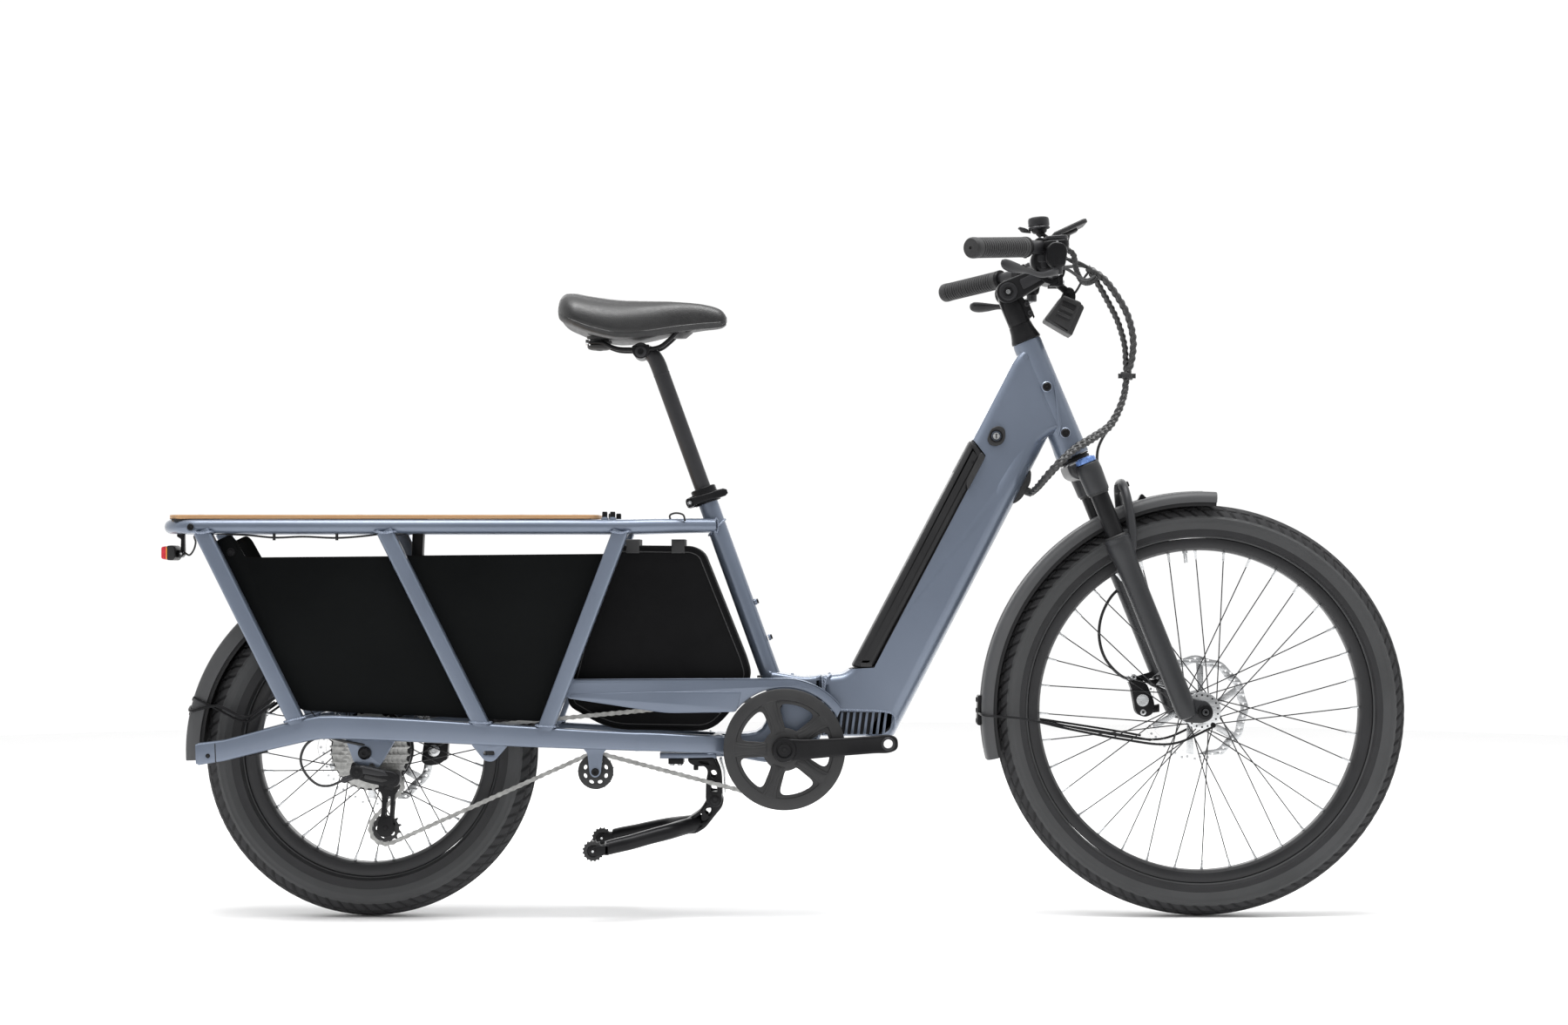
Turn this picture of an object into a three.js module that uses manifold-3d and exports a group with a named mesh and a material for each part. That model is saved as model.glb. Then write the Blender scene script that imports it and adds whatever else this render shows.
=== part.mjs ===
// Longtail electric cargo bicycle, 26-inch front wheel and 20-inch rear wheel.
// Millimetres, +Z up, +X to the front of the bicycle, +Y to the rider's left.
// The origin is on the ground, midway between the two ends and the two grips.
import * as THREE from 'three';
import Module from 'manifold-3d';
import { mergeVertices } from 'three/addons/utils/BufferGeometryUtils.js';

const wasm = await Module();
wasm.setup();

// ---------- driving dimensions ----------
const GAP = 0.3; // clearance between pieces that touch
const FRONT_TYRE_R = 342.5; // 26 x 2.6
const REAR_TYRE_R = 276.5; // 20 x 3.0
const FRONT_TYRE_HALF = 33;
const REAR_TYRE_HALF = 38;
const FRONT_AXLE = [692.7, FRONT_TYRE_R];
const REAR_AXLE = [-686.9, REAR_TYRE_R];
const CRANK_AXIS = [0.6, 281.8];
const CRANK_LENGTH = 170;
const CRANK_RISE = THREE.MathUtils.degToRad(3.5);

const HEAD_LEAN = THREE.MathUtils.degToRad(21.88); // 68 degree head angle
const HEAD_BASE = [482.3, 766.1];
const HEAD_LENGTH = 207;
const STEERER_R = 14.3;
const LEG_FORWARD = 9.3; // fork legs ahead of the steering axis
const LEG_HALF = 62; // leg centres either side
const STANCHION_R = 15;
const FORK_TRAVEL = 60;
const FORK_AXLE = [37.4, -471.5]; // front axle in the fork's own frame
const STEM_PIVOT_UP = 294; // above the head tube's lower end

const SEAT_FOOT = [-129.5, 696.3]; // a point on the seat tube's axis
const SEAT_DIR = [-0.34, 0.9405]; // up along the seat tube
const POST_R = 13.6;
const SEAT_TUBE_R = 16.5;

const BAR_R = 15.9;
const BAR_END_R = 11.1;
const BAR_CLAMP = [444, 1075];
const GRIP_IN = [388, 218, 1088];
const GRIP_OUT = [291, 320, 1074];
const GRIP_R = 16;

const RAIL_Z = 647.7;
const RAIL_HALF = 75;
const RAIL_R = 11.5;
const SIDE_HALF = 80; // centre of the lower rails and struts
const TUBE = 26; // side of the square tubes
const PANEL_IN = 62.5;
const PANEL_THICK = 2.5;

const CHAIN_Y = -57.5;
const CHAIN_HALF = 3;
const CHAIN_DEEP = 4; // half of the chain's height
const RING_PITCH_R = 85; // 42 teeth
const COG_PITCH_R = 24.5; // 12 teeth
const JOCKEY_UP = [-650, 224];
const JOCKEY_LOW = [-655.7, 150.6];
const JOCKEY_UP_PITCH_R = 22.5;
const JOCKEY_LOW_PITCH_R = 26;
const IDLER = [-309.8, 244.6];
const IDLER_PITCH_R = 30;
const TOOTH_DEEP = 5.4; // pitch radius to the floor between the teeth

const STAND_PIVOT = [-114.3, 194.6];
const STAND_FOOT = [-311, 118.4];
const STAND_FOOT_HALF = 100;
const STAND_FOOT_R = 17.4;

// ---------- materials ----------
const material = (color, roughness, metalness) =>
  new THREE.MeshStandardMaterial({ color, roughness, metalness });
const FRAME_PAINT = material(0x7b879c, 0.35, 0.4);
const FORK_PAINT = material(0x24262a, 0.45, 0.2);
const BLACK_ALLOY = material(0x191a1c, 0.4, 0.5);
const BLACK_PLASTIC = material(0x121314, 0.6, 0.0);
const RUBBER = material(0x2f3032, 0.85, 0.0);
const TYRE_RUBBER = material(0x3a3b3e, 0.9, 0.0);
const STEEL = material(0xb9bcc0, 0.3, 0.9);
const PLYWOOD = material(0xc79f6b, 0.6, 0.0);
const LEATHERETTE = material(0x101112, 0.5, 0.0);
const BLUE_CAP = material(0x3f6fc0, 0.35, 0.4);
const RED_LENS = material(0xb01218, 0.2, 0.0);
const BAG_FABRIC = material(0x0b0b0c, 0.9, 0.0);
const SCREEN = material(0x0a0b0d, 0.15, 0.0);

// ---------- geometry helpers ----------
const FACETS = 0.58; // share of the full number of facets kept on small round pieces
const facets = (count) => Math.max(6, 2 * Math.round((count * FACETS) / 2));
const at = (x, y, z) => new THREE.Vector3(x, y, z);

function bare(geometry) {
  const open = geometry.index ? geometry.toNonIndexed() : geometry.clone();
  open.deleteAttribute('normal');
  open.deleteAttribute('uv');
  const merged = mergeVertices(open, 1e-4);
  const kept = [];
  const index = merged.index.array;
  for (let i = 0; i < index.length; i += 3) {
    const [a, b, c] = [index[i], index[i + 1], index[i + 2]];
    if (a !== b && b !== c && c !== a) kept.push(a, b, c);
  }
  const p = merged.attributes.position.array;
  let volume = 0;
  for (let i = 0; i < kept.length; i += 3) {
    const [a, b, c] = [kept[i] * 3, kept[i + 1] * 3, kept[i + 2] * 3];
    volume += p[a] * (p[b + 1] * p[c + 2] - p[b + 2] * p[c + 1]);
    volume += p[a + 1] * (p[b + 2] * p[c] - p[b] * p[c + 2]);
    volume += p[a + 2] * (p[b] * p[c + 1] - p[b + 1] * p[c]);
  }
  if (volume < 0) kept.reverse();
  merged.setIndex(kept);
  return merged;
}

function solid(geometry) {
  const closed = bare(geometry);
  return new wasm.Manifold(new wasm.Mesh({
    numProp: 3,
    vertProperties: new Float32Array(closed.attributes.position.array),
    triVerts: new Uint32Array(closed.index.array),
  }));
}

function surface(manifold) {
  const mesh = manifold.getMesh();
  const geometry = new THREE.BufferGeometry();
  geometry.setAttribute('position', new THREE.BufferAttribute(mesh.vertProperties.slice(), 3));
  geometry.setIndex(new THREE.BufferAttribute(mesh.triVerts.slice(), 1));
  return geometry;
}

const join = (...pieces) => surface(pieces.map(solid).reduce((a, b) => a.add(b)));
const cut = (body, ...tools) => surface(tools.map(solid).reduce((a, b) => a.subtract(b), solid(body)));

// A round bar from one point to another.
function rod(from, to, radius, sides = 16, endRadius = radius) {
  const way = to.clone().sub(from);
  const round = sides > 3 ? facets(sides) : sides;
  const geometry = new THREE.CylinderGeometry(endRadius, radius, way.length(), round);
  geometry.applyQuaternion(new THREE.Quaternion().setFromUnitVectors(at(0, 1, 0), way.clone().normalize()));
  const middle = from.clone().add(to).multiplyScalar(0.5);
  return geometry.translate(middle.x, middle.y, middle.z);
}

// A round bar across the bicycle.
const crossRod = ([x, z], y0, y1, radius, sides = 24) => rod(at(x, y0, z), at(x, y1, z), radius, sides);

function roundedRectangle(width, depth, corner) {
  const shape = new THREE.Shape();
  const [w, d] = [width / 2, depth / 2];
  shape.moveTo(-w + corner, -d);
  shape.lineTo(w - corner, -d);
  shape.absarc(w - corner, -d + corner, corner, -Math.PI / 2, 0);
  shape.lineTo(w, d - corner);
  shape.absarc(w - corner, d - corner, corner, 0, Math.PI / 2);
  shape.lineTo(-w + corner, d);
  shape.absarc(-w + corner, d - corner, corner, Math.PI / 2, Math.PI);
  shape.lineTo(-w, -d + corner);
  shape.absarc(-w + corner, -d + corner, corner, Math.PI, Math.PI * 1.5);
  return shape;
}

// A straight tube of rounded rectangular section; width is measured across the bicycle.
function beam(from, to, width, depth, corner = 5) {
  const along = to.clone().sub(from);
  const geometry = new THREE.ExtrudeGeometry(roundedRectangle(width, depth, corner), {
    depth: along.length(), bevelEnabled: false, curveSegments: 1,
  });
  along.normalize();
  const side = at(0, 1, 0).addScaledVector(along, -along.y).normalize();
  const up = along.clone().cross(side);
  geometry.applyMatrix4(new THREE.Matrix4().makeBasis(side, up, along));
  return geometry.translate(from.x, from.y, from.z);
}

// A flat piece with its outline seen from the side, between two planes across the bicycle.
function plate(outline, y0, y1, edge = 0, edgeSteps = 1, curveSteps = 6) {
  const shape = Array.isArray(outline)
    ? new THREE.Shape(outline.map(([x, z]) => new THREE.Vector2(x, z))) : outline;
  const geometry = new THREE.ExtrudeGeometry(shape, {
    depth: y1 - y0 - 2 * edge, curveSegments: curveSteps, bevelEnabled: edge > 0, bevelSize: edge,
    bevelThickness: edge, bevelOffset: -edge, bevelSegments: edgeSteps,
  });
  return geometry.rotateX(Math.PI / 2).translate(0, y1 - edge, 0);
}

// A round cord or tube along a smooth curve through the points.
function sweep(points, radius, sides, steps) {
  const ring = Array.from({ length: sides }, (_, i) => {
    const a = (i / sides) * Math.PI * 2;
    return new THREE.Vector2(Math.cos(a) * radius, Math.sin(a) * radius);
  });
  const curve = new THREE.CatmullRomCurve3(points.map((p) => at(...p)), false, 'centripetal');
  return new THREE.ExtrudeGeometry(new THREE.Shape(ring), { steps, extrudePath: curve });
}

// A turned piece about the lateral axis; the profile is [radius, y] pairs and closes on itself.
function turned(profile, segments) {
  const points = profile.map(([r, y]) => new THREE.Vector2(r, y));
  points.push(points[0].clone());
  return new THREE.LatheGeometry(points, segments > 30 ? segments : facets(segments));
}

// A turned piece about the vertical axis of its own frame.
const upright = (profile, segments) => turned(profile, segments).rotateX(Math.PI / 2);

function box(x0, x1, y0, y1, z0, z1) {
  return new THREE.BoxGeometry(x1 - x0, y1 - y0, z1 - z0)
    .translate((x0 + x1) / 2, (y0 + y1) / 2, (z0 + z1) / 2);
}

// Ring sector seen from the side, from angle a0 to a1 in degrees about the centre.
function sector([x, z], inner, outer, a0, a1) {
  const [r0, r1] = [THREE.MathUtils.degToRad(a0), THREE.MathUtils.degToRad(a1)];
  const shape = new THREE.Shape();
  shape.absarc(x, z, outer, r0, r1, false);
  shape.absarc(x, z, inner, r1, r0, true);
  return shape;
}

function extrudeSector(centre, inner, outer, a0, a1, half) {
  const geometry = new THREE.ExtrudeGeometry(sector(centre, inner, outer, a0, a1), {
    depth: 2 * half, bevelEnabled: false, curveSegments: 12,
  });
  return geometry.rotateX(Math.PI / 2).translate(0, half, 0);
}

// A skin over closed loops of points, each loop with the same number of points.
function loft(loops) {
  const count = loops[0].length;
  const positions = loops.flat().flatMap((p) => [p.x, p.y, p.z]);
  const index = [];
  for (let s = 0; s + 1 < loops.length; s += 1) {
    for (let i = 0; i < count; i += 1) {
      const [a, b] = [s * count + i, s * count + ((i + 1) % count)];
      index.push(a, b, b + count, a, b + count, a + count);
    }
  }
  for (const [s, turn] of [[0, -1], [loops.length - 1, 1]]) {
    for (let i = 1; i + 1 < count; i += 1) {
      const fan = [s * count, s * count + i, s * count + i + 1];
      index.push(...(turn > 0 ? fan : fan.reverse()));
    }
  }
  const geometry = new THREE.BufferGeometry();
  geometry.setAttribute('position', new THREE.Float32BufferAttribute(positions, 3));
  geometry.setIndex(index);
  return geometry;
}

const bicycle = new THREE.Group();

function part(name, geometry, finish, parent = bicycle) {
  const mesh = new THREE.Mesh(bare(geometry), finish);
  mesh.name = name;
  parent.add(mesh);
  return mesh;
}

function group(x, z, parent = bicycle) {
  const holder = new THREE.Group();
  holder.position.set(x, 0, z);
  parent.add(holder);
  return holder;
}

const seatAxis = (t, y = 0) => at(SEAT_FOOT[0] + SEAT_DIR[0] * t, y, SEAT_FOOT[1] + SEAT_DIR[1] * t);
const headUp = [-Math.sin(HEAD_LEAN), Math.cos(HEAD_LEAN)];
const headAxis = (t) => at(HEAD_BASE[0] + headUp[0] * t, 0, HEAD_BASE[1] + headUp[1] * t);

// ---------- front frame: head tube and down tube, with the battery bay ----------
const BAY_TOP = [334.4, 766.2];
const BAY_FOOT = [149.4, 414.4];
const TUBE_UP = [0.4654, 0.8851]; // along the battery
const TUBE_OUT = [-0.8851, 0.4654]; // out of the battery bay
const DOWN_HALF = 36;
const HEAD_HALF = 24;

const alongBay = (base, up, out) => [
  base[0] + TUBE_UP[0] * up + TUBE_OUT[0] * out,
  base[1] + TUBE_UP[1] * up + TUBE_OUT[1] * out,
];

function frontFrame() {
  const outline = [[62, 300], [165, 300], [187.4, 307.7], [392, 704.6], [436.5, 790.8], [466, 800],
    [399, 953], [387.8, 931], [330, 822.8], [111.6, 413.9], [98, 404], [62, 401]];
  const tube = plate(outline, -DOWN_HALF, DOWN_HALF, 9, 1);
  const p = tube.attributes.position;
  for (let i = 0; i < p.count; i += 1) {
    const taper = THREE.MathUtils.smoothstep(p.getZ(i), 690, 860);
    p.setY(i, p.getY(i) * (1 - taper * (1 - HEAD_HALF / DOWN_HALF)));
  }
  const head = rod(headAxis(0), headAxis(HEAD_LENGTH), 27, 20, 23);
  const lowCup = rod(headAxis(0), headAxis(16), 29, 20, 28);
  const topCup = rod(headAxis(HEAD_LENGTH - 12), headAxis(HEAD_LENGTH), 25, 20, 24.5);
  const lockPlate = crossRod([351.9, 798.4], -37, -20, 14, 8);
  const portBoss = beam(at(386, 0, 722), at(404, 0, 712), 30, 22, 6);
  const bore = rod(headAxis(-30), headAxis(HEAD_LENGTH + 30), STEERER_R + 1.4, 20);
  const coverBay = plate([alongBay(BAY_FOOT, 0, 0), alongBay(BAY_TOP, 0, 0),
    alongBay(BAY_TOP, 16, 34), alongBay(BAY_TOP, 16, 60), alongBay(BAY_FOOT, -40, 60),
    alongBay(BAY_FOOT, -18, 30)], -50, 50);
  const packBay = plate([alongBay(BAY_FOOT, 30, -58), alongBay(BAY_TOP, -30, -58),
    alongBay(BAY_TOP, -30, 10), alongBay(BAY_FOOT, 30, 10)], -28.5, 28.5);
  const lockBore = crossRod([351.9, 798.4], -40, -24, 7.7, 12);
  const vents = [];
  for (let i = 0; i < 7; i += 1) {
    for (const side of [-1, 1]) {
      const x = 84 + i * 12;
      const outline = [[x, 306], [x + 5, 306], [x + 14, 336], [x + 9, 336]];
      vents.push(plate(outline, side * 38 - 8, side * 38 + 8));
    }
  }
  const whole = solid(join(tube, head, lowCup, topCup, lockPlate, portBoss));
  const tools = [bore, coverBay, packBay, lockBore, ...vents].map(solid);
  return surface(tools.reduce((a, b) => a.subtract(b), whole));
}

part('front_frame', frontFrame(), FRAME_PAINT);
part('key_lock', join(
  crossRod([351.9, 798.4], -38.5, -26, 6.2, 12),
  box(350.9, 352.9, -39.6, -38.4, 793.9, 802.9),
), STEEL);

function battery() {
  const inset = 0.5;
  const cover = plate([alongBay(BAY_FOOT, 1, inset), alongBay(BAY_TOP, -1, inset),
    alongBay(BAY_TOP, 14, 34), alongBay(BAY_FOOT, -17, 34)], -35, 35, 4, 1);
  const pack = plate([alongBay(BAY_FOOT, 31, -57), alongBay(BAY_TOP, -31, -57),
    alongBay(BAY_TOP, -31, 20), alongBay(BAY_FOOT, 31, 20)], -28, 28);
  return join(cover, pack);
}
part('battery', battery(), BLACK_PLASTIC);

// ---------- seat frame: seat tube, crank shell, yoke and stand plate ----------
const YOKE_REAR = -240;

function seatFrame() {
  const tube = rod(at(8, 0, 316), seatAxis(6), SEAT_TUBE_R, 18);
  const shell = crossRod(CRANK_AXIS, -36.5, 36.5, 24, 20);
  const bridge = plate([[-112, 304], [-30, 306], [-24, 408], [35, 398], [61.5, 402], [61.5, 299],
    [30, 258], [-30, 256], [-112, 272]], -32, 32, 6, 1);
  const cross = crossRod([-108, 288], -46, 46, 16, 12);
  const web = box(-150, -100, -20, 20, 266, 290);
  const arm = (side) => beam(at(YOKE_REAR, side * SIDE_HALF, 295), at(-100, side * 38, 288), TUBE, 30);
  const standPlate = box(-206, -119, -34, 34, 253, 273);
  const ear = (side) => plate([[-158, 262], [-128, 262], [-101, 196], [-106, 184], [-121, 183],
    [-128, 192]], side * 31 - 3, side * 31 + 3);
  const post = rod(seatAxis(-330), seatAxis(80), POST_R + 1.3, 20);
  const spindle = crossRod(CRANK_AXIS, -60, 60, 13.5, 20);
  const standBore = crossRod(STAND_PIVOT, -50, 50, 7.6, 12);
  const endTrims = [1, -1].map((side) => (
    box(YOKE_REAR - 40, YOKE_REAR + 4, side * 85 - 40, side * 85 + 40, 200, 400)));
  const whole = join(tube, shell, bridge, cross, web, arm(-1), arm(1), standPlate, ear(-1), ear(1));
  return cut(whole, post, spindle, standBore, ...endTrims);
}
part('seat_frame', seatFrame(), FRAME_PAINT);

// ---------- cargo frame: one welded side frame each side ----------
const STRUTS = [
  [[-953.6, 640], [-793.5, 318]],
  [[-653.9, 640], [-489.3, 310]],
  [[-267.2, 640], [-394.4, 306]],
];

function sideFrame(right) {
  const side = right ? -1 : 1;
  const outline = [[-958, 256], [-962, 292], [-915, 298], [-795, 330], [-756, 338], [-656, 335],
    [-429, 321], [YOKE_REAR + 3.5, 310], [YOKE_REAR + 3.5, 280], [-429, 287], [-656, 297],
    [-756, 300], [-793, 292], [-914, 264]];
  const y = side * SIDE_HALF;
  const rail = plate(outline, y - TUBE / 2, y + TUBE / 2, 5, 1);
  const struts = STRUTS.map(([top, foot]) => beam(
    at(top[0], side * (SIDE_HALF - 0.5), top[1]), at(foot[0], y, foot[1]), TUBE, TUBE,
  ));
  const dropout = plate([[-722, 306], [-704, 258], [-696, 252], [-680, 252], [-668, 258], [-632, 306]],
    side * 75 - 4, side * 75 + 4);
  const tab = plate([[-516, 300], [-490, 263], [-475, 262], [-446, 300]], y - 4, y + 4);
  const pieces = [rail, ...struts, dropout, tab];
  if (right) {
    pieces.push(crossRod(REAR_AXLE, -87, 70.5, 6, 16), crossRod(REAR_AXLE, -85, -72, 10, 6));
    pieces.push(plate([[-328, 292], [-321, 234], [-299, 234], [-292, 292]], -73, -69));
    pieces.push(crossRod(IDLER, -72, -49, 4, 12), crossRod(IDLER, -77, -72, 8, 6));
  } else {
    pieces.push(crossRod(REAR_AXLE, 72, 86, 10, 6));
  }
  const railY = side * RAIL_HALF;
  const railTool = rod(at(-1010, railY, RAIL_Z), at(-180, railY, RAIL_Z), RAIL_R + 1.1, 24);
  const skim = box(-1000, -200, side * SIDE_HALF - 40, side * SIDE_HALF + 40, RAIL_Z + 2, RAIL_Z + 60);
  const whole = solid(join(...pieces)).subtract(solid(railTool)).subtract(solid(skim));
  return surface(whole);
}
part('side_frame_right', sideFrame(true), FRAME_PAINT);
part('side_frame_left', sideFrame(false), FRAME_PAINT);

function topRail() {
  const half = [[-118, -20, 650], [-150, -38, 650], [-205, -65, 649], [-275, -RAIL_HALF, RAIL_Z],
    [-450, -RAIL_HALF, RAIL_Z], [-700, -RAIL_HALF, RAIL_Z], [-955, -RAIL_HALF, RAIL_Z],
    [-995, -68, RAIL_Z], [-1012, -42, RAIL_Z], [-1016, 0, RAIL_Z]];
  const other = half.slice(0, -1).reverse().map(([x, y, z]) => [x, -y, z]);
  const loop = sweep([...half, ...other], RAIL_R, 8, 44);
  return cut(loop, rod(seatAxis(-120), seatAxis(60), SEAT_TUBE_R + 0.5, 24));
}
part('top_rail', topRail(), FRAME_PAINT);

function deck() {
  const shape = roundedRectangle(709, 156, 22);
  for (const x of [-180, 180]) {
    const slot = roundedRectangle(220, 12, 5.9).getPoints(2);
    for (const y of [-34, 34]) {
      shape.holes.push(new THREE.Path(slot.map((q) => new THREE.Vector2(q.x + x, q.y + y))));
    }
  }
  return new THREE.ExtrudeGeometry(shape, { depth: 7, bevelEnabled: false, curveSegments: 3 })
    .translate(-657.5, 0, 660);
}
part('deck', deck(), PLYWOOD);

const PANEL = [[-917, 619], [-887, 595], [-287.5, 601.4], [-395.4, 327], [-787.8, 345.5]];
part('side_panel_right', plate(PANEL, -PANEL_IN - PANEL_THICK, -PANEL_IN), BLACK_PLASTIC);
part('side_panel_left', plate(PANEL, PANEL_IN, PANEL_IN + PANEL_THICK), BLACK_PLASTIC);

const BAG = [[-300, 605], [-285, 619], [-150, 617], [-130, 606], [-60, 428], [-52, 400], [-84, 345],
  [-120, 308], [-290, 311], [-356, 350], [-360, 370]];
part('frame_bag', plate(BAG, -46, 46, 8, 2), BAG_FABRIC);

function chainGuard() {
  const shape = new THREE.Shape();
  shape.moveTo(-345.7, 396);
  shape.lineTo(-12, 398.3);
  const angle = THREE.MathUtils.degToRad;
  shape.absarc(CRANK_AXIS[0], CRANK_AXIS[1], 117, angle(94), angle(33), true);
  shape.absarc(CRANK_AXIS[0], CRANK_AXIS[1], 101, angle(30), angle(142), false);
  shape.lineTo(-194.8, 341.2);
  shape.lineTo(-356.7, 365.5);
  return plate(shape, -70, -63.5);
}
part('chain_guard', chainGuard(), FRAME_PAINT);

function fender(centre, outer, a0, a1, half, skirt) {
  const thick = 2.6;
  return cut(
    extrudeSector(centre, outer - skirt, outer, a0, a1, half),
    extrudeSector(centre, outer - skirt - 20, outer - thick, a0 - 4, a1 + 4, half - thick),
  );
}
part('rear_fender', fender(REAR_AXLE, 306, 14, 183, 43, 13), BLACK_PLASTIC);

part('tail_light', join(
  box(-1035.2, -1006, -24, 24, 593, 616),
  box(-1014, -1006, -10, 10, 600, RAIL_Z - RAIL_R - GAP),
), RED_LENS);

// ---------- seat clamp, post and saddle ----------
function alongSeat(geometry, t) {
  const lean = Math.atan2(-SEAT_DIR[0], SEAT_DIR[1]);
  const foot = seatAxis(t);
  return geometry.rotateY(-lean).translate(foot.x, foot.y, foot.z);
}

function seatClamp() {
  const collar = upright([[POST_R + 1.3, 6.3], [21, 6.3], [21, 8], [21.5, 9], [21.5, 16], [20, 18],
    [POST_R + 1.3, 18]], 18);
  const skirt = upright([[SEAT_TUBE_R + 1.4, -9], [22, -9], [22, 7], [SEAT_TUBE_R + 1.4, 7]], 18);
  const ears = box(-34, -16, -9, 9, -6, 9);
  const rodAcross = rod(at(-27, -23.5, 1), at(-27, 13, 1), 2.3, 10);
  const eye = upright([[3.4, -1.2], [4.8, -1.2], [4.8, 3.2], [3.4, 3.2]], 18).translate(-27, -27, 0);
  const nut = rod(at(-27, 8, 1), at(-27, 15, 1), 6, 10);
  const hollow = rod(at(0, 0, -12), at(0, 0, 6.3), SEAT_TUBE_R + 1.4, 18);
  return alongSeat(cut(join(collar, skirt, ears, rodAcross, eye, nut), hollow), 0);
}
part('seat_clamp', seatClamp(), BLACK_ALLOY);

function quickLever() {
  const cam = rod(at(-27, -27, -6), at(-27, -27, 8), 5.6, 14);
  const eyeRoom = upright([[2.2, -1.8], [7.2, -1.8], [7.2, 3.8], [2.2, 3.8]], 18).translate(-27, -27, 0);
  const blade = sweep([[-23, -30, 1], [-12, -31, 1], [6, -30, 0], [26, -26, -2]], 4, 6, 6);
  return alongSeat(cut(join(cam, blade), eyeRoom), 0);
}
part('quick_release_lever', quickLever(), BLACK_ALLOY);

const RAILS = [[-296, 952], [-275.6, 944], [-255, 943], [-220, 944], [-193, 957], [-177, 972]];
const saddleRail = (side, radius) => sweep(RAILS.map(([x, z]) => [x, side * 21, z]), radius, 6, 12);

function seatPost() {
  const head = crossRod([-238, 943], -27, 27, 14, 14);
  const neck = rod(seatAxis(215), at(-232, 0, 940), POST_R, 16, 12);
  const post = rod(seatAxis(-130), seatAxis(240), POST_R, 16);
  return cut(join(post, neck, head), saddleRail(-1, 4), saddleRail(1, 4));
}
part('seatpost', seatPost(), BLACK_ALLOY);

// Saddle stations from nose to tail: x, half width, top, seam, base.
const SADDLE = [
  [-97, 9, 996, 988, 984],
  [-106, 21, 1005, 986, 980],
  [-135, 25, 1013, 984, 977],
  [-180, 33, 1020, 978, 970],
  [-225, 55, 1024, 970, 961],
  [-274, 84, 1026, 966, 957],
  [-320, 101, 1032, 975, 966],
  [-352, 97, 1037, 988, 979],
  [-368, 78, 1032, 996, 986],
  [-372, 60, 1020, 1002, 993],
];
function saddleLoop([x, half, top, seam]) {
  const middle = seam + (top - seam) * 0.35;
  return Array.from({ length: 16 }, (_, i) => {
    const a = (i / 16) * Math.PI * 2;
    const [c, s] = [Math.cos(a), Math.sin(a)];
    const y = half * Math.sign(c) * Math.abs(c) ** 0.75;
    const z = s >= 0 ? middle + (top - middle) * s ** 0.8 : middle + (middle - seam) * s;
    return at(x, y, z);
  });
}
part('saddle_cushion', loft(SADDLE.map(saddleLoop)), LEATHERETTE);

function saddleShell() {
  const loops = SADDLE.slice(1, -1).map(([x, half, , seam, base]) => {
    const top = seam - 1.2;
    return Array.from({ length: 12 }, (_, i) => {
      const a = (i / 12) * Math.PI * 2;
      const [c, s] = [Math.cos(a), Math.sin(a)];
      const y = (half - 5) * Math.sign(c) * Math.abs(c) ** 0.6;
      const mid = (top + base) / 2;
      return at(x, y, mid + ((top - base) / 2) * Math.sign(s) * Math.abs(s) ** 0.4);
    });
  });
  const rearMount = rod(at(-308, 0, 945), at(-308, 0, 965), 22, 12);
  const noseMount = rod(at(-174, 0, 962), at(-172, 0, 971), 24, 12);
  return join(loft(loops), rearMount, noseMount, saddleRail(-1, 3.5), saddleRail(1, 3.5));
}
part('saddle_shell', saddleShell(), BLACK_PLASTIC);

// ---------- fork, drawn in its own frame with +Z up the steering axis ----------
const fork = group(HEAD_BASE[0], HEAD_BASE[1]);
fork.rotation.y = -HEAD_LEAN;

function crownBridge() {
  const outline = [[-22, -8], [22, -8], [27, -16], [27, -40], [-14, -40], [-22, -30]];
  return plate(outline, -LEG_HALF + 12, LEG_HALF - 12, 3, 1);
}

function crownNode() {
  const steerer = rod(at(0, 0, -20), at(0, 0, 266), STEERER_R, 16);
  const race = rod(at(0, 0, -10), at(0, 0, -0.6), 26, 16, 25);
  const pieces = [steerer, race, crownBridge()];
  for (const side of [-1, 1]) {
    const y = side * LEG_HALF;
    pieces.push(rod(at(LEG_FORWARD, y, -69), at(LEG_FORWARD, y, -20), 19, 16));
    pieces.push(rod(at(LEG_FORWARD, y, -360), at(LEG_FORWARD, y, -40), STANCHION_R, 14));
  }
  const dialRoom = rod(at(LEG_FORWARD, -LEG_HALF, -19.7), at(LEG_FORWARD, -LEG_HALF, 0), 18.4, 20);
  return cut(join(...pieces), dialRoom);
}
part('fork_crown', crownNode(), FORK_PAINT, fork);
const dialEnds = [-19.4, -9].map((up) => at(LEG_FORWARD, -LEG_HALF, up));
part('preload_dial', rod(dialEnds[0], dialEnds[1], 17, 20, 15), BLUE_CAP, fork);

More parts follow.
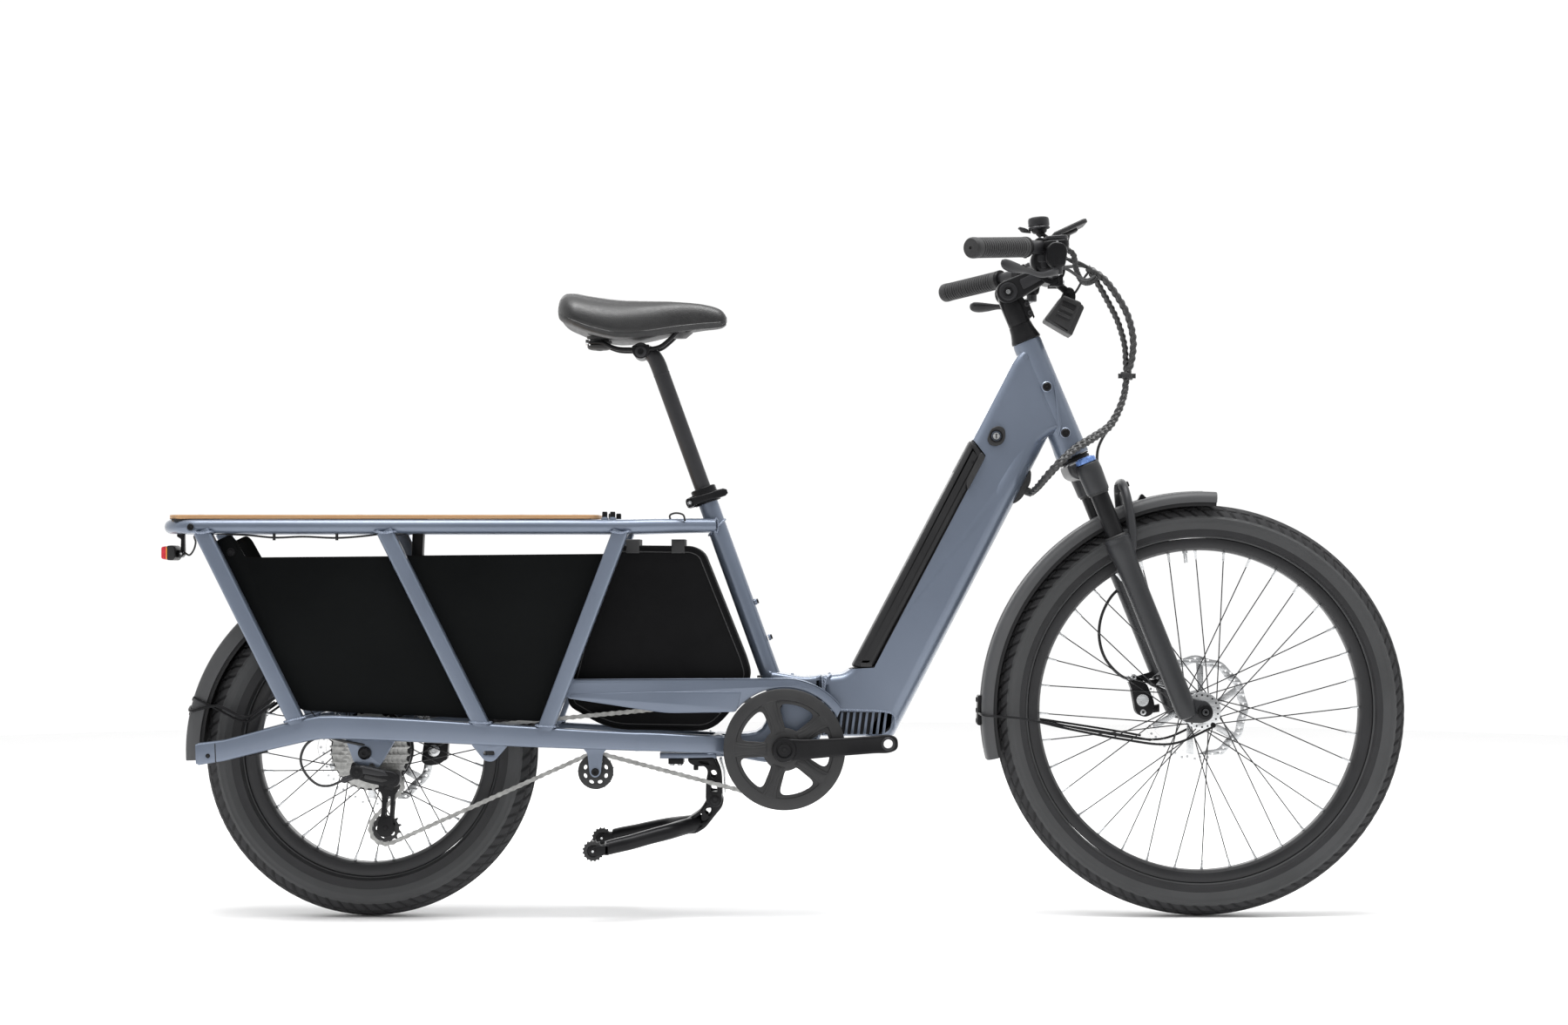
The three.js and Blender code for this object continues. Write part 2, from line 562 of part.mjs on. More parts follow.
function forkLowers() {
  const pieces = [];
  for (const side of [-1, 1]) {
    const y = side * LEG_HALF;
    pieces.push(rod(at(LEG_FORWARD, y, -470), at(LEG_FORWARD, y, -160), 18, 14));
    pieces.push(rod(at(LEG_FORWARD, y, -182), at(LEG_FORWARD, y, -152), 19, 14, 22.5));
    pieces.push(plate([[-6, -440], [22, -436], [48, -458], [50, -484], [26, -488], [-4, -478]],
      side * 57 - 6.5, side * 57 + 6.5));
  }
  pieces.push(sweep([[18, -60, -174], [40, -60, -140], [52, -50, -92], [54, -25, -78], [54, 0, -75],
    [54, 25, -78], [52, 50, -92], [40, 60, -140], [18, 60, -174]], 8, 8, 18));
  pieces.push(rod(at(FORK_AXLE[0], -67, FORK_AXLE[1]), at(FORK_AXLE[0], 67, FORK_AXLE[1]), 6, 16));
  pieces.push(rod(at(FORK_AXLE[0], -70, FORK_AXLE[1]), at(FORK_AXLE[0], -63, FORK_AXLE[1]), 10, 12));
  const bores = [-1, 1].map((side) => rod(
    at(LEG_FORWARD, side * LEG_HALF, -360 - FORK_TRAVEL - 6), at(LEG_FORWARD, side * LEG_HALF, -140),
    STANCHION_R + 1.3, 14,
  ));
  return cut(join(...pieces), ...bores);
}
part('fork_lowers', forkLowers(), FORK_PAINT, fork);

function stemBase() {
  const body = upright([[STEERER_R + 1.2, 207.4], [24, 207.4], [23, 214], [19.5, 236], [18, 240],
    [18, 262], [15, 276], [0, 276], [0, 268], [STEERER_R + 1.2, 268]], 18);
  const lug = rod(at(0, -9, STEM_PIVOT_UP), at(0, 9, STEM_PIVOT_UP), 17, 16);
  const neck = box(-12, 12, -9, 9, 269, 294);
  const pin = rod(at(0, -22, STEM_PIVOT_UP), at(0, 22, STEM_PIVOT_UP), 4, 12);
  return join(body, lug, neck, pin);
}
part('stem_base', stemBase(), BLACK_ALLOY, fork);

// ---------- front fender, brake and wheel ----------
part('front_fender', fender(FRONT_AXLE, 365, 86, 193, 39, 13), BLACK_PLASTIC);

function wheelSpokes(hub, flange, flangeHalf, rim, rimHalf, lean) {
  const spokes = [];
  const count = 36;
  for (let i = 0; i < count; i += 1) {
    const side = i % 2 ? 1 : -1;
    const a = (i / count) * Math.PI * 2;
    const b = a + side * lean;
    const from = at(Math.cos(b) * flange, side * flangeHalf, Math.sin(b) * flange);
    const to = at(Math.cos(a) * rim, side * rimHalf, Math.sin(a) * rim);
    spokes.push(rod(from, to, 1.3, 3));
  }
  return join(hub, ...spokes);
}

const frontWheel = group(FRONT_AXLE[0], FRONT_AXLE[1]);
const frontHub = turned([[6.6, -49], [11, -49], [13, -36], [31, -34], [31, -29], [18, -24], [18, 24],
  [31, 29], [31, 34], [13, 36], [12, 49], [6.6, 49]], 18);
part('front_hub_spokes', wheelSpokes(frontHub, 28, 31, 265, 4, 1.0), STEEL, frontWheel);
part('front_rim', turned([[267, -7], [273, -17], [287, -17.5], [287, -15.5], [276, -14],
  [276, 14], [287, 15.5], [287, 17.5], [273, 17], [267, 7]], 40), BLACK_ALLOY, frontWheel);

// Tyre carcass: an arch from bead to bead, open to the rim well.
function tyre(outer, half, bead, segments, beadHalf) {
  const depth = outer - bead;
  const arch = (grow, points) => Array.from({ length: points }, (_, i) => {
    const a = Math.PI * (-0.04 + 1.08 * (i / (points - 1)));
    const r = bead + depth * 0.5 + (depth * 0.5 - grow) * Math.sin(a);
    return [r, -Math.cos(a) * (half - grow)];
  });
  const outside = [[bead + 1, -beadHalf - 1], ...arch(0, 7), [bead + 1, beadHalf + 1]];
  const inside = [[bead + 1, beadHalf - 3], ...arch(5, 5).reverse(), [bead + 1, -beadHalf + 3]];
  return turned([...outside, ...inside], segments);
}
part('front_tyre', tyre(FRONT_TYRE_R, FRONT_TYRE_HALF, 287.5, 40, 17), TYRE_RUBBER, frontWheel);
part('front_rotor', turned([[13.6, 38], [90, 38], [90, 40], [13.6, 40]], 28), STEEL, frontWheel);

function caliper(x, z, y, reach, height) {
  const body = box(x - 22, x + 22, y - 11, y + 13, z - height / 2, z + height / 2);
  const slot = box(x - 16, x + 60, y - 2.4, y + 2.4, z - 60, z + 60);
  return reach > 0 ? cut(body, slot) : cut(body, slot.clone().translate(-44, 0, 0));
}
part('front_caliper', caliper(FRONT_AXLE[0] - 92, FRONT_AXLE[1] + 16, 39, 1, 54), BLACK_ALLOY);

// ---------- rear wheel, brake and cassette ----------
const rearWheel = group(REAR_AXLE[0], REAR_AXLE[1]);
const rearHub = turned([[6.6, -26], [22, -26], [60, -22], [66, -17], [66, 17], [60, 24], [30, 30],
  [13, 36], [13, 64], [6.6, 64]], 20);
part('rear_hub_spokes', wheelSpokes(rearHub, 64, 13, 184.8, 4, 0.42), BLACK_ALLOY, rearWheel);
part('rear_rim', turned([[187.5, -8], [192, -19], [210, -19.5], [210, -17.5], [197, -16],
  [197, 16], [210, 17.5], [210, 19.5], [192, 19], [187.5, 8]], 36), BLACK_ALLOY, rearWheel);
part('rear_tyre', tyre(REAR_TYRE_R, REAR_TYRE_HALF, 210.5, 36, 19), TYRE_RUBBER, rearWheel);
part('rear_rotor', turned([[14.6, 48], [101, 48], [101, 50], [14.6, 50]], 28), STEEL, rearWheel);
part('rear_caliper', join(
  caliper(REAR_AXLE[0] + 98, REAR_AXLE[1] - 4, 49, -1, 44),
  box(REAR_AXLE[0] + 86, REAR_AXLE[0] + 116, 60, 66.6, 276, 296),
), BLACK_ALLOY);
part('cassette', turned([[9, -28], [68, -28], [68, -31], [60, -31], [60, -35], [52, -35], [52, -39],
  [45, -39], [45, -43], [38, -43], [38, -47], [31, -47], [31, -50.5], [26, -50.5], [26, -53.5],
  [COG_PITCH_R - TOOTH_DEEP, -53.5], [COG_PITCH_R - TOOTH_DEEP, -61.5], [9, -61.5]], 22), STEEL, rearWheel);

// ---------- crankset ----------
const crank = group(CRANK_AXIS[0], CRANK_AXIS[1]);
function crankArm(side) {
  const turn = side < 0 ? 1 : -1;
  const tip = [turn * CRANK_LENGTH * Math.cos(CRANK_RISE), turn * CRANK_LENGTH * Math.sin(CRANK_RISE)];
  const y = side * 88;
  const arm = beam(at(0, y, 0), at(tip[0], y, tip[1]), 12, 27, 4);
  const hub = rod(at(0, y - 9, 0), at(0, y + 9, 0), 20, 18);
  const eye = rod(at(tip[0], y - 7, tip[1]), at(tip[0], y + 7, tip[1]), 16, 16);
  const hole = rod(at(tip[0], y - 12, tip[1]), at(tip[0], y + 12, tip[1]), 7, 12);
  return cut(join(arm, hub, eye), hole);
}
function crankRight() {
  return cut(crankArm(-1), rod(at(0, -90, 0), at(0, -70, 0), 9.4, 12));
}
function crankLeft() {
  return join(crankArm(1), rod(at(0, -89.6, 0), at(0, 82, 0), 9, 12));
}
part('crank_right', crankRight(), BLACK_ALLOY, crank);
part('crank_left', crankLeft(), BLACK_ALLOY, crank);

function chainring() {
  const root = RING_PITCH_R - TOOTH_DEEP;
  const teeth = turned([[22, -59], [root, -59], [root, -56], [22, -56]], 32);
  const spacer = turned([[11, -76], [26, -76], [26, -55], [11, -55]], 16);
  const guard = turned([[20, -76.5], [100, -76.5], [100, -73.5], [20, -73.5]], 32);
  const windows = [];
  for (let i = 0; i < 5; i += 1) {
    const shape = new THREE.Shape();
    shape.absarc(0, 0, 82, -0.47, 0.47, false);
    shape.absarc(0, 0, 36, 0.24, -0.24, true);
    windows.push(plate(shape, -80, -70, 0, 1, 3).rotateY(-(i + 0.5) * Math.PI * 0.4 + Math.PI));
  }
  return join(teeth, spacer, cut(guard, ...windows));
}
part('chainring', chainring(), BLACK_ALLOY, crank);

// ---------- chain line: idler, pulleys, chain and rear mechanism ----------
const pulley = (radius, bore, half) => turned([[bore, CHAIN_Y - half], [radius, CHAIN_Y - 2],
  [radius, CHAIN_Y + 2], [bore, CHAIN_Y + half]], 18);
part('idler_pulley', pulley(IDLER_PITCH_R - TOOTH_DEEP, 4.5, 6), BLACK_PLASTIC, group(...IDLER));
part('jockey_upper', pulley(JOCKEY_UP_PITCH_R - TOOTH_DEEP, 3.4, 4), BLACK_PLASTIC, group(...JOCKEY_UP));
part('jockey_lower', pulley(JOCKEY_LOW_PITCH_R - TOOTH_DEEP, 3.4, 4), BLACK_PLASTIC, group(...JOCKEY_LOW));

// A belt line around pulleys; turn is 1 where the line goes round counterclockwise, else -1.
function beltLine(pulleys, offset) {
  const wheels = pulleys.map(([c, r, turn]) => ({ c, turn, r: r + offset * turn }));
  const angles = wheels.map((w, i) => {
    const n = wheels[(i + 1) % wheels.length];
    const [dx, dz] = [n.c[0] - w.c[0], n.c[1] - w.c[1]];
    return Math.atan2(dz, dx) + Math.asin((w.turn * w.r - n.turn * n.r) / Math.hypot(dx, dz));
  });
  const points = [];
  wheels.forEach((w, i) => {
    const into = angles[(i + wheels.length - 1) % wheels.length];
    let sweepAngle = (angles[i] - into) * w.turn;
    while (sweepAngle < 0) sweepAngle += Math.PI * 2;
    while (sweepAngle > Math.PI * 2) sweepAngle -= Math.PI * 2;
    const steps = Math.max(2, Math.ceil(sweepAngle / 0.24));
    for (let k = 0; k <= steps; k += 1) {
      const a = into + (sweepAngle * w.turn * k) / steps;
      points.push(new THREE.Vector2(
        w.c[0] + w.turn * w.r * Math.sin(a), w.c[1] - w.turn * w.r * Math.cos(a),
      ));
    }
  });
  return points;
}

const CHAIN_PATH = [
  [CRANK_AXIS, RING_PITCH_R, 1], [REAR_AXLE, COG_PITCH_R, 1], [JOCKEY_UP, JOCKEY_UP_PITCH_R, -1],
  [JOCKEY_LOW, JOCKEY_LOW_PITCH_R, 1], [IDLER, IDLER_PITCH_R, -1],
];
function chain() {
  const shape = new THREE.Shape(beltLine(CHAIN_PATH, CHAIN_DEEP));
  shape.holes.push(new THREE.Path(beltLine(CHAIN_PATH, -CHAIN_DEEP)));
  return plate(shape, CHAIN_Y - CHAIN_HALF, CHAIN_Y + CHAIN_HALF);
}
part('chain', chain(), STEEL);

function rearMechanism() {
  const cage = (y0, y1) => plate([
    [JOCKEY_UP[0] - 12, JOCKEY_UP[1] + 9], [JOCKEY_UP[0] + 10, JOCKEY_UP[1] + 10],
    [JOCKEY_UP[0] + 14, JOCKEY_UP[1] - 10], [JOCKEY_LOW[0] + 14, JOCKEY_LOW[1] + 6],
    [JOCKEY_LOW[0] + 9, JOCKEY_LOW[1] - 12], [JOCKEY_LOW[0] - 9, JOCKEY_LOW[1] - 12],
    [JOCKEY_LOW[0] - 14, JOCKEY_LOW[1] + 6], [JOCKEY_UP[0] - 18, JOCKEY_UP[1] - 8]], y0, y1);
  const pins = [JOCKEY_UP, JOCKEY_LOW].map((c) => crossRod(c, -66, -49, 3, 10));
  const hanger = plate([[-706, 262], [-682, 249], [-686, 238], [-702, 236], [-712, 250]], -87.5, -79.5);
  const knuckle = crossRod([-697, 246], -100, -80, 11, 16);
  const arm = beam(at(-697, -92, 246), at(-640, -84, 234), 14, 24, 5);
  const cagePivot = crossRod([-640, 234], -92, -64.5, 11, 16);
  const barrel = rod(at(-700, -94, 240), at(-722, -94, 232), 5, 10);
  return join(cage(-66.5, -64.5), cage(-50.5, -48.5), ...pins, hanger, knuckle, arm, cagePivot, barrel);
}
part('rear_derailleur', rearMechanism(), BLACK_ALLOY);

// ---------- centre stand ----------
function standLegs() {
  const pivot = crossRod(STAND_PIVOT, -27.6, 27.6, 11, 16);
  const pin = crossRod(STAND_PIVOT, -36, 36, 6, 12);
  const cheek = plate([[-123, 205], [-103, 200], [-101, 188], [-132, 148], [-160, 138], [-166, 152],
    [-140, 168]], -26, 26, 3, 1);
  const leg = (side) => sweep([[-146, side * 12, 154], [-168, side * 34, 150], [-190, side * 58, 145],
    [-250, side * 86, 131], [STAND_FOOT[0] + 21, side * 97, 122.5]], 12, 8, 9);
  const footX = STAND_FOOT[0];
  const fork = (y) => join(
    box(footX - 4, footX + 26, y - 11, y - 8, 112, 127),
    box(footX - 4, footX + 26, y + 8, y + 11, 112, 127),
    box(footX + 19, footX + 26, y - 11, y + 11, 112, 127),
    crossRod(STAND_FOOT, y - 10, y + 10, 3, 10),
  );
  return join(pivot, pin, cheek, leg(-1), leg(1), fork(-STAND_FOOT_HALF), fork(STAND_FOOT_HALF));
}
part('kickstand_legs', standLegs(), BLACK_ALLOY);
for (const [name, side] of [['foot_roller_right', -1], ['foot_roller_left', 1]]) {
  const holder = group(...STAND_FOOT);
  const y = side * STAND_FOOT_HALF;
  part(name, turned([[3.6, y - 7.4], [15, y - 7.4], [STAND_FOOT_R, y - 4], [STAND_FOOT_R, y + 4],
    [15, y + 7.4], [3.6, y + 7.4]], 14), RUBBER, holder);
}

// ---------- stem arm, handlebar and controls ----------
const PIVOT = headAxis(STEM_PIVOT_UP);
const clampAt = at(BAR_CLAMP[0], 0, BAR_CLAMP[1]);
function stemArm() {
  const lugs = crossRod([PIVOT.x, PIVOT.z], -21, 21, 18, 24);
  const arm = beam(PIVOT, clampAt, 36, 30, 6);
  const clamp = crossRod(BAR_CLAMP, -24, 24, 22, 24);
  const bracket = rod(at(452, 0, 1058), at(472, 0, 1043), 5, 10);
  const knuckle = crossRod([476, 1040], -9, 9, 7, 14);
  const slot = crossRod([PIVOT.x, PIVOT.z], -9.5, 9.5, 22.5, 24);
  const slotBack = box(PIVOT.x - 60, PIVOT.x, -9.5, 9.5, PIVOT.z - 50, PIVOT.z + 10);
  const pin = crossRod([PIVOT.x, PIVOT.z], -40, 40, 5.2, 12);
  const barBore = crossRod(BAR_CLAMP, -50, 50, BAR_R + 0.5, 24);
  return cut(join(lugs, arm, clamp, bracket, knuckle), slot, slotBack, pin, barBore);
}
part('stem_arm', stemArm(), BLACK_ALLOY);

const mirrorY = ([x, y, z]) => [x, -y, z];
function handlebar() {
  const middleGrip = [0, 1, 2].map((k) => (GRIP_IN[k] + GRIP_OUT[k]) / 2);
  const half = [[BAR_CLAMP[0], 42, BAR_CLAMP[1]], [447, 80, 1082], [440, 130, 1093], [415, 180, 1092],
    GRIP_IN, middleGrip, GRIP_OUT];
  const middle = crossRod(BAR_CLAMP, -46, 46, BAR_R, 20);
  const cone = (side) => rod(
    at(BAR_CLAMP[0], side * 45, BAR_CLAMP[1]), at(446, side * 68, 1079), BAR_R, 14, 11.6,
  );
  const pieces = [middle, cone(-1), cone(1)];
  return join(...pieces, sweep(half, BAR_END_R, 8, 18), sweep(half.map(mirrorY), BAR_END_R, 8, 18));
}
part('handlebar', handlebar(), BLACK_ALLOY);

function grip(side) {
  const inner = at(GRIP_IN[0], side * GRIP_IN[1], GRIP_IN[2]);
  const outer = at(GRIP_OUT[0], side * GRIP_OUT[1], GRIP_OUT[2]);
  const way = outer.clone().sub(inner).normalize();
  const start = inner.clone().addScaledVector(way, 13);
  const end = outer.clone().addScaledVector(way, 4);
  const bore = rod(inner, outer.clone().addScaledVector(way, 0.6), BAR_END_R + 1.3, 16);
  return cut(rod(start, end, GRIP_R, 16), bore);
}
part('grip_right', grip(-1), RUBBER);
part('grip_left', grip(1), RUBBER);

// Brake lever pivot on the left; the right one is its mirror image.
const LEVER_PIVOT = [434, 206];

function control(side) {
  const y = (v) => side * v;
  const master = rod(at(436, y(150), 1089), at(428, y(214), 1083), 13, 16);
  const housing = rod(at(436, y(196), 1060), at(436, y(196), 1096), 14, 14);
  const shifter = rod(at(414, y(176), 1058), at(414, y(176), 1082), 17, 14);
  const clampRing = rod(at(423, y(168), 1092), at(404, y(196), 1090), 17, 16);
  const barTool = sweep([[447, y(80), 1082], [440, y(130), 1093], [415, y(180), 1092],
    [GRIP_IN[0], y(GRIP_IN[1]), GRIP_IN[2]]], BAR_END_R + 1.2, 8, 10);
  const pieces = side < 0 ? [master, housing, shifter, clampRing] : [master, housing, clampRing];
  const leverRoom = [1040, 1066].map((z) => at(LEVER_PIVOT[0], y(LEVER_PIVOT[1]), z));
  const lowerCut = rod(leverRoom[0], leverRoom[1], 11, 14);
  return cut(join(...pieces), barTool, lowerCut);
}
part('control_right', control(-1), BLACK_ALLOY);
part('control_left', control(1), BLACK_ALLOY);

function brakeBlade(side) {
  const y = (v) => side * v;
  const ends = [1046, 1058].map((z) => at(LEVER_PIVOT[0], y(LEVER_PIVOT[1]), z));
  const eye = rod(ends[0], ends[1], 9, 14);
  const blade = sweep([[434, y(206), 1052], [425, y(224), 1046], [404, y(246), 1040], [380, y(274), 1044],
    [356, y(302), 1051], [338, y(322), 1058]], 4.6, 6, 10);
  return join(eye, blade);
}
part('brake_lever_right', brakeBlade(-1), BLACK_ALLOY);
part('brake_lever_left', brakeBlade(1), BLACK_ALLOY);
part('shift_lever', sweep([[414, -176, 1054], [402, -190, 1050], [390, -208, 1050]], 3.6, 6, 5),
  BLACK_PLASTIC);

// ---------- display, bell and lamp ----------
function display() {
  const slab = beam(at(446, 0, 1131), at(502, 0, 1157), 74, 8, 3);
  const foot = rod(at(470, 0, 1141), at(462, 0, 1102), 9, 12);
  const band = crossRod(BAR_CLAMP, 30, 44, 21, 20);
  const strut = beam(at(452, 34, 1092), at(462, 6, 1108), 12, 12, 3);
  const bore = crossRod(BAR_CLAMP, 20, 60, BAR_R + 1.3, 20);
  const keep = crossRod(BAR_CLAMP, -30, 29, 23, 20);
  return cut(join(slab, foot, band, strut), bore, keep);
}
part('display', display(), SCREEN);

const BELL = [413, -128];
function bell() {
  const dome = upright([[0, 18], [6, 17.5], [12, 15], [16, 10], [17.5, 2], [17.5, -2], [0, -2]], 18)
    .translate(BELL[0], BELL[1], 1130);
  const stand = rod(at(BELL[0], BELL[1], 1128.5), at(438, -128, 1104), 6, 12);
  const band = rod(at(444, -116, 1091), at(437, -138, 1093), 15.5, 16);
  const bar = sweep([[444, -42, 1075], [447, -80, 1082], [440, -130, 1093], [415, -180, 1092],
    [388, -218, 1088]], BAR_END_R + 1.4, 8, 12);
  return cut(join(dome, stand, band), bar);
}
part('bell', bell(), BLACK_ALLOY);
part('bell_lever', join(
  rod(at(BELL[0] - 14, BELL[1], 1124.5), at(BELL[0] - 30, BELL[1], 1126), 3, 10),
  rod(at(BELL[0] - 30, BELL[1] - 5, 1126), at(BELL[0] - 30, BELL[1] + 5, 1126), 4.2, 10),
), BLACK_PLASTIC);

function headlight() {
  const outline = [[462.7, 1034], [496, 1021], [473, 967], [431.5, 992]];
  const body = plate(outline, -28, 28, 5, 2);
  const ears = [-1, 1].map((side) => plate([[456, 1024], [482, 1022], [484, 1042], [470, 1046]],
    side * 11.5 - 2, side * 11.5 + 2));
  const knuckleRoom = crossRod([476, 1040], -9.4, 9.4, 10, 16);
  return cut(join(body, ...ears), knuckleRoom);
}
part('headlight', headlight(), BLACK_PLASTIC);

// ---------- cable bundle from the bar to the port in the down tube ----------
const BUNDLE = [[503, -34, 1077], [530, -34, 1059], [556, -32, 1027], [576, -30, 995],
  [587, -29, 955], [584, -30, 920], [577, -31, 898], [571, -34, 866], [560, -38, 838], [538, -42, 810],
  [508, -44, 787], [476, -45, 769], [446, -43, 747], [426, -30, 724], [416, -14, 710]];
part('cable_bundle', sweep(BUNDLE, 6, 8, 34), BLACK_PLASTIC);

export default bicycle;
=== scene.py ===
import math
import bmesh
import bpy
from mathutils import Matrix, Vector


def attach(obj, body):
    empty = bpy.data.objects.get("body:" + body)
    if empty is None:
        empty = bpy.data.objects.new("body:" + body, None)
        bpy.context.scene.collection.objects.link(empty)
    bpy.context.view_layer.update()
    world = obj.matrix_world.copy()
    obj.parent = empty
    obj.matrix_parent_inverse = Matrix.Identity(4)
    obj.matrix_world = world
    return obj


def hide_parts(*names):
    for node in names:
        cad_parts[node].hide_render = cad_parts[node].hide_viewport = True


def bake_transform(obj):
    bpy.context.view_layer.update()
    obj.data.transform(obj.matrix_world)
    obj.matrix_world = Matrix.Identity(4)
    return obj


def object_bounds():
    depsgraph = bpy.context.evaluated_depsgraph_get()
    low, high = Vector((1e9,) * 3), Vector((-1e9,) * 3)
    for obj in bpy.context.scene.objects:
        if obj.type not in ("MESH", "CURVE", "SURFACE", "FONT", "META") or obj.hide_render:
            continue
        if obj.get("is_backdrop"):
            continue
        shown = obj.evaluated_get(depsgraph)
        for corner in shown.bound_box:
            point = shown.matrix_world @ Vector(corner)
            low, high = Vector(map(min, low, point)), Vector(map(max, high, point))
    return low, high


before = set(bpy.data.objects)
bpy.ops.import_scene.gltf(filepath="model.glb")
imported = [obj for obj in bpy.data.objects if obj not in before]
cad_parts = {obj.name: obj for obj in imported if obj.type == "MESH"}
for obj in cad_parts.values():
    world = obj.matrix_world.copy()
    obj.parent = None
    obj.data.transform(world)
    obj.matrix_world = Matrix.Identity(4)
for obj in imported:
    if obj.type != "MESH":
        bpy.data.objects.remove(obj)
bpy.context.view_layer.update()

scene = bpy.context.scene
MM = 0.001

# ---------- camera, light and floor ----------
camera = bpy.data.objects.new("camera", bpy.data.cameras.new("camera"))
scene.collection.objects.link(camera)
camera.location = (0.0, -4.2, 0.5827)
camera.rotation_euler = (math.pi / 2, 0.0, 0.0)
camera.data.sensor_width = 36.0
camera.data.lens = 57.73
camera.data.shift_y = 0.0342
scene.camera = camera

world = bpy.data.worlds.new("studio")
world.use_nodes = True
sky = world.node_tree.nodes["Background"]
sky.inputs["Color"].default_value = (1.0, 1.0, 1.0, 1.0)
# A white wall behind the bicycle and a dimmer room in front of it.
wall = world.node_tree.nodes.new("ShaderNodeSeparateXYZ")
world.node_tree.links.new(world.node_tree.nodes.new("ShaderNodeTexCoord").outputs["Generated"],
                          wall.inputs["Vector"])
dim = world.node_tree.nodes.new("ShaderNodeMapRange")
for key, number in (("From Min", -0.75), ("From Max", -0.05), ("To Min", 0.52), ("To Max", 1.02)):
    dim.inputs[key].default_value = number
world.node_tree.links.new(wall.outputs["Y"], dim.inputs["Value"])
world.node_tree.links.new(dim.outputs["Result"], sky.inputs["Strength"])
scene.world = world
scene.view_settings.view_transform = "Standard"


def soft_light(name, place, aim, size, power):
    lamp = bpy.data.lights.new(name, "AREA")
    lamp.shape = "RECTANGLE"
    lamp.size, lamp.size_y = size
    lamp.energy = power
    holder = bpy.data.objects.new(name, lamp)
    scene.collection.objects.link(holder)
    holder.location = place
    holder.rotation_euler = (Vector(aim) - Vector(place)).to_track_quat("-Z", "Y").to_euler()


soft_light("key", (-1.2, -1.8, 3.8), (0, 0, 0.5), (2.4, 1.0), 18)
soft_light("top", (0.0, -0.4, 3.6), (0, 0, 0.4), (3.4, 1.2), 140)
soft_light("back", (0.0, 3.2, 1.8), (0, 0, 0.6), (3.0, 1.4), 30)


# ---------- materials ----------
def nodes_of(name):
    made = bpy.data.materials.new(name)
    made.use_nodes = True
    tree = made.node_tree
    shader = tree.nodes["Principled BSDF"]
    place = tree.nodes.new("ShaderNodeTexCoord").outputs["Object"]
    return made, tree, shader, place


def mapped(tree, place, stretch):
    node = tree.nodes.new("ShaderNodeMapping")
    node.inputs["Scale"].default_value = stretch
    tree.links.new(place, node.inputs["Vector"])
    return node.outputs["Vector"]


def noise(tree, place, scale, detail=3.0, stretch=None):
    node = tree.nodes.new("ShaderNodeTexNoise")
    node.inputs["Scale"].default_value = scale
    node.inputs["Detail"].default_value = detail
    tree.links.new(mapped(tree, place, stretch) if stretch else place, node.inputs["Vector"])
    return node.outputs["Fac"]


def spread(tree, value, low, high, start=0.3, end=0.7):
    node = tree.nodes.new("ShaderNodeMapRange")
    for key, number in (("From Min", start), ("From Max", end), ("To Min", low), ("To Max", high)):
        node.inputs[key].default_value = number
    tree.links.new(value, node.inputs["Value"])
    return node.outputs["Result"]


def blend_colours(tree, factor, one, two):
    node = tree.nodes.new("ShaderNodeMix")
    node.data_type = "RGBA"
    for socket, colour in (("A", one), ("B", two)):
        target = next(i for i in node.inputs if i.name == socket and i.type == "RGBA")
        if isinstance(colour, tuple):
            target.default_value = (*colour, 1.0)
        else:
            tree.links.new(colour, target)
    tree.links.new(factor, node.inputs["Factor"])
    return next(o for o in node.outputs if o.type == "RGBA")


def bumped(tree, shader, height, depth, strength=1.0):
    """Small relief on a surface."""
    node = tree.nodes.new("ShaderNodeBump")
    node.inputs["Distance"].default_value = depth
    node.inputs["Strength"].default_value = strength
    tree.links.new(height, node.inputs["Height"])
    tree.links.new(node.outputs["Normal"], shader.inputs["Normal"])


def finish(name, dark, light, rough, metal=0.0, patch=18.0, grain=900.0, depth=0.0,
           coat=0.0, coat_rough=0.1, sheen=0.0, stretch=None, spec=0.5, detail=3.0):
    """A surface with slow colour changes, a fine grain and uneven gloss."""
    made, tree, shader, place = nodes_of(name)
    broad = noise(tree, place, patch, 4.0, stretch)
    fine = noise(tree, place, grain, detail, stretch)
    colour = blend_colours(tree, spread(tree, broad, 0.0, 1.0), dark, light)
    speck = blend_colours(tree, spread(tree, fine, 0.0, 0.35), colour, light)
    tree.links.new(speck, shader.inputs["Base Color"])
    tree.links.new(spread(tree, broad, rough - 0.05, rough + 0.06), shader.inputs["Roughness"])
    shader.inputs["Metallic"].default_value = metal
    shader.inputs["Coat Weight"].default_value = coat
    shader.inputs["Coat Roughness"].default_value = coat_rough
    shader.inputs["Sheen Weight"].default_value = sheen
    shader.inputs["Specular IOR Level"].default_value = spec
    if depth:
        bumped(tree, shader, fine, depth)
    return made


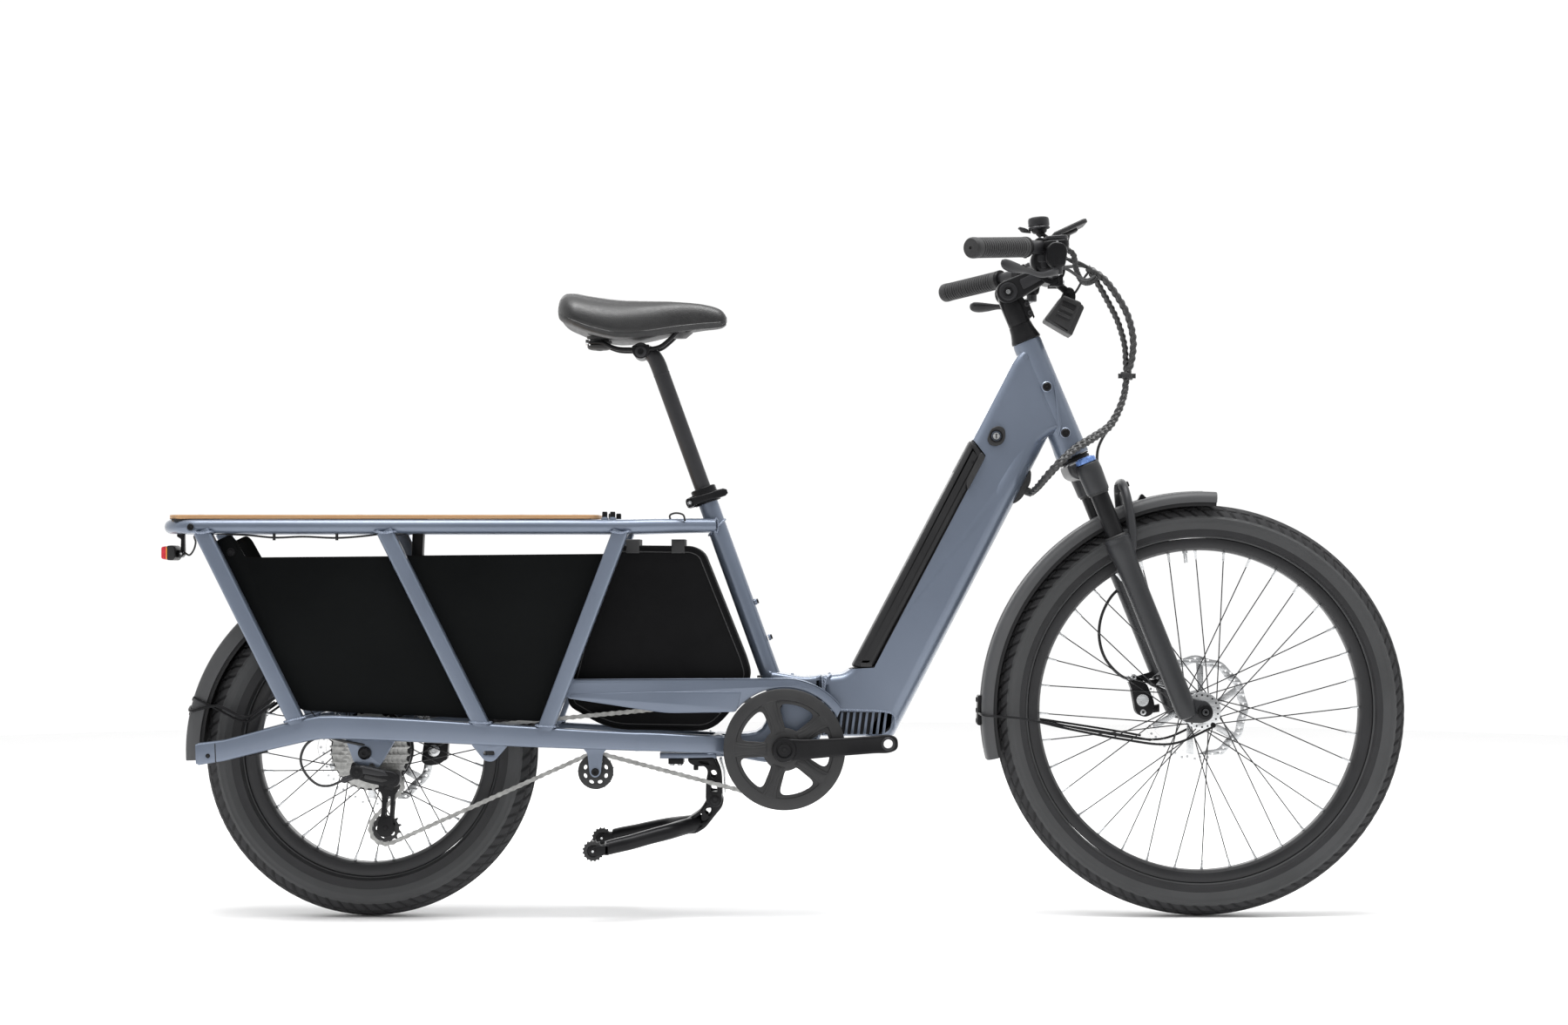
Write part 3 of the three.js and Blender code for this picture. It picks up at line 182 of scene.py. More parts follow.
def plywood_finish():
    """Birch plywood: glued plies on the cut edge, long grain on the faces, a clear coat."""
    made, tree, shader, place = nodes_of("plywood")
    axes = tree.nodes.new("ShaderNodeSeparateXYZ")
    tree.links.new(place, axes.inputs["Vector"])
    plies = tree.nodes.new("ShaderNodeMath")
    plies.operation = "PINGPONG"
    plies.inputs[1].default_value = 0.0014
    tree.links.new(axes.outputs["Z"], plies.inputs[0])
    wobble = noise(tree, place, 30.0, 4.0, (1.0, 1.0, 6.0))
    edge = blend_colours(tree, spread(tree, plies.outputs[0], 0.0, 1.0, 0.0003, 0.0011),
                         (0.30, 0.155, 0.065), (0.62, 0.40, 0.21))
    patches = blend_colours(tree, spread(tree, wobble, 0.0, 0.6), edge, (0.47, 0.25, 0.11))
    grain = noise(tree, place, 22.0, 6.0, (1.0, 14.0, 1.0))
    face = blend_colours(tree, spread(tree, grain, 0.0, 1.0, 0.35, 0.65), (0.50, 0.31, 0.15),
                         (0.68, 0.47, 0.27))
    normal = tree.nodes.new("ShaderNodeNewGeometry")
    facing = tree.nodes.new("ShaderNodeSeparateXYZ")
    tree.links.new(normal.outputs["Normal"], facing.inputs["Vector"])
    upward = tree.nodes.new("ShaderNodeMath")
    upward.operation = "ABSOLUTE"
    tree.links.new(facing.outputs["Z"], upward.inputs[0])
    whole = blend_colours(tree, spread(tree, upward.outputs[0], 0.0, 1.0, 0.7, 0.9), patches, face)
    tree.links.new(whole, shader.inputs["Base Color"])
    tree.links.new(spread(tree, grain, 0.42, 0.55), shader.inputs["Roughness"])
    shader.inputs["Coat Weight"].default_value = 0.25
    bumped(tree, shader, grain, 0.0002)
    return made


def woven_finish(name, dark, light, pitch, rough, depth, sheen):
    """Tight cloth: over and under threads along two directions."""
    made, tree, shader, place = nodes_of(name)
    threads = []
    for turn in ((1.0, 0.0, 0.0), (0.0, 0.0, 1.0)):
        wave = tree.nodes.new("ShaderNodeTexWave")
        wave.bands_direction = "X"
        wave.inputs["Scale"].default_value = 1.0 / pitch / 3.2
        wave.inputs["Distortion"].default_value = 0.3
        node = tree.nodes.new("ShaderNodeMapping")
        node.inputs["Rotation"].default_value = (0.0, math.pi / 2 * turn[2], 0.0)
        tree.links.new(place, node.inputs["Vector"])
        tree.links.new(node.outputs["Vector"], wave.inputs["Vector"])
        threads.append(wave.outputs["Fac"])
    weave = tree.nodes.new("ShaderNodeMath")
    weave.operation = "MULTIPLY"
    tree.links.new(threads[0], weave.inputs[0])
    tree.links.new(threads[1], weave.inputs[1])
    folds = noise(tree, place, 14.0, 3.0)
    colour = blend_colours(tree, weave.outputs[0], dark, light)
    worn = blend_colours(tree, spread(tree, folds, 0.0, 0.5), colour, light)
    tree.links.new(worn, shader.inputs["Base Color"])
    tree.links.new(spread(tree, folds, rough - 0.05, rough + 0.08), shader.inputs["Roughness"])
    shader.inputs["Sheen Weight"].default_value = sheen
    shader.inputs["Specular IOR Level"].default_value = 0.05
    bumped(tree, shader, weave.outputs[0], depth, 0.6)
    return made


def pebbled_finish(name, dark, light, pitch, rough, depth):
    """Grained leatherette: rounded pebbles with fine creases between them, the creases darkened as painted
    shade.
    """
    made, tree, shader, place = nodes_of(name)
    cells = tree.nodes.new("ShaderNodeTexVoronoi")
    cells.inputs["Scale"].default_value = 1.0 / pitch
    warp = noise(tree, place, 160.0, 2.0)
    tree.links.new(place, cells.inputs["Vector"])
    broad = noise(tree, place, 25.0, 3.0)
    # Darker towards the cell edges: painted shade in the creases between pebbles.
    crease_shaded = blend_colours(tree, spread(tree, cells.outputs["Distance"], 0.0, 1.0, 0.1, 0.7), light, dark)
    worn = blend_colours(tree, spread(tree, broad, 0.0, 0.5), crease_shaded, light)
    tree.links.new(worn, shader.inputs["Base Color"])
    tree.links.new(spread(tree, warp, rough - 0.06, rough + 0.08), shader.inputs["Roughness"])
    shader.inputs["Coat Weight"].default_value = 0.12
    shader.inputs["Coat Roughness"].default_value = 0.35
    bumped(tree, shader, cells.outputs["Distance"], -depth, 0.7)
    return made


PAINT = finish("frame_paint", (0.112, 0.138, 0.188), (0.158, 0.190, 0.250), 0.36, 0.55, patch=3.0,
               grain=2600.0, depth=0.00001, coat=0.55, coat_rough=0.16, detail=1.0)
# Weld beads and head-tube bosses: the frame paint made lighter, a painted highlight on the bright seams.
WELD_HIGHLIGHT = finish("frame_weld_painted_highlight", (0.15, 0.18, 0.24), (0.25, 0.29, 0.37), 0.40, 0.55, patch=160.0,
              grain=1800.0, depth=0.00004, coat=0.4, coat_rough=0.2)
FORK = finish("fork_paint", (0.022, 0.023, 0.025), (0.034, 0.035, 0.038), 0.40, 0.25, patch=4.0,
              grain=1800.0, depth=0.00002, coat=0.06, coat_rough=0.3, spec=0.4)
ALLOY = finish("black_alloy", (0.006, 0.006, 0.007), (0.014, 0.014, 0.015), 0.36, 0.35, patch=14.0,
               grain=1600.0, depth=0.00002, coat=0.04, coat_rough=0.25, spec=0.2)
SATIN = finish("dark_alloy", (0.020, 0.020, 0.022), (0.034, 0.034, 0.037), 0.38, 0.4, patch=10.0,
               grain=1500.0, depth=0.00002)
STEEL = finish("steel", (0.40, 0.41, 0.42), (0.66, 0.67, 0.68), 0.27, 1.0, patch=60.0,
               grain=420.0, depth=0.00002, stretch=(1.0, 1.0, 6.0))
CHAIN = finish("chain_steel", (0.20, 0.20, 0.195), (0.40, 0.40, 0.39), 0.34, 1.0, patch=120.0,
               grain=900.0, depth=0.00002)
PLASTIC = finish("black_plastic", (0.010, 0.010, 0.011), (0.020, 0.020, 0.021), 0.52, patch=30.0,
                 grain=1500.0, depth=0.00005)
COVER = finish("battery_cover", (0.009, 0.009, 0.010), (0.017, 0.017, 0.018), 0.46, patch=8.0,
               grain=1900.0, depth=0.00004, spec=0.3)
PANEL = finish("panel", (0.0032, 0.0036, 0.0038), (0.0062, 0.0068, 0.0070), 0.46, patch=5.0,
               grain=1300.0, depth=0.00003, spec=0.04)
FENDER = finish("fender_plastic", (0.042, 0.043, 0.045), (0.062, 0.063, 0.066), 0.55, patch=6.0,
                grain=1400.0, depth=0.00005)
RUBBER = finish("rubber", (0.014, 0.014, 0.015), (0.028, 0.028, 0.029), 0.74, patch=40.0,
                grain=1200.0, depth=0.00006, sheen=0.1)
GRIP = finish("grip_rubber", (0.006, 0.006, 0.007), (0.014, 0.014, 0.015), 0.68, patch=30.0,
              grain=1500.0, depth=0.00006, sheen=0.15)
TYRE = finish("tyre", (0.028, 0.029, 0.030), (0.046, 0.047, 0.049), 0.66, patch=9.0,
              grain=1000.0, depth=0.00008, sheen=0.1)
TREAD = finish("tyre_tread", (0.012, 0.012, 0.013), (0.024, 0.024, 0.026), 0.8, patch=30.0,
               grain=900.0, depth=0.0001)
RIM = finish("rim_alloy", (0.010, 0.010, 0.011), (0.018, 0.018, 0.020), 0.42, 0.25, patch=12.0,
             grain=1300.0, depth=0.00001, coat=0.05, coat_rough=0.2)
SPOKE = finish("spoke_steel", (0.020, 0.020, 0.021), (0.040, 0.040, 0.042), 0.35, 0.6, patch=40.0,
               grain=900.0)
BLUE = finish("blue_cap", (0.10, 0.20, 0.50), (0.20, 0.34, 0.72), 0.30, 0.6, patch=60.0,
              grain=900.0, coat=0.3)
RED = finish("red_lens", (0.42, 0.008, 0.015), (0.70, 0.03, 0.05), 0.16, patch=90.0,
             grain=500.0, coat=0.6, coat_rough=0.05)
AMBER = finish("amber_lens", (0.75, 0.22, 0.02), (0.95, 0.42, 0.08), 0.2, patch=90.0, grain=500.0, coat=0.5)
GLASS = finish("display_glass", (0.004, 0.004, 0.005), (0.009, 0.009, 0.011), 0.10, patch=20.0,
               grain=600.0, coat=0.8, coat_rough=0.03)
LENS = finish("lamp_lens", (0.55, 0.57, 0.60), (0.80, 0.82, 0.85), 0.12, patch=50.0, grain=300.0,
              depth=0.0002, coat=0.7, coat_rough=0.04)
SLEEVE = finish("cable_sleeve", (0.005, 0.005, 0.005), (0.034, 0.034, 0.035), 0.40, patch=420.0,
                grain=1100.0, depth=0.00012, spec=0.7)
# Near-black finish: painted shade in bolt sockets, slits, holes, tyre grooves, cut recesses and the gap
# inside the fenders; also the own colour of a few black cables, ties, pads and bands.
SHADE_AND_BLACK = finish("painted_shade_and_black", (0.004, 0.004, 0.005), (0.009, 0.009, 0.010), 0.7, patch=30.0, grain=700.0)
WHITE = finish("pale_print", (0.50, 0.51, 0.52), (0.70, 0.71, 0.72), 0.5, patch=60.0, grain=900.0)
WOOD = plywood_finish()
CLOTH = woven_finish("bag", (0.0035, 0.0035, 0.004), (0.0095, 0.0095, 0.010), 0.0011, 0.62, 0.0002, 0.03)
HIDE = pebbled_finish("leatherette", (0.0045, 0.0045, 0.005), (0.013, 0.013, 0.0135), 0.0016, 0.42, 0.00022)
BASE = pebbled_finish("saddle_base", (0.004, 0.004, 0.0045), (0.010, 0.010, 0.011), 0.0011, 0.5, 0.00015)
FLOOR = finish("floor", (0.94, 0.94, 0.94), (0.97, 0.97, 0.97), 0.7, patch=0.6, grain=8.0, spec=0.2)


# ---------- shapes, in millimetres ----------
def smooth_path(points, per=6, closed=False):
    """Points along a soft curve through the given ones; extra numbers such as a radius go along."""
    points = [tuple(map(float, p)) for p in points]
    count = len(points)
    made = []
    last = count if closed else count - 1
    for i in range(last):
        ends = []
        for k in (-1, 0, 1, 2):
            j = i + k
            if closed:
                ends.append(points[j % count])
            elif j < 0:
                ends.append(tuple(2 * a - b for a, b in zip(points[0], points[1])))
            elif j >= count:
                ends.append(tuple(2 * a - b for a, b in zip(points[-1], points[-2])))
            else:
                ends.append(points[j])
        times = [0.0]
        for one, two in zip(ends, ends[1:]):
            times.append(times[-1] + max(math.sqrt(math.dist(one[:3], two[:3])), 1e-4))
        for step in range(per):
            t = times[1] + (times[2] - times[1]) * step / per
            row = list(ends)
            for level in (1, 2, 3):
                for k in range(4 - level):
                    low, high = times[k], times[k + level]
                    if level == 3:
                        low, high = times[1], times[2]
                    elif level == 2:
                        low, high = times[k], times[k + 2]
                    share = (t - low) / (high - low)
                    row[k] = tuple(a + (b - a) * share for a, b in zip(row[k], row[k + 1]))
            made.append(row[0])
    if not closed:
        made.append(points[-1])
    return made


def fillet(outline, radius, steps=4):
    """The outline with each corner rounded; radius is one number or one for each corner."""
    made = []
    count = len(outline)
    for i, here in enumerate(outline):
        size = radius[i] if isinstance(radius, (list, tuple)) else radius
        before, after = Vector(outline[i - 1]), Vector(outline[(i + 1) % count])
        corner = Vector(here)
        back, on = before - corner, after - corner
        reach = min(size, back.length * 0.48, on.length * 0.48)
        if reach < 0.05:
            made.append(tuple(corner))
            continue
        start, end = corner + back.normalized() * reach, corner + on.normalized() * reach
        for k in range(steps + 1):
            t = k / steps
            made.append(tuple(start * (1 - t) ** 2 + corner * 2 * t * (1 - t) + end * t * t))
    return made


def ring(x, z, radius, count=24, start=0.0, turn=360.0, squash=1.0):
    full = abs(turn) >= 360.0
    return [(x + radius * math.cos(math.radians(start + turn * i / (count if full else count - 1))),
             z + squash * radius * math.sin(math.radians(start + turn * i / (count if full else count - 1))))
            for i in range(count)]


def toothed(x, z, root, tip, teeth, start=0.0):
    """A sprocket's outline."""
    made = []
    for i in range(teeth):
        for share, radius in ((0.0, root), (0.22, root), (0.40, tip), (0.55, tip), (0.74, root)):
            angle = math.radians(start + 360.0 * (i + share) / teeth)
            made.append((x + radius * math.cos(angle), z + radius * math.sin(angle)))
    return made


def rounded_section(half_a, half_b, corner, steps=4):
    made = []
    for sign_a, sign_b, start in ((1, 1, 0), (-1, 1, 90), (-1, -1, 180), (1, -1, 270)):
        for k in range(steps + 1):
            angle = math.radians(start + 90.0 * k / steps)
            made.append((sign_a * (half_a - corner) + corner * math.cos(angle),
                         sign_b * (half_b - corner) + corner * math.sin(angle)))
    return made


class Piece:
    """One visible piece: points in millimetres, faces, and the finish of each face."""

    def __init__(self, name, body, *finishes):
        self.name = name
        self.body = body
        self.finishes = finishes
        self.points = []
        self.faces = []
        self.marks = []
        self.at = Matrix.Identity(4)

    def add(self, points, faces, mark=0):
        base = len(self.points)
        self.points += [tuple(self.at @ Vector(p)) for p in points]
        self.faces += [tuple(base + i for i in f) for f in faces]
        self.marks += [mark] * len(faces)

    def grid(self, loops, mark=0, closed=True, caps=True, round_trip=False):
        """A skin over loops that each have the same number of points."""
        count = len(loops[0])
        points = [p for loop in loops for p in loop]
        faces = []
        rows = len(loops) if round_trip else len(loops) - 1
        for s in range(rows):
            one, two = s * count, ((s + 1) % len(loops)) * count
            for i in range(count if closed else count - 1):
                j = (i + 1) % count
                faces.append((one + i, one + j, two + j, two + i))
        if caps and closed and not round_trip:
            faces.append(tuple(reversed(range(count))))
            faces.append(tuple(range((len(loops) - 1) * count, len(loops) * count)))
        self.add(points, faces, mark)

    def turned(self, profile, origin, axis=(0, 1, 0), count=40, mark=0, closed=False, start=0.0,
               turn=360.0):
        """A turned form: the profile is (radius, height along the axis)."""
        axis = Vector(axis).normalized()
        side = Vector((1, 0, 0) if abs(axis.x) < 0.9 else (0, 0, 1))
        side = (side - axis * axis.dot(side)).normalized()
        across = side.cross(axis)
        origin = Vector(origin)
        full = abs(turn) >= 360.0
        loops = []
        for k in range(count if full else count + 1):
            angle = math.radians(start + turn * k / count)
            way = side * math.cos(angle) + across * math.sin(angle)
            loops.append([origin + axis * h + way * r for r, h in profile])
        self.grid(loops, mark, closed=closed, caps=not full, round_trip=full)

    def tube(self, path, radius=None, count=14, per=6, mark=0, closed=False, flat=1.0, soft=True,
             up=None):
        """A round bar along a path; without a radius each path point carries its own."""
        rows = smooth_path(path, per, closed) if soft else [tuple(map(float, p)) for p in path]
        centres = [Vector(r[:3]) for r in rows]
        total = len(centres)
        loops = []
        lift = None
        for i, centre in enumerate(centres):
            before = centres[(i - 1) % total] if closed or i else centres[0]
            after = centres[(i + 1) % total] if closed or i + 1 < total else centres[-1]
            along = (after - before).normalized()
            if lift is None:
                guess = Vector(up) if up else Vector((0, 1, 0))
                if abs(guess.dot(along)) > 0.95:
                    guess = Vector((0, 0, 1))
                lift = guess
            if up:
                lift = Vector(up)
            lift = (lift - along * along.dot(lift)).normalized()
            across = along.cross(lift)
            size = rows[i][3] if radius is None else radius
            loops.append([centre + (lift * math.cos(a) * flat + across * math.sin(a)) * size
                          for a in (math.tau * k / count for k in range(count))])
        self.grid(loops, mark, round_trip=closed)

    def spar(self, stations, mark=0, steps=4):
        """A box tube seen from the side: two edge points, half width, corner and middle for each station."""
        loops = []
        for station in stations:
            ax, az, bx, bz, half, corner = station[:6]
            middle = station[6] if len(station) > 6 else 0.0
            one, two = Vector((ax, middle, az)), Vector((bx, middle, bz))
            centre, reach = (one + two) / 2, (one - two) / 2
            corner = min(corner, reach.length * 0.98, half * 0.98)
            up = reach.normalized()
            loops.append([centre + Vector((0, 1, 0)) * a + up * b
                          for a, b in rounded_section(half, reach.length, corner, steps)])
        self.grid(loops, mark)

    def beam(self, start, end, wide, deep, corner=5.0):
        """A straight tube with a rounded square section; wide is across the bicycle."""
        start, end = Vector(start), Vector(end)
        along = (end - start).normalized()
        side = Vector((0, 1, 0))
        side = (side - along * along.dot(side)).normalized()
        lift = along.cross(side)
        section = rounded_section(wide / 2, deep / 2, corner)
        self.grid([[c + side * a + lift * b for a, b in section] for c in (start, end)])

    def slab(self, outline, y0, y1, edge=0.6, holes=(), mark=0, steps=2, pose=None):
        """A flat piece with its outline seen from the side and softened edges."""
        curve = bpy.data.curves.new("outline", "CURVE")
        curve.dimensions = "2D"
        curve.fill_mode = "BOTH"
        edge = min(edge, (y1 - y0) * 0.49)
        curve.extrude = (y1 - y0) / 2 - edge
        curve.bevel_depth = edge
        curve.bevel_resolution = steps
        curve.offset = -edge
        for number, loop in enumerate((outline, *holes)):
            area = sum(a[0] * b[1] - b[0] * a[1] for a, b in zip(loop, list(loop[1:]) + [loop[0]]))
            ordered = list(loop) if (area > 0) == (number == 0) else list(reversed(loop))
            spline = curve.splines.new("POLY")
            spline.points.add(len(ordered) - 1)
            for point, (x, z) in zip(spline.points, ordered):
                point.co = (x, z, 0.0, 1.0)
            spline.use_cyclic_u = True
        holder = bpy.data.objects.new("outline", curve)
        made = bpy.data.meshes.new_from_object(holder)
        middle = (y0 + y1) / 2
        points = [(v.co.x, middle - v.co.z, v.co.y) for v in made.vertices]
        if pose is not None:
            points = [pose @ Vector(p) for p in points]
        self.add(points, [tuple(p.vertices) for p in made.polygons], mark)
        bpy.data.meshes.remove(made)
        bpy.data.objects.remove(holder)
        bpy.data.curves.remove(curve)

    def block(self, x0, x1, y0, y1, z0, z1, edge=1.0, mark=0):
        self.slab([(x0, z0), (x1, z0), (x1, z1), (x0, z1)], y0, y1, edge, mark=mark)

    def bolt(self, origin, axis=(0, -1, 0), radius=6.0, high=4.0, mark=0, hollow=1, key=0.5):
        """A round head with a hexagon socket, whose finish is mostly the near-black painted shade."""
        axis = Vector(axis).normalized()
        side = axis.orthogonal().normalized()
        across = axis.cross(side)
        origin = Vector(origin)
        loops = []
        for share, height, hexagon in ((1.0, 0.0, 0), (1.0, 0.75, 0), (0.86, 1.0, 0), (key, 1.0, 1),
                                       (key, 0.35, 1)):
            loop = []
            for k in range(24):
                angle = math.tau * k / 24
                fold = (angle % (math.pi / 3)) - math.pi / 6
                reach = radius * share * (math.cos(math.pi / 6) / math.cos(fold) if hexagon else 1.0)
                loop.append(origin + axis * high * height
                            + (side * math.cos(angle) + across * math.sin(angle)) * reach)
            loops.append(loop)
        self.grid(loops[:4], mark, caps=False)
        self.grid(loops[3:], hollow, caps=False)
        self.add(loops[-1], [tuple(range(24))], hollow)
        self.add(loops[0], [tuple(range(24))], mark)

    def bead(self, path, radius=2.0, pitch=4.5, closed=True, mark=0):
        """A weld seam: a low rope of overlapping ripples."""
        rows = [Vector(p[:3]) for p in smooth_path(path, 10, closed)]
        if closed:
            rows.append(rows[0])
        length = sum((b - a).length for a, b in zip(rows, rows[1:]))
        count = max(8, int(length / pitch) * 4)
        made, run, k = [], 0.0, 0
        lengths = [0.0]
        for one, two in zip(rows, rows[1:]):
            lengths.append(lengths[-1] + (two - one).length)
        for i in range(count if closed else count + 1):
            run = length * i / count
            while k + 2 < len(lengths) and lengths[k + 1] < run:
                k += 1
            share = (run - lengths[k]) / max(lengths[k + 1] - lengths[k], 1e-6)
            centre = rows[k].lerp(rows[k + 1], share)
            made.append((*centre, radius * (0.78 + 0.30 * (i % 4 in (1, 2)))))
        self.tube(made, count=8, mark=mark, closed=closed, soft=False)

    def helix_cord(self, path, radius, ridge=0.5, lead=8.0, starts=3, count=18, mark=0):
        """A sleeved cord with a spiral wrap standing proud."""
        rows = [Vector(p[:3]) for p in smooth_path(path, 10)]
        dense = []
        for one, two in zip(rows, rows[1:]):
            steps = max(1, int((two - one).length / 1.1))
            dense += [one.lerp(two, s / steps) for s in range(steps)]
        dense.append(rows[-1])
        loops, lift, run = [], Vector((0, 1, 0)), 0.0
        for i, centre in enumerate(dense):
            along = (dense[min(i + 1, len(dense) - 1)] - dense[max(i - 1, 0)]).normalized()
            lift = (lift - along * along.dot(lift)).normalized()
            across = along.cross(lift)
            if i:
                run += (centre - dense[i - 1]).length
            loop = []
            for k in range(count):
                angle = math.tau * k / count
                wrap = max(0.0, math.cos(starts * angle - math.tau * run / lead))
                way = lift * math.cos(angle) + across * math.sin(angle)
                loop.append(centre + way * (radius + ridge * wrap))
            loops.append(loop)
        self.grid(loops, mark)

    def done(self, *stands_for, slot=None, sharp=32.0, bevel=0.0, divide=0, carve=None, ride=True):
        mesh = bpy.data.meshes.new(self.name)
        mesh.from_pydata([Vector(p) * MM for p in self.points], [], self.faces)
        for made in self.finishes:
            mesh.materials.append(made)
        mesh.polygons.foreach_set("material_index", self.marks)
        tidy = bmesh.new()
        tidy.from_mesh(mesh)
        bmesh.ops.remove_doubles(tidy, verts=tidy.verts, dist=SAME_POINT)
        bmesh.ops.dissolve_degenerate(tidy, edges=tidy.edges, dist=NO_LENGTH)
        bmesh.ops.recalc_face_normals(tidy, faces=tidy.faces)
        tidy.to_mesh(mesh)
        tidy.free()
        made = bpy.data.objects.new(self.name, mesh)
        scene.collection.objects.link(made)
        if carve:
            tool = carve.done(ride=False)
            cutter = made.modifiers.new("cut", "BOOLEAN")
            cutter.operation = "DIFFERENCE"
            cutter.solver = "EXACT"
            cutter.use_self = True
            cutter.object = tool
            settle(made)
            bpy.data.objects.remove(tool)
        if bevel:
            soft = made.modifiers.new("edges", "BEVEL")
            soft.width = bevel * MM
            soft.segments = 2
            soft.limit_method = "ANGLE"
            soft.angle_limit = math.radians(BEVEL_FROM_DEGREES)
            settle(made)
        if divide:
            finer = made.modifiers.new("finer", "SUBSURF")
            finer.levels = finer.render_levels = divide
            settle(made)
        made.data.polygons.foreach_set("use_smooth", [True] * len(made.data.polygons))
        made.data.set_sharp_from_angle(angle=math.radians(sharp))
        if ride:
            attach(made, self.body)
            if stands_for:
                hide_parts(*stands_for)
        return made


def settle(thing):
    """Applies the modifiers to the mesh."""
    bpy.context.view_layer.update()
    old = thing.data
    thing.data = bpy.data.meshes.new_from_object(
        thing.evaluated_get(bpy.context.evaluated_depsgraph_get()))
    thing.modifiers.clear()
    thing.data.name = thing.name
    bpy.data.meshes.remove(old)


def tilted(origin, right, up):
    """A frame with its own X and Z, seen in the bicycle's frame."""
    right, up = Vector(right).normalized(), Vector(up).normalized()
    side = up.cross(right)
    made = Matrix.Identity(4)
    for column, way in enumerate((right, side, up, Vector(origin))):
        for row in range(3):
            made[row][column] = way[row]
    return made


def turned_about_y(x, z, degrees):
    """Turns a side view about a point, counterclockwise as seen from the right-hand side."""
    there, back = Matrix.Translation((x, 0, z)), Matrix.Translation((-x, 0, -z))
    return there @ Matrix.Rotation(-math.radians(degrees), 4, "Y") @ back


HEAD = tilted((482.3, 0, 766.1), (0.928, 0, 0.3727), (-0.3727, 0, 0.928))
SEAT = tilted((-129.5, 0, 696.3), (0.9405, 0, 0.34), (-0.34, 0, 0.9405))
FRONT_AXLE = (692.7, 342.5)
REAR_AXLE = (-686.9, 276.5)
CRANK = (0.6, 281.8)
RAIL_Z = 647.7
RAIL_HALF = 75
SPOKE_COUNT = 36
SPOKE_RADIUS = 0.95
NIPPLE_RADIUS = 1.25 * SPOKE_RADIUS
BEVEL_FROM_DEGREES = 40
SAME_POINT = 1e-6
NO_LENGTH = 1e-7
FLOOR_RADIUS = 5200


def head_point(along, forward=0.0, y=0.0):
    return tuple(HEAD @ Vector((forward, y, along)))


def seat_point(along):
    return tuple(SEAT @ Vector((0, 0, along)))


# ---------- front frame ----------
def taper(piece):
    """Narrows the down tube towards the head tube."""
    for i, (x, y, z) in enumerate(piece.points):
        share = min(max((z - 690) / 170, 0), 1)
        share = share * share * (3 - 2 * share)
        piece.points[i] = (x, y * (1 - share / 3), z)


BAY_TOP, BAY_FOOT = (334.4, 766.2), (149.4, 414.4)


def bay(base, up, out):
    return (base[0] + 0.4654 * up - 0.8851 * out, base[1] + 0.8851 * up + 0.4654 * out)


down = Piece("front_frame_tube", "root", PAINT, SHADE_AND_BLACK)
down.slab(fillet([(62, 300), (155, 300), (177.6, 312.7), (382.2, 709.6), (424.2, 791), (466, 812),
                  (405, 950), (385, 929), (330, 822.8), (111.6, 413.9), (98, 404), (62, 401)],
                 [3, 14, 10, 60, 22, 10, 14, 16, 40, 4, 12, 3]), -36, 36, 15, steps=6)
taper(down)
# The cut's walls take the near-black finish: painted shade in the battery bay and behind the grille slats.
hollow = Piece("front_frame_hollow", "root", SHADE_AND_BLACK, SHADE_AND_BLACK)
hollow.slab([bay(BAY_FOOT, 0, 0), bay(BAY_TOP, 0, 0), bay(BAY_TOP, 16, 34), bay(BAY_TOP, 16, 60),
             bay(BAY_FOOT, -40, 60), bay(BAY_FOOT, -18, 30)], -50, 50, 0.1, mark=1)
hollow.slab([bay(BAY_FOOT, 30, -58), bay(BAY_TOP, -30, -58), bay(BAY_TOP, -30, 10), bay(BAY_FOOT, 30, 10)],
            -28.5, 28.5, 0.1, mark=1)
for side in (-1, 1):
    hollow.slab(fillet([(75, 304), (164, 304), (176, 312), (180, 340), (90, 342), (75, 340)], 4),
                min(side * 38, side * 30), max(side * 38, side * 30), 0.1, mark=1)
down.done("front_frame", slot="frame_paint", carve=hollow)
# The rounded front of the down tube, straight up to the head tube.
nose = Piece("front_frame_nose", "root", PAINT, SHADE_AND_BLACK)
loops = []
for k in range(26):
    front = (184.0 + 263.7 * k / 25, 301.4 + 511.3 * k / 25)
    step = (-1.1249, 0) if k == 0 else (-0.8889, 0.4585)
    loops.append([(front[0] + step[0] * depth, y, front[1] + step[1] * depth)
                  for depth, y in ((26 - 26 * math.cos(math.tau * n / 48), 35.9 * math.sin(math.tau * n / 48))
                        for n in range(48))])
nose.grid(loops)
taper(nose)
nose.done(slot="frame_paint", carve=hollow)

head = Piece("front_frame_head", "root", PAINT, SHADE_AND_BLACK, ALLOY, WELD_HIGHLIGHT)
head.turned([(14.8, -0.2), (26.4, -0.2), (27.6, 0.8), (27.8, 14), (27.0, 22), (26.2, 60), (25.0, 130),
             (24.4, 180), (24.6, 200), (23.8, 206.6), (22.6, 207), (14.8, 207)],
            head_point(0), (-0.3727, 0, 0.928), 56, closed=True)
for along in (123.3, 40.8):
    for side in (-1, 1):
        start = head_point(along, 0, side * 23.5)
        head.turned([(0, 0), (9.2, 0), (9.0, 3.2), (7.6, 4.4), (0, 4.4)], start, (0, side, 0), 28, mark=3)
        head.bolt(head_point(along, 0, side * 27.6), (0, side, 0), 6.0, 2.6, mark=2, hollow=1)
        head.turned([(6.2, 0), (7.4, 0), (7.4, 0.6), (6.2, 0.6)], head_point(along, 0, side * 27.8),
                    (0, side, 0), 28, mark=1, closed=True)
for side in (-1, 1):
    head.tube([(448, side * 25, 900, 0.6), (452, side * 25.5, 866, 1.6), (455, side * 26.4, 838, 2.4),
               (458, side * 27.2, 812, 2.4), (455, side * 23, 797, 1.2)], count=10, flat=0.7)
head.done(slot="frame_paint")

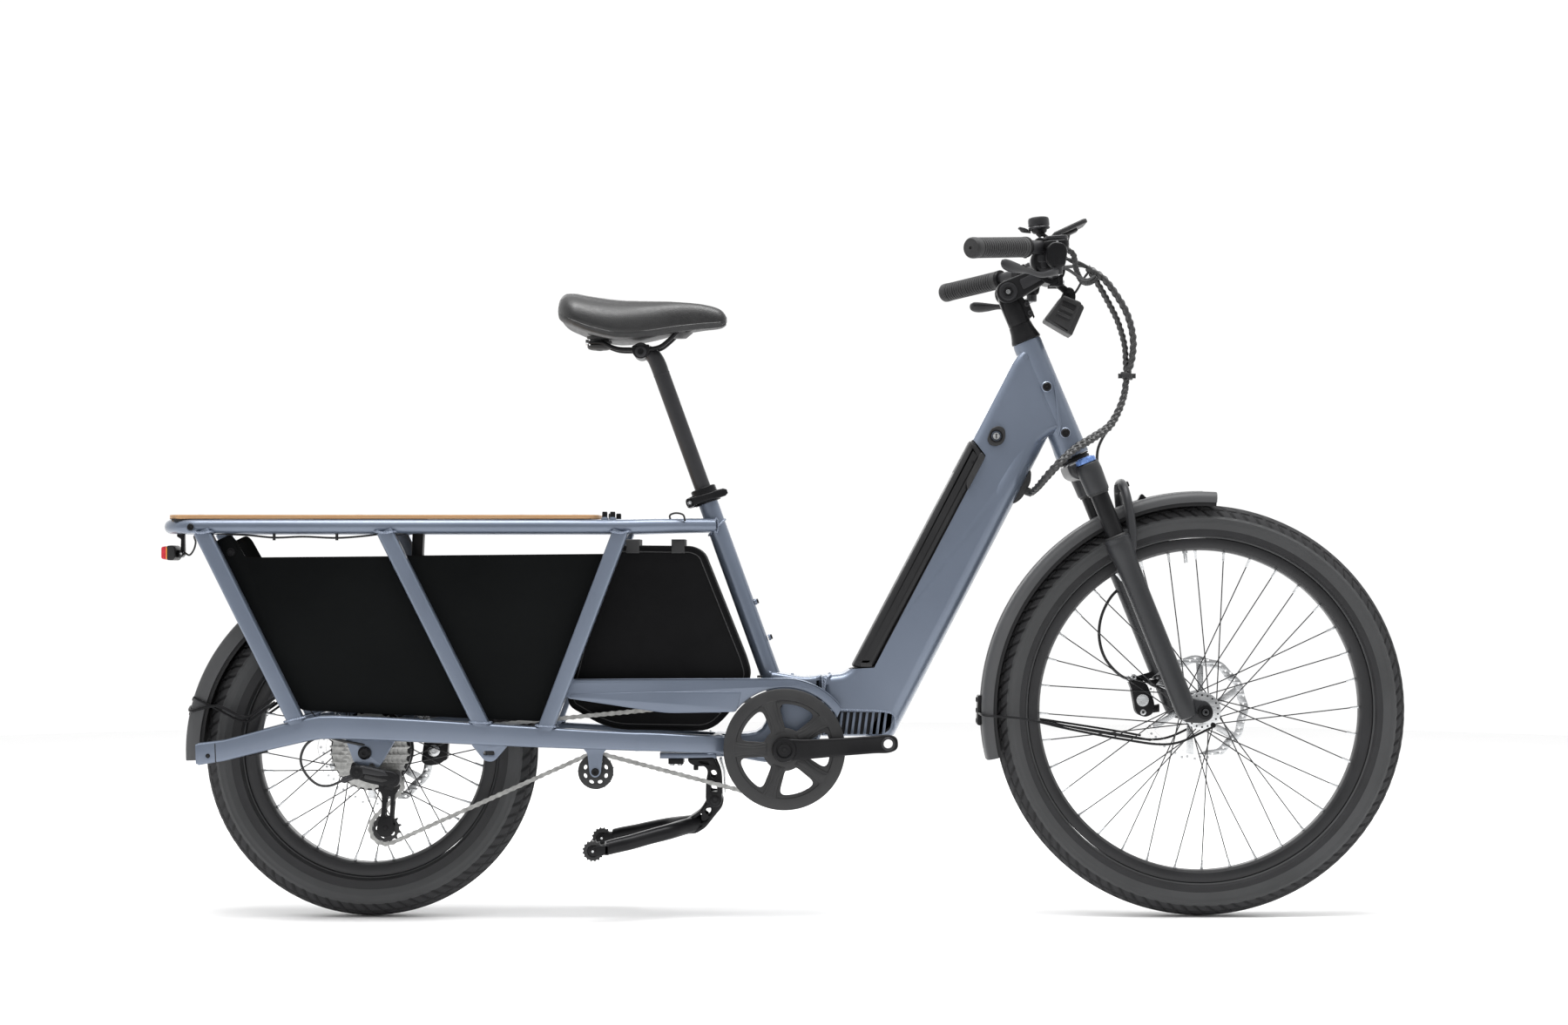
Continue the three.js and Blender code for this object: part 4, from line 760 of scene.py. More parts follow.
# Slatted cooling grille each side of the motor controller housing, framed by a weld.
grille = Piece("front_frame_grille", "root", PAINT, WELD_HIGHLIGHT)
for side in (-1, 1):
    for i in range(9):
        x = 79 + i * 10.4
        low, high = sorted((side * 30.2, side * 35.2))
        grille.slab([(x, 304.5), (x + 4.6, 304.5), (x + 9.2, 340.5), (x + 4.6, 340.5)], low, high, 0.8)
    edge_y = side * 35.2
    grille.bead([(64, edge_y, 343.5), (88, edge_y, 344.5), (130, edge_y, 343.8), (168, edge_y, 341.4),
                 (181, edge_y, 337), (184, edge_y, 322), (181, edge_y, 311)], 2.1, 4.2, closed=False, mark=1)
    grille.bead([(63.5, edge_y, 346), (66, side * 34.6, 372), (70, side * 33.6, 396),
                 (78, side * 30, 402.5)], 2.2, 4.2, closed=False, mark=1)
grille.done(slot="frame_paint")

lock_place = (351.9, 798.4)
lock_plate = Piece("lock_surround", "root", PLASTIC, ALLOY)
lock_plate.slab(fillet([(336.5, 792), (341, 783.5), (352, 781), (364, 787), (367.5, 799), (366, 811),
                        (356, 816), (343, 811)], 6, 5), -33.2, -30.6, 1.1, [ring(*lock_place, 8.2, 32)])
lock_plate.turned([(8.2, -30), (8.2, -34.6), (10.4, -34.6), (10.9, -33), (10.9, -30)],
                  (lock_place[0], 0, lock_place[1]), (0, 1, 0), 36, mark=1, closed=True)
lock_plate.done(slot="black_plastic")
key = Piece("key_cylinder", "key_lock", STEEL, SHADE_AND_BLACK)
key.turned([(0, -33.4), (5.6, -33.4), (6.2, -32.8), (6.2, -26), (0, -26)], (lock_place[0], 0, lock_place[1]),
           (0, 1, 0), 36)
# The keyway is a near-black block, painted shade for the slot.
key.block(350.9, 352.9, -33.9, -32.2, 794.2, 802.6, 0.3, mark=1)
key.done("key_lock", slot="steel")

port = Piece("cable_port", "root", RUBBER, SHADE_AND_BLACK)
port.at = tilted((395, 0, 717), (0.8851, 0, -0.4654), (0.4654, 0, 0.8851))
port.slab(fillet([(-9, -34), (3, -34), (11, -20), (12, -2), (12, 12), (4, 30), (-9, 32)], 7), -13, 13, 3.5,
          steps=3)
for y in (-5, 5):
    port.turned([(0, 0), (5.6, 0), (6.6, 6), (6.2, 14), (0, 14)], (9, y, -4),
                (0.8, -0.45 if y < 0 else -0.2, 0.1), 20)
port.done(slot="rubber")

# ---------- battery ----------
pack = Piece("battery_cover", "battery", COVER, PLASTIC, ALLOY)
pack.slab(fillet([bay(BAY_FOOT, 1, 0.6), bay(BAY_TOP, -1, 0.6), bay(BAY_TOP, 14, 33.4),
                  bay(BAY_FOOT, -17, 33.4)], [3, 5, 9, 6]), -35.6, 35.6, 11, steps=6)
pack.slab(fillet([bay(BAY_TOP, -66, -0.6), bay(BAY_TOP, -1.4, -0.6), bay(BAY_TOP, 2, 10),
                  bay(BAY_TOP, -54, 9)], 5), -36.0, 36.0, 1.2, mark=1)
pack.slab(fillet([bay(BAY_TOP, -48, 34.0), bay(BAY_TOP, -46, 30), bay(BAY_TOP, 6, 30),
                  bay(BAY_TOP, 10, 34.0)], 1), -24, 24, 1.2, mark=1)
pack.block(126, 146, -35.9, 35.9, 415.6, 423, 1.4, mark=1)
for side in (-1, 1):
    pack.bolt(bay(BAY_TOP, -20, 14)[:1] + (side * 35.2,) + bay(BAY_TOP, -20, 14)[1:], (0, side, 0), 2.6,
              1.0, mark=2)
pack.slab([bay(BAY_FOOT, 31, -57), bay(BAY_TOP, -31, -57), bay(BAY_TOP, -31, 4), bay(BAY_FOOT, 31, 4)],
          -28, 28, 4, mark=1)
pack.done("battery", slot="battery_cover")

# ---------- seat frame ----------
seat = Piece("seat_frame_tubes", "root", PAINT, WELD_HIGHLIGHT, ALLOY, SHADE_AND_BLACK)
seat_long = math.dist((8, 0, 316), seat_point(6))
seat.turned([(14.5, 0), (16.5, 0), (16.5, seat_long), (14.5, seat_long)], (8, 0, 316), (-0.34, 0, 0.9405),
            44, closed=True)
seat.turned([(14.3, -8), (17.4, -8), (17.4, 6), (14.3, 6)], seat_point(0), (-0.34, 0, 0.9405), 40,
            closed=True)
seat.turned([(13.5, -36.5), (23.2, -36.5), (24, -35.7), (24, 35.7), (23.2, 36.5), (13.5, 36.5)],
            (CRANK[0], 0, CRANK[1]), (0, 1, 0), 48, closed=True)
seat.slab(fillet([(-112, 304), (-30, 306), (-24, 408), (35, 398), (61.5, 402), (61.5, 299), (30, 258),
                  (-30, 256), (-112, 272)], [10, 30, 8, 30, 3, 3, 16, 16, 10]), -32, 32, 8, steps=4)
seat.tube([(-108, -46, 288), (-108, 46, 288)], 16, 28, soft=False)
for side in (-1, 1):
    seat.spar([(-243, 310.5, -243, 280, 13, 5, side * 80), (-232, 310.5, -232, 280, 13, 5, side * 79),
               (-204, 309, -204, 279, 13, 5, side * 71), (-152, 305, -152, 275, 13, 5, side * 54),
               (-98, 302, -98, 273, 13, 5, side * 38)])
    seat.bead([(-126, side * 47, 304), (-112, side * 50, 297), (-108, side * 50.5, 288),
               (-112, side * 50, 277), (-126, side * 47, 273)], 2.0, closed=False, mark=1)
    seat.bead([(63, side * 33.5, 400), (64.5, side * 34.2, 376), (64.6, side * 34.2, 340),
               (64.4, side * 34, 304)], 2.2, 4.2, closed=False, mark=1)
    seat.bead([(-27, side * 14, 409), (-20, side * 17, 404), (0, side * 17.4, 398), (16, side * 14, 402)],
              2.0, closed=False, mark=1)
    for z in (346, 386):
        seat.bolt((seat_point(0)[0] + 0.362 * (696.3 - z) + 2 + 14, side * 8.4, z),
                  (0.8, side * 0.55, 0.25), 4.6, 2.4, mark=2, hollow=3)
seat.block(-206, -112, -34, 34, 263.5, 273, 3)
seat.block(-150, -100, -20, 20, 266, 290, 2)
# Bottle bosses on the front of the seat tube.
for x_place, z_place in ((-69, 514.6), (-46, 455.1)):
    start = Vector((x_place + 20, 0, z_place + 8))
    seat.turned([(0, 0), (5.2, 0), (5.2, 3.2), (4.2, 4.2), (0, 4.2)], start, (0.9405, 0, 0.34), 20, mark=0)
    seat.bolt(start + Vector((3.6, 0, 1.3)), (0.9405, 0, 0.34), 4.2, 3.0, mark=2, hollow=3)
seat.bead([tuple(SEAT @ Vector((17.2 * math.cos(a), 17.2 * math.sin(a), -52 + 8 * math.cos(a))))
           for a in (math.tau * k / 12 for k in range(12))], 1.8, 4.0, mark=1)
seat.bolt((-8, -32.6, 352), (0, -1, 0), 5.0, 2.8, mark=2, hollow=3)
seat.done("seat_frame", slot="frame_paint")

# ---------- cargo frame ----------
STRUTS = (((-953.6, 640), (-793.5, 318)), ((-653.9, 640), (-489.3, 310)), ((-267.2, 640), (-394.4, 306)))
for word, side in (("right", -1), ("left", 1)):
    rail = Piece("side_frame_" + word + "_tubes", "root", PAINT, WELD_HIGHLIGHT, ALLOY, SHADE_AND_BLACK)
    y = side * 80
    rail.spar([(-958.5, 293, -957.5, 257, 13, 5, y), (-915, 298.5, -914, 264, 13, 5, y),
               (-860, 313, -858, 278, 13, 5, y), (-806, 327.5, -801, 291, 13, 5, y),
               (-785, 333, -781, 295.5, 13, 5, y), (-760, 337.5, -757, 299.5, 13, 5, y),
               (-735, 338, -733, 300, 13, 5, y), (-656, 335, -656, 297, 13, 5, y),
               (-560, 329.5, -561, 293, 13, 5, y), (-429, 321, -430, 287, 13, 5, y),
               (-330, 315, -331, 283.5, 13, 5, y), (-239.5, 310.3, -239.5, 280.2, 13, 5, y)])
    for top, foot in STRUTS:
        rail.beam((top[0], side * 79.5, top[1]), (foot[0], y, foot[1]), 26, 26, 5)
        way = (Vector((foot[0], foot[1])) - Vector((top[0], top[1]))).normalized()
        deep = 15 / abs(way.y)
        foot_z = {-793.5: 330.5, -489.3: 325.5, -394.4: 319.5}[foot[0]]
        foot_x = top[0] + way.x / way.y * (foot_z - top[1])
        tilt = {-793.5: 0.23, -489.3: -0.055, -394.4: -0.055}[foot[0]]
        rail.bead([(foot_x + a, y + b, foot_z + 1.4 + tilt * a)
                   for a, b in ((-deep, 0), (-deep, -10), (-deep + 5, -13.6), (0, -13.6), (deep - 5, -13.6),
                                (deep, -10), (deep, 0), (deep, 10), (deep - 5, 13.6), (0, 13.6),
                                (-deep + 5, 13.6), (-deep, 10))], 1.8, 4.0, mark=1)
        top_x = top[0] + way.x / way.y * (638 - top[1])
        rail.bead([(top_x + a, y + b, 637.5 - abs(b) * 0.05 + 1.6 * (abs(a) > 9))
                   for a, b in ((-deep, -4), (-deep + 4, -13), (0, -13.6), (deep - 4, -13),
                                (deep, -4), (deep, 8), (deep - 4, 12), (0, 12.6), (-deep + 4, 12),
                                (-deep, 8))], 1.9, 4.2, mark=1)
    # Dropout plate with the axle, and a slotted tab further forward.
    rail.slab(fillet([(-722, 306), (-704, 258), (-690, 250), (-684, 252), (-676, 262), (-668, 252),
                      (-662, 254), (-632, 306)], [2, 12, 8, 4, 8, 5, 6, 2]), side * 75 - 4, side * 75 + 4,
              1.4)
    rail.slab(fillet([(-518, 298), (-490, 263), (-475, 262), (-446, 296)], [3, 12, 12, 3]), y - 4, y + 4,
              1.2, [fillet([(-492, 273), (-474, 273), (-474, 280), (-492, 280)], 3.4, 5)])
    rail.turned([(0, 0), (10.5, 0), (11, 1.5), (11, 4), (8.5, 6.5), (0, 6.5)], (-686.9, side * 79, 276.5),
                (0, side, 0), 36, mark=2)
    rail.bolt((-686.9, side * 83.5, 276.5), (0, side, 0), 8.4, 5.0, mark=2, hollow=3, key=0.45)
    # End plug of the lower rail, with its screw.
    rail.spar([(-962, 291.2, -961, 258.8, 12, 4, y), (-956, 292, -955.5, 257.8, 12.2, 4, y)], mark=0)
    rail.turned([(0, 0), (6.6, 0), (6.6, 0.8), (0, 0.8)], (-941, side * 92.6, 272.6), (0, side, 0), 28,
                mark=0)
    rail.bolt((-941, side * 93.2, 272.6), (0, side, 0), 3.7, 0.8, mark=2, hollow=3)
    rail.spar([(-930.4, 295.4, -929.2, 260.6, 13.25, 5, y), (-928.8, 295.8, -927.6, 261, 13.25, 5, y)],
              mark=3)
    # Screw through the rear end of the top rail.
    rail.turned([(0, 0), (7.2, 0), (7.0, 2.6), (0, 2.6)], (-970.5, side * 85.8, 646.5), (0, side, 0), 28,
                mark=0)
    rail.bolt((-970.5, side * 88, 646.5), (0, side, 0), 5.4, 2.4, mark=2, hollow=3)
    # Tail tab for the fender stay.
    rail.slab(fillet([(-884, 276), (-878, 270.5), (-846, 277), (-848, 285)], 2), side * 76 - 2,
              side * 76 + 2, 0.6, mark=2)
    if side < 0:
        rail.slab(fillet([(-331, 290), (-331, 284), (-323, 276), (-319, 240), (-310, 234), (-301, 240),
                          (-297, 276), (-289, 284), (-289, 290)], [2, 3, 6, 8, 8, 8, 6, 3, 2]), -73.5, -69,
                  1.0)
        rail.bolt((-309.8, -73, 244.6), (0, -1, 0), 6.4, 4.4, mark=2, hollow=3)
        rail.tube([(-309.8, -72, 244.6), (-309.8, -49.5, 244.6)], 3.8, 16, mark=2, soft=False)
        rail.tube([(-686.9, -80, 276.5), (-686.9, 70.3, 276.5)], 6, 20, mark=2, soft=False)
    rail.done("side_frame_" + word, slot="frame_paint")

hoop = Piece("top_rail_tube", "root", PAINT, WELD_HIGHLIGHT, ALLOY, SHADE_AND_BLACK)
half_loop = [(-118, -22, 650), (-150, -38, 650), (-205, -65, 649), (-262, -74.5, RAIL_Z),
             (-330, -RAIL_HALF, RAIL_Z), (-450, -RAIL_HALF, RAIL_Z), (-700, -RAIL_HALF, RAIL_Z),
             (-940, -RAIL_HALF, RAIL_Z), (-982, -72, RAIL_Z), (-1006, -52, RAIL_Z),
             (-1016, -26, RAIL_Z), (-1017, 0, RAIL_Z)]
hoop.tube(half_loop + [(x, -y, z) for x, y, z in reversed(half_loop[:-1])], 11.8, 28, 6)
for side in (-1, 1):
    hoop.bead([(-113 - 3 * math.cos(a), side * (22 + 9 * math.cos(a) * 0.4), 650 + 11.6 * math.sin(a))
               for a in (math.tau * k / 12 for k in range(12))], 1.9, 4.0, mark=1)
    for x in (-294, -281):
        hoop.turned([(0, 0), (6.2, 0), (6.0, 4), (4.8, 6.4), (0, 6.4)], (x, side * 75, 656.6), (0, 0, 1), 24)
        hoop.bolt((x, side * 75, 663), (0, 0, 1), 4.4, 9.0, mark=2, hollow=3)
for x in (-950, -700, -430):
    hoop.block(x - 12, x + 12, -74, 74, 641, 649, 3)
hoop.tube([(-186, -60, 657), (-188, -60, 666), (-179, -60, 670), (-166, -60, 667), (-163, -58, 657)], 1.6,
          10, mark=3)
hoop.done("top_rail", slot="frame_paint")

# ---------- deck ----------
board = Piece("deck_board", "root", WOOD, ALLOY, SHADE_AND_BLACK)
corners = rounded_section(354.5, 78, 24, 6)
slots = [[(x + a, y + b) for a, b in rounded_section(110, 6, 5.9, 5)] for x in (-180, 180)
         for y in (-34, 34)]
board.slab(corners, 660, 667, 0.9, slots,
           pose=Matrix.Translation((-657.5, 0, 0)) @ Matrix.Rotation(math.pi / 2, 4, "X"))
for x in (-960, -700, -430, -345):
    for y in (-58, 58):
        board.turned([(0, 0), (6.4, 0), (5.8, 0.5), (2.8, 0.6), (2.4, -0.6), (0, -0.6)], (x, y, 666.9),
                     (0, 0, 1), 24, mark=1)
board.done("deck", slot="plywood")
board_pads = Piece("deck_pads", "root", SHADE_AND_BLACK)
for start, end in ((-1008, -934), (-773, -584), (-424, -316)):
    for y in (-70, 70):
        board_pads.slab(fillet([(start, 660.3), (start + 12, 655.6), (end - 16, 655.6), (end, 660.3)], 1.5),
                        y - 7, y + 7, 0.8)
# The lamp's cable runs under the right side of the hoop, held by two clips.
board_pads.tube([(-960, -60, 640), (-930, -66, 636), (-880, -70, 633.5), (-837, -72, 629.5),
                 (-790, -72, 631), (-734, -72, 629), (-690, -72, 632), (-660, -70, 636)], 1.7, 10)
for x in (-837, -734):
    board_pads.block(x - 2, x + 2, -75.5, -68.5, 625, 637, 1)
board_pads.done(slot="black_plastic")

# ---------- panels and bag ----------
for word, side in (("right", -1), ("left", 1)):
    sheet = Piece("side_panel_" + word + "_sheet", "root", PANEL, ALLOY, SHADE_AND_BLACK)
    low, high = sorted((side * 62.5, side * 65.2))
    sheet.slab(fillet([(-934, 624), (-911, 635), (-902, 627), (-886, 598), (-884, 597), (-648, 599),
                       (-640, 602), (-632, 600), (-287.5, 603), (-395.4, 327), (-480, 331), (-800, 345.5)],
                      [3, 6, 6, 6, 2, 4, 4, 4, 8, 12, 4, 16]), low, high, 0.8)
    sheet.slab(fillet([(-926, 626), (-911, 633), (-898, 612), (-904, 598), (-920, 596)], 4),
               min(side * 64, side * 66.6), max(side * 64, side * 66.6), 0.7)
    sheet.turned([(0, 0), (6.8, 0), (6.4, 1.6), (0, 1.6)], (-909, side * 66.4, 606), (0, side, 0), 28,
                 mark=1)
    sheet.bolt((-909, side * 67.6, 606), (0, side, 0), 4.8, 2.4, mark=1, hollow=2)
    sheet.done("side_panel_" + word, slot="panel")

# ---------- frame bag ----------
def bag_outline(inset):
    """The bag's side view with rounded corners, drawn in by an inset."""
    corners = [(-300, 605), (-288, 618), (-150, 616.5), (-131, 606), (-60, 428), (-53, 400), (-84, 345),
               (-120, 308.5), (-290, 311.5), (-356, 350), (-360, 372)]
    middle = Vector((-210, 470))
    loop = fillet(corners, [20, 18, 26, 22, 26, 26, 30, 30, 34, 26, 22], 5)
    made = []
    for i, here in enumerate(loop):
        along = (Vector(loop[(i + 1) % len(loop)]) - Vector(loop[i - 1])).normalized()
        out = Vector((along.y, -along.x))
        if out.dot(Vector(here) - middle) < 0:
            out = -out
        made.append(Vector(here) - out * inset)
    return made


bag = Piece("frame_bag_shell", "root", CLOTH, RUBBER)
profile = [(70, -39.5), (44, -42.0), (20, -43.6), (8, -44.4), (4.4, -44.0), (2.2, -41.0), (1.0, -34),
           (0.2, -22), (0.0, 0), (0.2, 22), (1.0, 34), (2.2, 41.0), (4.4, 44.0), (8, 44.4), (20, 43.6),
           (44, 42.0), (70, 39.5)]
loops = []
for inset, y in profile:
    pull = max(inset - 8, 0) / 84
    loops.append([Vector((p.x + (-205 - p.x) * pull,
                          y + 0.9 * math.sin(p.x * 0.045 + p.y * 0.03) * math.copysign(1, y) * (inset > 10),
                          p.y + (462 - p.y) * pull)) for p in bag_outline(min(inset, 8))])
bag.grid(loops)
for side in (-1, 1):
    bag.tube([(p.x, side * 43.2, p.y) for p in bag_outline(3.2)], 2.1, 10, closed=True, soft=False, mark=0)
for side in (-1, 1):
    bag.tube([(p.x, side * 44.5, p.y) for p in bag_outline(11)], 0.8, 8, closed=True, soft=False, mark=1)
for x in (-250, -175):
    bag.block(x - 11, x + 11, -47.0, 47.0, 604, 627, 3.0, mark=1)
bag.done("frame_bag", slot="bag", sharp=50)

# ---------- chain guard ----------
guard = Piece("chain_guard_plate", "root", PAINT, ALLOY, SHADE_AND_BLACK)
arc_top = [(CRANK[0] + 116.5 * math.cos(math.radians(a)), CRANK[1] + 116.5 * math.sin(math.radians(a)))
           for a in range(92, 32, -4)]
arc_low = [(CRANK[0] + 101.5 * math.cos(math.radians(a)), CRANK[1] + 101.5 * math.sin(math.radians(a)))
           for a in range(31, 143, 4)]
shape = fillet([(-356, 389), (-346, 397), (-20, 398.4)], [6, 8, 6], 4)[:-2] + arc_top + arc_low + \
    fillet([(-98, 341.4), (-194.8, 341.2), (-354, 365), (-360, 371)], [10, 16, 6, 6], 4)
guard.slab(shape, -70.3, -68.0, 0.8)
guard.slab(shape, -66.2, -64.0, 0.6)
rim_line = [(-356, 391), (-346, 396.6), (-20, 398)] + arc_top
loops = []
for i, (x, z) in enumerate(rim_line):
    before, after = Vector(rim_line[max(i - 1, 0)]), Vector(rim_line[min(i + 1, len(rim_line) - 1)])
    along = (after - before).normalized()
    out = Vector((-along.y, along.x))
    loops.append([Vector((x + out.x * d, y, z + out.y * d))
                  for y, d in ((-70.3, -1.6), (-70.3, -0.2), (-69.6, 0.4), (-62, 0.6), (-56.5, 0.4),
                               (-56.5, -1.2), (-62, -1.2), (-69, -1.6))])
guard.grid(loops)
guard.bolt((-40, -52, 399), (0, 0, 1), 4.4, 3.4, mark=1, hollow=2)
guard.block(-62, -48, -64, -33, 378, 392, 2, mark=1)
guard.block(-336, -322, -64, -30, 376, 390, 2, mark=1)
guard.done("chain_guard", slot="frame_paint")
fold = Piece("chain_guard_fold", "root", PAINT)
fold.slab(fillet([(-350, 372.4), (-198, 376.5), (-70, 376.5), (-78, 343), (-194.8, 342.6), (-353, 366)],
                 [3, 20, 4, 6, 16, 4], 4), -71.4, -69.9, 0.7)
fold.done(slot="frame_paint")

# ---------- fenders, their stays and the tail light ----------
def fender(name, node, body, centre, outer, start, end, half, skirt, count):
    piece = Piece(name, body, FENDER, SHADE_AND_BLACK)
    shell = [(outer - skirt, -half), (outer - skirt * 0.55, -half + 0.2), (outer - 5.0, -half + 3.4),
             (outer - 1.6, -half + 9), (outer - 0.3, -half + 17), (outer, -half * 0.34),
             (outer, half * 0.34), (outer - 0.3, half - 17), (outer - 1.6, half - 9),
             (outer - 5.0, half - 3.4), (outer - skirt * 0.55, half - 0.2), (outer - skirt, half),
             (outer - skirt, half - 2.2), (outer - skirt * 0.55, half - 2.5), (outer - 7.0, half - 5.4),
             (outer - 3.9, half - 11), (outer - 2.6, half * 0.34), (outer - 2.6, -half * 0.34),
             (outer - 3.9, -half + 11), (outer - 7.0, -half + 5.4), (outer - skirt * 0.55, -half + 2.5),
             (outer - skirt, -half + 2.2)]
    piece.turned(shell, (centre[0], 0, centre[1]), (0, 1, 0), count, closed=True, start=start,
                 turn=end - start)
    # A near-black ring inside each skirt is painted shadow for the gap between fender and tyre.
    for side in (-1, 1):
        piece.turned([(outer - skirt - 6, side * (half - 4.5)), (outer - 8, side * (half - 5)),
                      (outer - 8, side * (half - 6.5)), (outer - skirt - 6, side * (half - 6))],
                     (centre[0], 0, centre[1]), (0, 1, 0), count, mark=1, closed=True, start=start,
                     turn=end - start)
    piece.turned([(outer + 0.9, -2.6), (outer - 0.2, -5.0), (outer - 0.2, 5.0), (outer + 0.9, 2.6)],
                 (centre[0], 0, centre[1]), (0, 1, 0), count, closed=True, start=start + 3,
                 turn=end - start - 6)
    piece.done(node, slot="fender_plastic", sharp=40)


fender("front_fender_shell", "front_fender", "fork_lowers", FRONT_AXLE, 364.6, 86, 193, 39, 18.5, 96)
fender("rear_fender_shell", "rear_fender", "root", REAR_AXLE, 305.8, 14, 183, 43, 26, 110)


def polar(centre, radius, degrees, y):
    return (centre[0] + radius * math.cos(math.radians(degrees)), y,
            centre[1] + radius * math.sin(math.radians(degrees)))


stays = Piece("front_fender_stays", "fork_lowers", ALLOY, SHADE_AND_BLACK, STEEL)
foot = (706, 330)
grip_point = polar(FRONT_AXLE, 368.5, 180.6, 0)
for side in (-1, 1):
    stays.tube([(grip_point[0], 0, grip_point[2]), (grip_point[0] + 1, side * 20, grip_point[2] - 1),
                (grip_point[0] + 8, side * 42, grip_point[2] - 3), (393, side * 49, 331),
                (470, side * 54, 314), (560, side * 57, 297), (622, side * 59, 289), (652, side * 60, 293),
                (706, side * 62, 318)], 2.0, 10)
    stays.bolt((706, side * 63, 321), (0, side, 0), 4.4, 3.6, mark=0, hollow=1)
    stays.tube([(408, side * 49.5, 328), (470, side * 53.6, 318.5), (560, side * 56.4, 304),
                (604, side * 58, 296)], 1.9, 10)
    stays.bolt(polar(FRONT_AXLE, 366.5, 179.2, side * 9), (-1, 0, 0.03), 3.4, 3.0, mark=0, hollow=1)
stays.slab(fillet([(321.5, 318), (328.5, 317), (330, 367), (323, 368)], 3), -15, 15, 1.2, mark=0)
for z in (325, 342, 360):
    stays.bolt((323.5, 0, z), (-1, 0, 0), 4.2, 3.2, mark=0, hollow=1)
stays.slab(fillet([(484, 641), (505, 650), (512, 676), (498, 690), (487, 668)], 5), -9, 9, 1.6, mark=0,
           pose=Matrix.Translation((98, 0, 15)))
stays.done(slot="black_alloy")

rear_stays = Piece("rear_fender_stays", "root", ALLOY, SHADE_AND_BLACK)
hold = polar(REAR_AXLE, 308, 166.5, 0)
for side in (-1, 1):
    rear_stays.tube([(hold[0], 0, hold[2]), (hold[0] + 1, side * 22, hold[2]),
                     (hold[0] + 6, side * 44, hold[2] - 5), (-935, side * 52, 352), (-898, side * 56, 336),
                     (-884, side * 57, 334), (-868, side * 58, 344), (-838, side * 62, 366),
                     (-826, side * 64, 374)], 2.5, 12)
    rear_stays.tube([(-976, side * 44, 366), (-935, side * 50, 346), (-900, side * 54, 329),
                     (-884, side * 55, 327), (-862, side * 58, 340), (-838, side * 62, 359)], 2.0, 10)
    rear_stays.bolt((-826, side * 64, 380), (0, side, 0), 4.6, 4.0, mark=0, hollow=1)
    rear_stays.tube([(-826, side * 62, 380), (-822, side * 68, 376), (-812, side * 76, 366)], 2.6, 10)
rear_stays.slab(fillet([(hold[0] - 4, hold[2] - 20), (hold[0] + 2, hold[2] - 22),
                        (hold[0] + 10, hold[2] + 16), (hold[0] + 4, hold[2] + 18)], 2), -13, 13, 1.0)
for z in (-12, 12):
    rear_stays.bolt((hold[0] - 1 + z * 0.22, 0, hold[2] + z), (-1, 0, 0.24), 3.6, 3.0, mark=0, hollow=1)
near = polar(REAR_AXLE, 306, 76, 0)
rear_stays.slab(fillet([(near[0] - 9, near[2] - 1), (near[0] + 9, near[2] - 3), (near[0] + 12, 640),
                        (near[0] - 6, 640)], 2), -12, 12, 1.2)
rear_stays.bolt(near, (0.24, 0, 0.97), 4.0, 3.0, mark=0, hollow=1)
rear_stays.done(slot="black_alloy")

lamp = Piece("tail_light_unit", "root", RED, PLASTIC, AMBER, ALLOY, STEEL)
lamp.slab(fillet([(-1034.9, 595), (-1027, 593.2), (-1022, 594), (-1022, 615), (-1027, 616),
                  (-1034.9, 614.6)], [3, 2, 1, 1, 2, 3]), -23.4, 23.4, 1.8, steps=3)
lamp.slab(fillet([(-1025.4, 592.8), (-1016, 592), (-1012, 596), (-1012, 613), (-1016, 617.4),
                  (-1025.4, 616.4)], 2.5), -24, 24, 1.4, mark=1)
lamp.slab(fillet([(-1026.4, 594.6), (-1024.6, 594.6), (-1024.6, 614.4), (-1026.4, 614.4)], 0.6), -24.6,
          24.6, 0.4, mark=2)
lamp.slab(fillet([(-1012, 597), (-1004, 597), (-1001, 602), (-1003, 609), (-1012, 610)], 2), -9, 9, 1.2,
          mark=3)
lamp.slab(fillet([(-1007, 600), (-1000, 600), (-1001, 640), (-1012, 641), (-1013, 632), (-1006, 628)], 2),
          -6, 6, 1.0, mark=3)
lamp.bolt((-1004, -9.2, 603), (0, -1, 0), 4.6, 5.0, mark=3, hollow=4)
lamp.tube([(-1001, -4, 606), (-992, -6, 601), (-984, -10, 609), (-978, -20, 622), (-976, -38, 632),
           (-960, -60, 640)], 1.6, 10, mark=1)
lamp.done("tail_light", slot="red_lens")

# ---------- seat clamp, quick release, post ----------
clamp = Piece("seat_clamp_collar", "root", ALLOY, STEEL)
clamp.at = SEAT
clamp.turned([(14.6, 6.4), (14.6, 18), (20, 18), (21.4, 16.6), (21.6, 9), (22.4, 7), (22.4, -7.6),
              (21.6, -8.8), (17.8, -8.8), (17.8, 5.6)], (0, 0, 0), (0, 0, 1), 48, closed=True)
for y in (-6.2, 6.2):
    clamp.slab(fillet([(-35, -6.4), (-18, -8), (-18, 11), (-32, 9.6), (-35, 6)], [5, 1, 1, 3, 4]), y - 3.2,
               y + 3.2, 1.2)
clamp.turned([(0, 8.5), (6.6, 8.5), (7.0, 9.4), (7.0, 14.6), (6.2, 15.6), (0, 15.6)], (-27, 0, 1),
             (0, 1, 0), 28)
clamp.tube([(-27, -23.4, 1), (-27, 12, 1)], 2.3, 14, mark=1, soft=False)
clamp.turned([(3.0, -1.2), (4.8, -1.2), (4.8, 3.2), (3.0, 3.2)], (-27, -27, 0), (0, 0, 1), 24, mark=1,
             closed=True)
clamp.turned([(3.6, -20.6), (7.6, -20.6), (8.0, -18), (8.0, -11), (3.6, -10.4)], (-27, 0, 1), (0, 1, 0), 28,
             closed=True)
clamp.done("seat_clamp", slot="black_alloy")

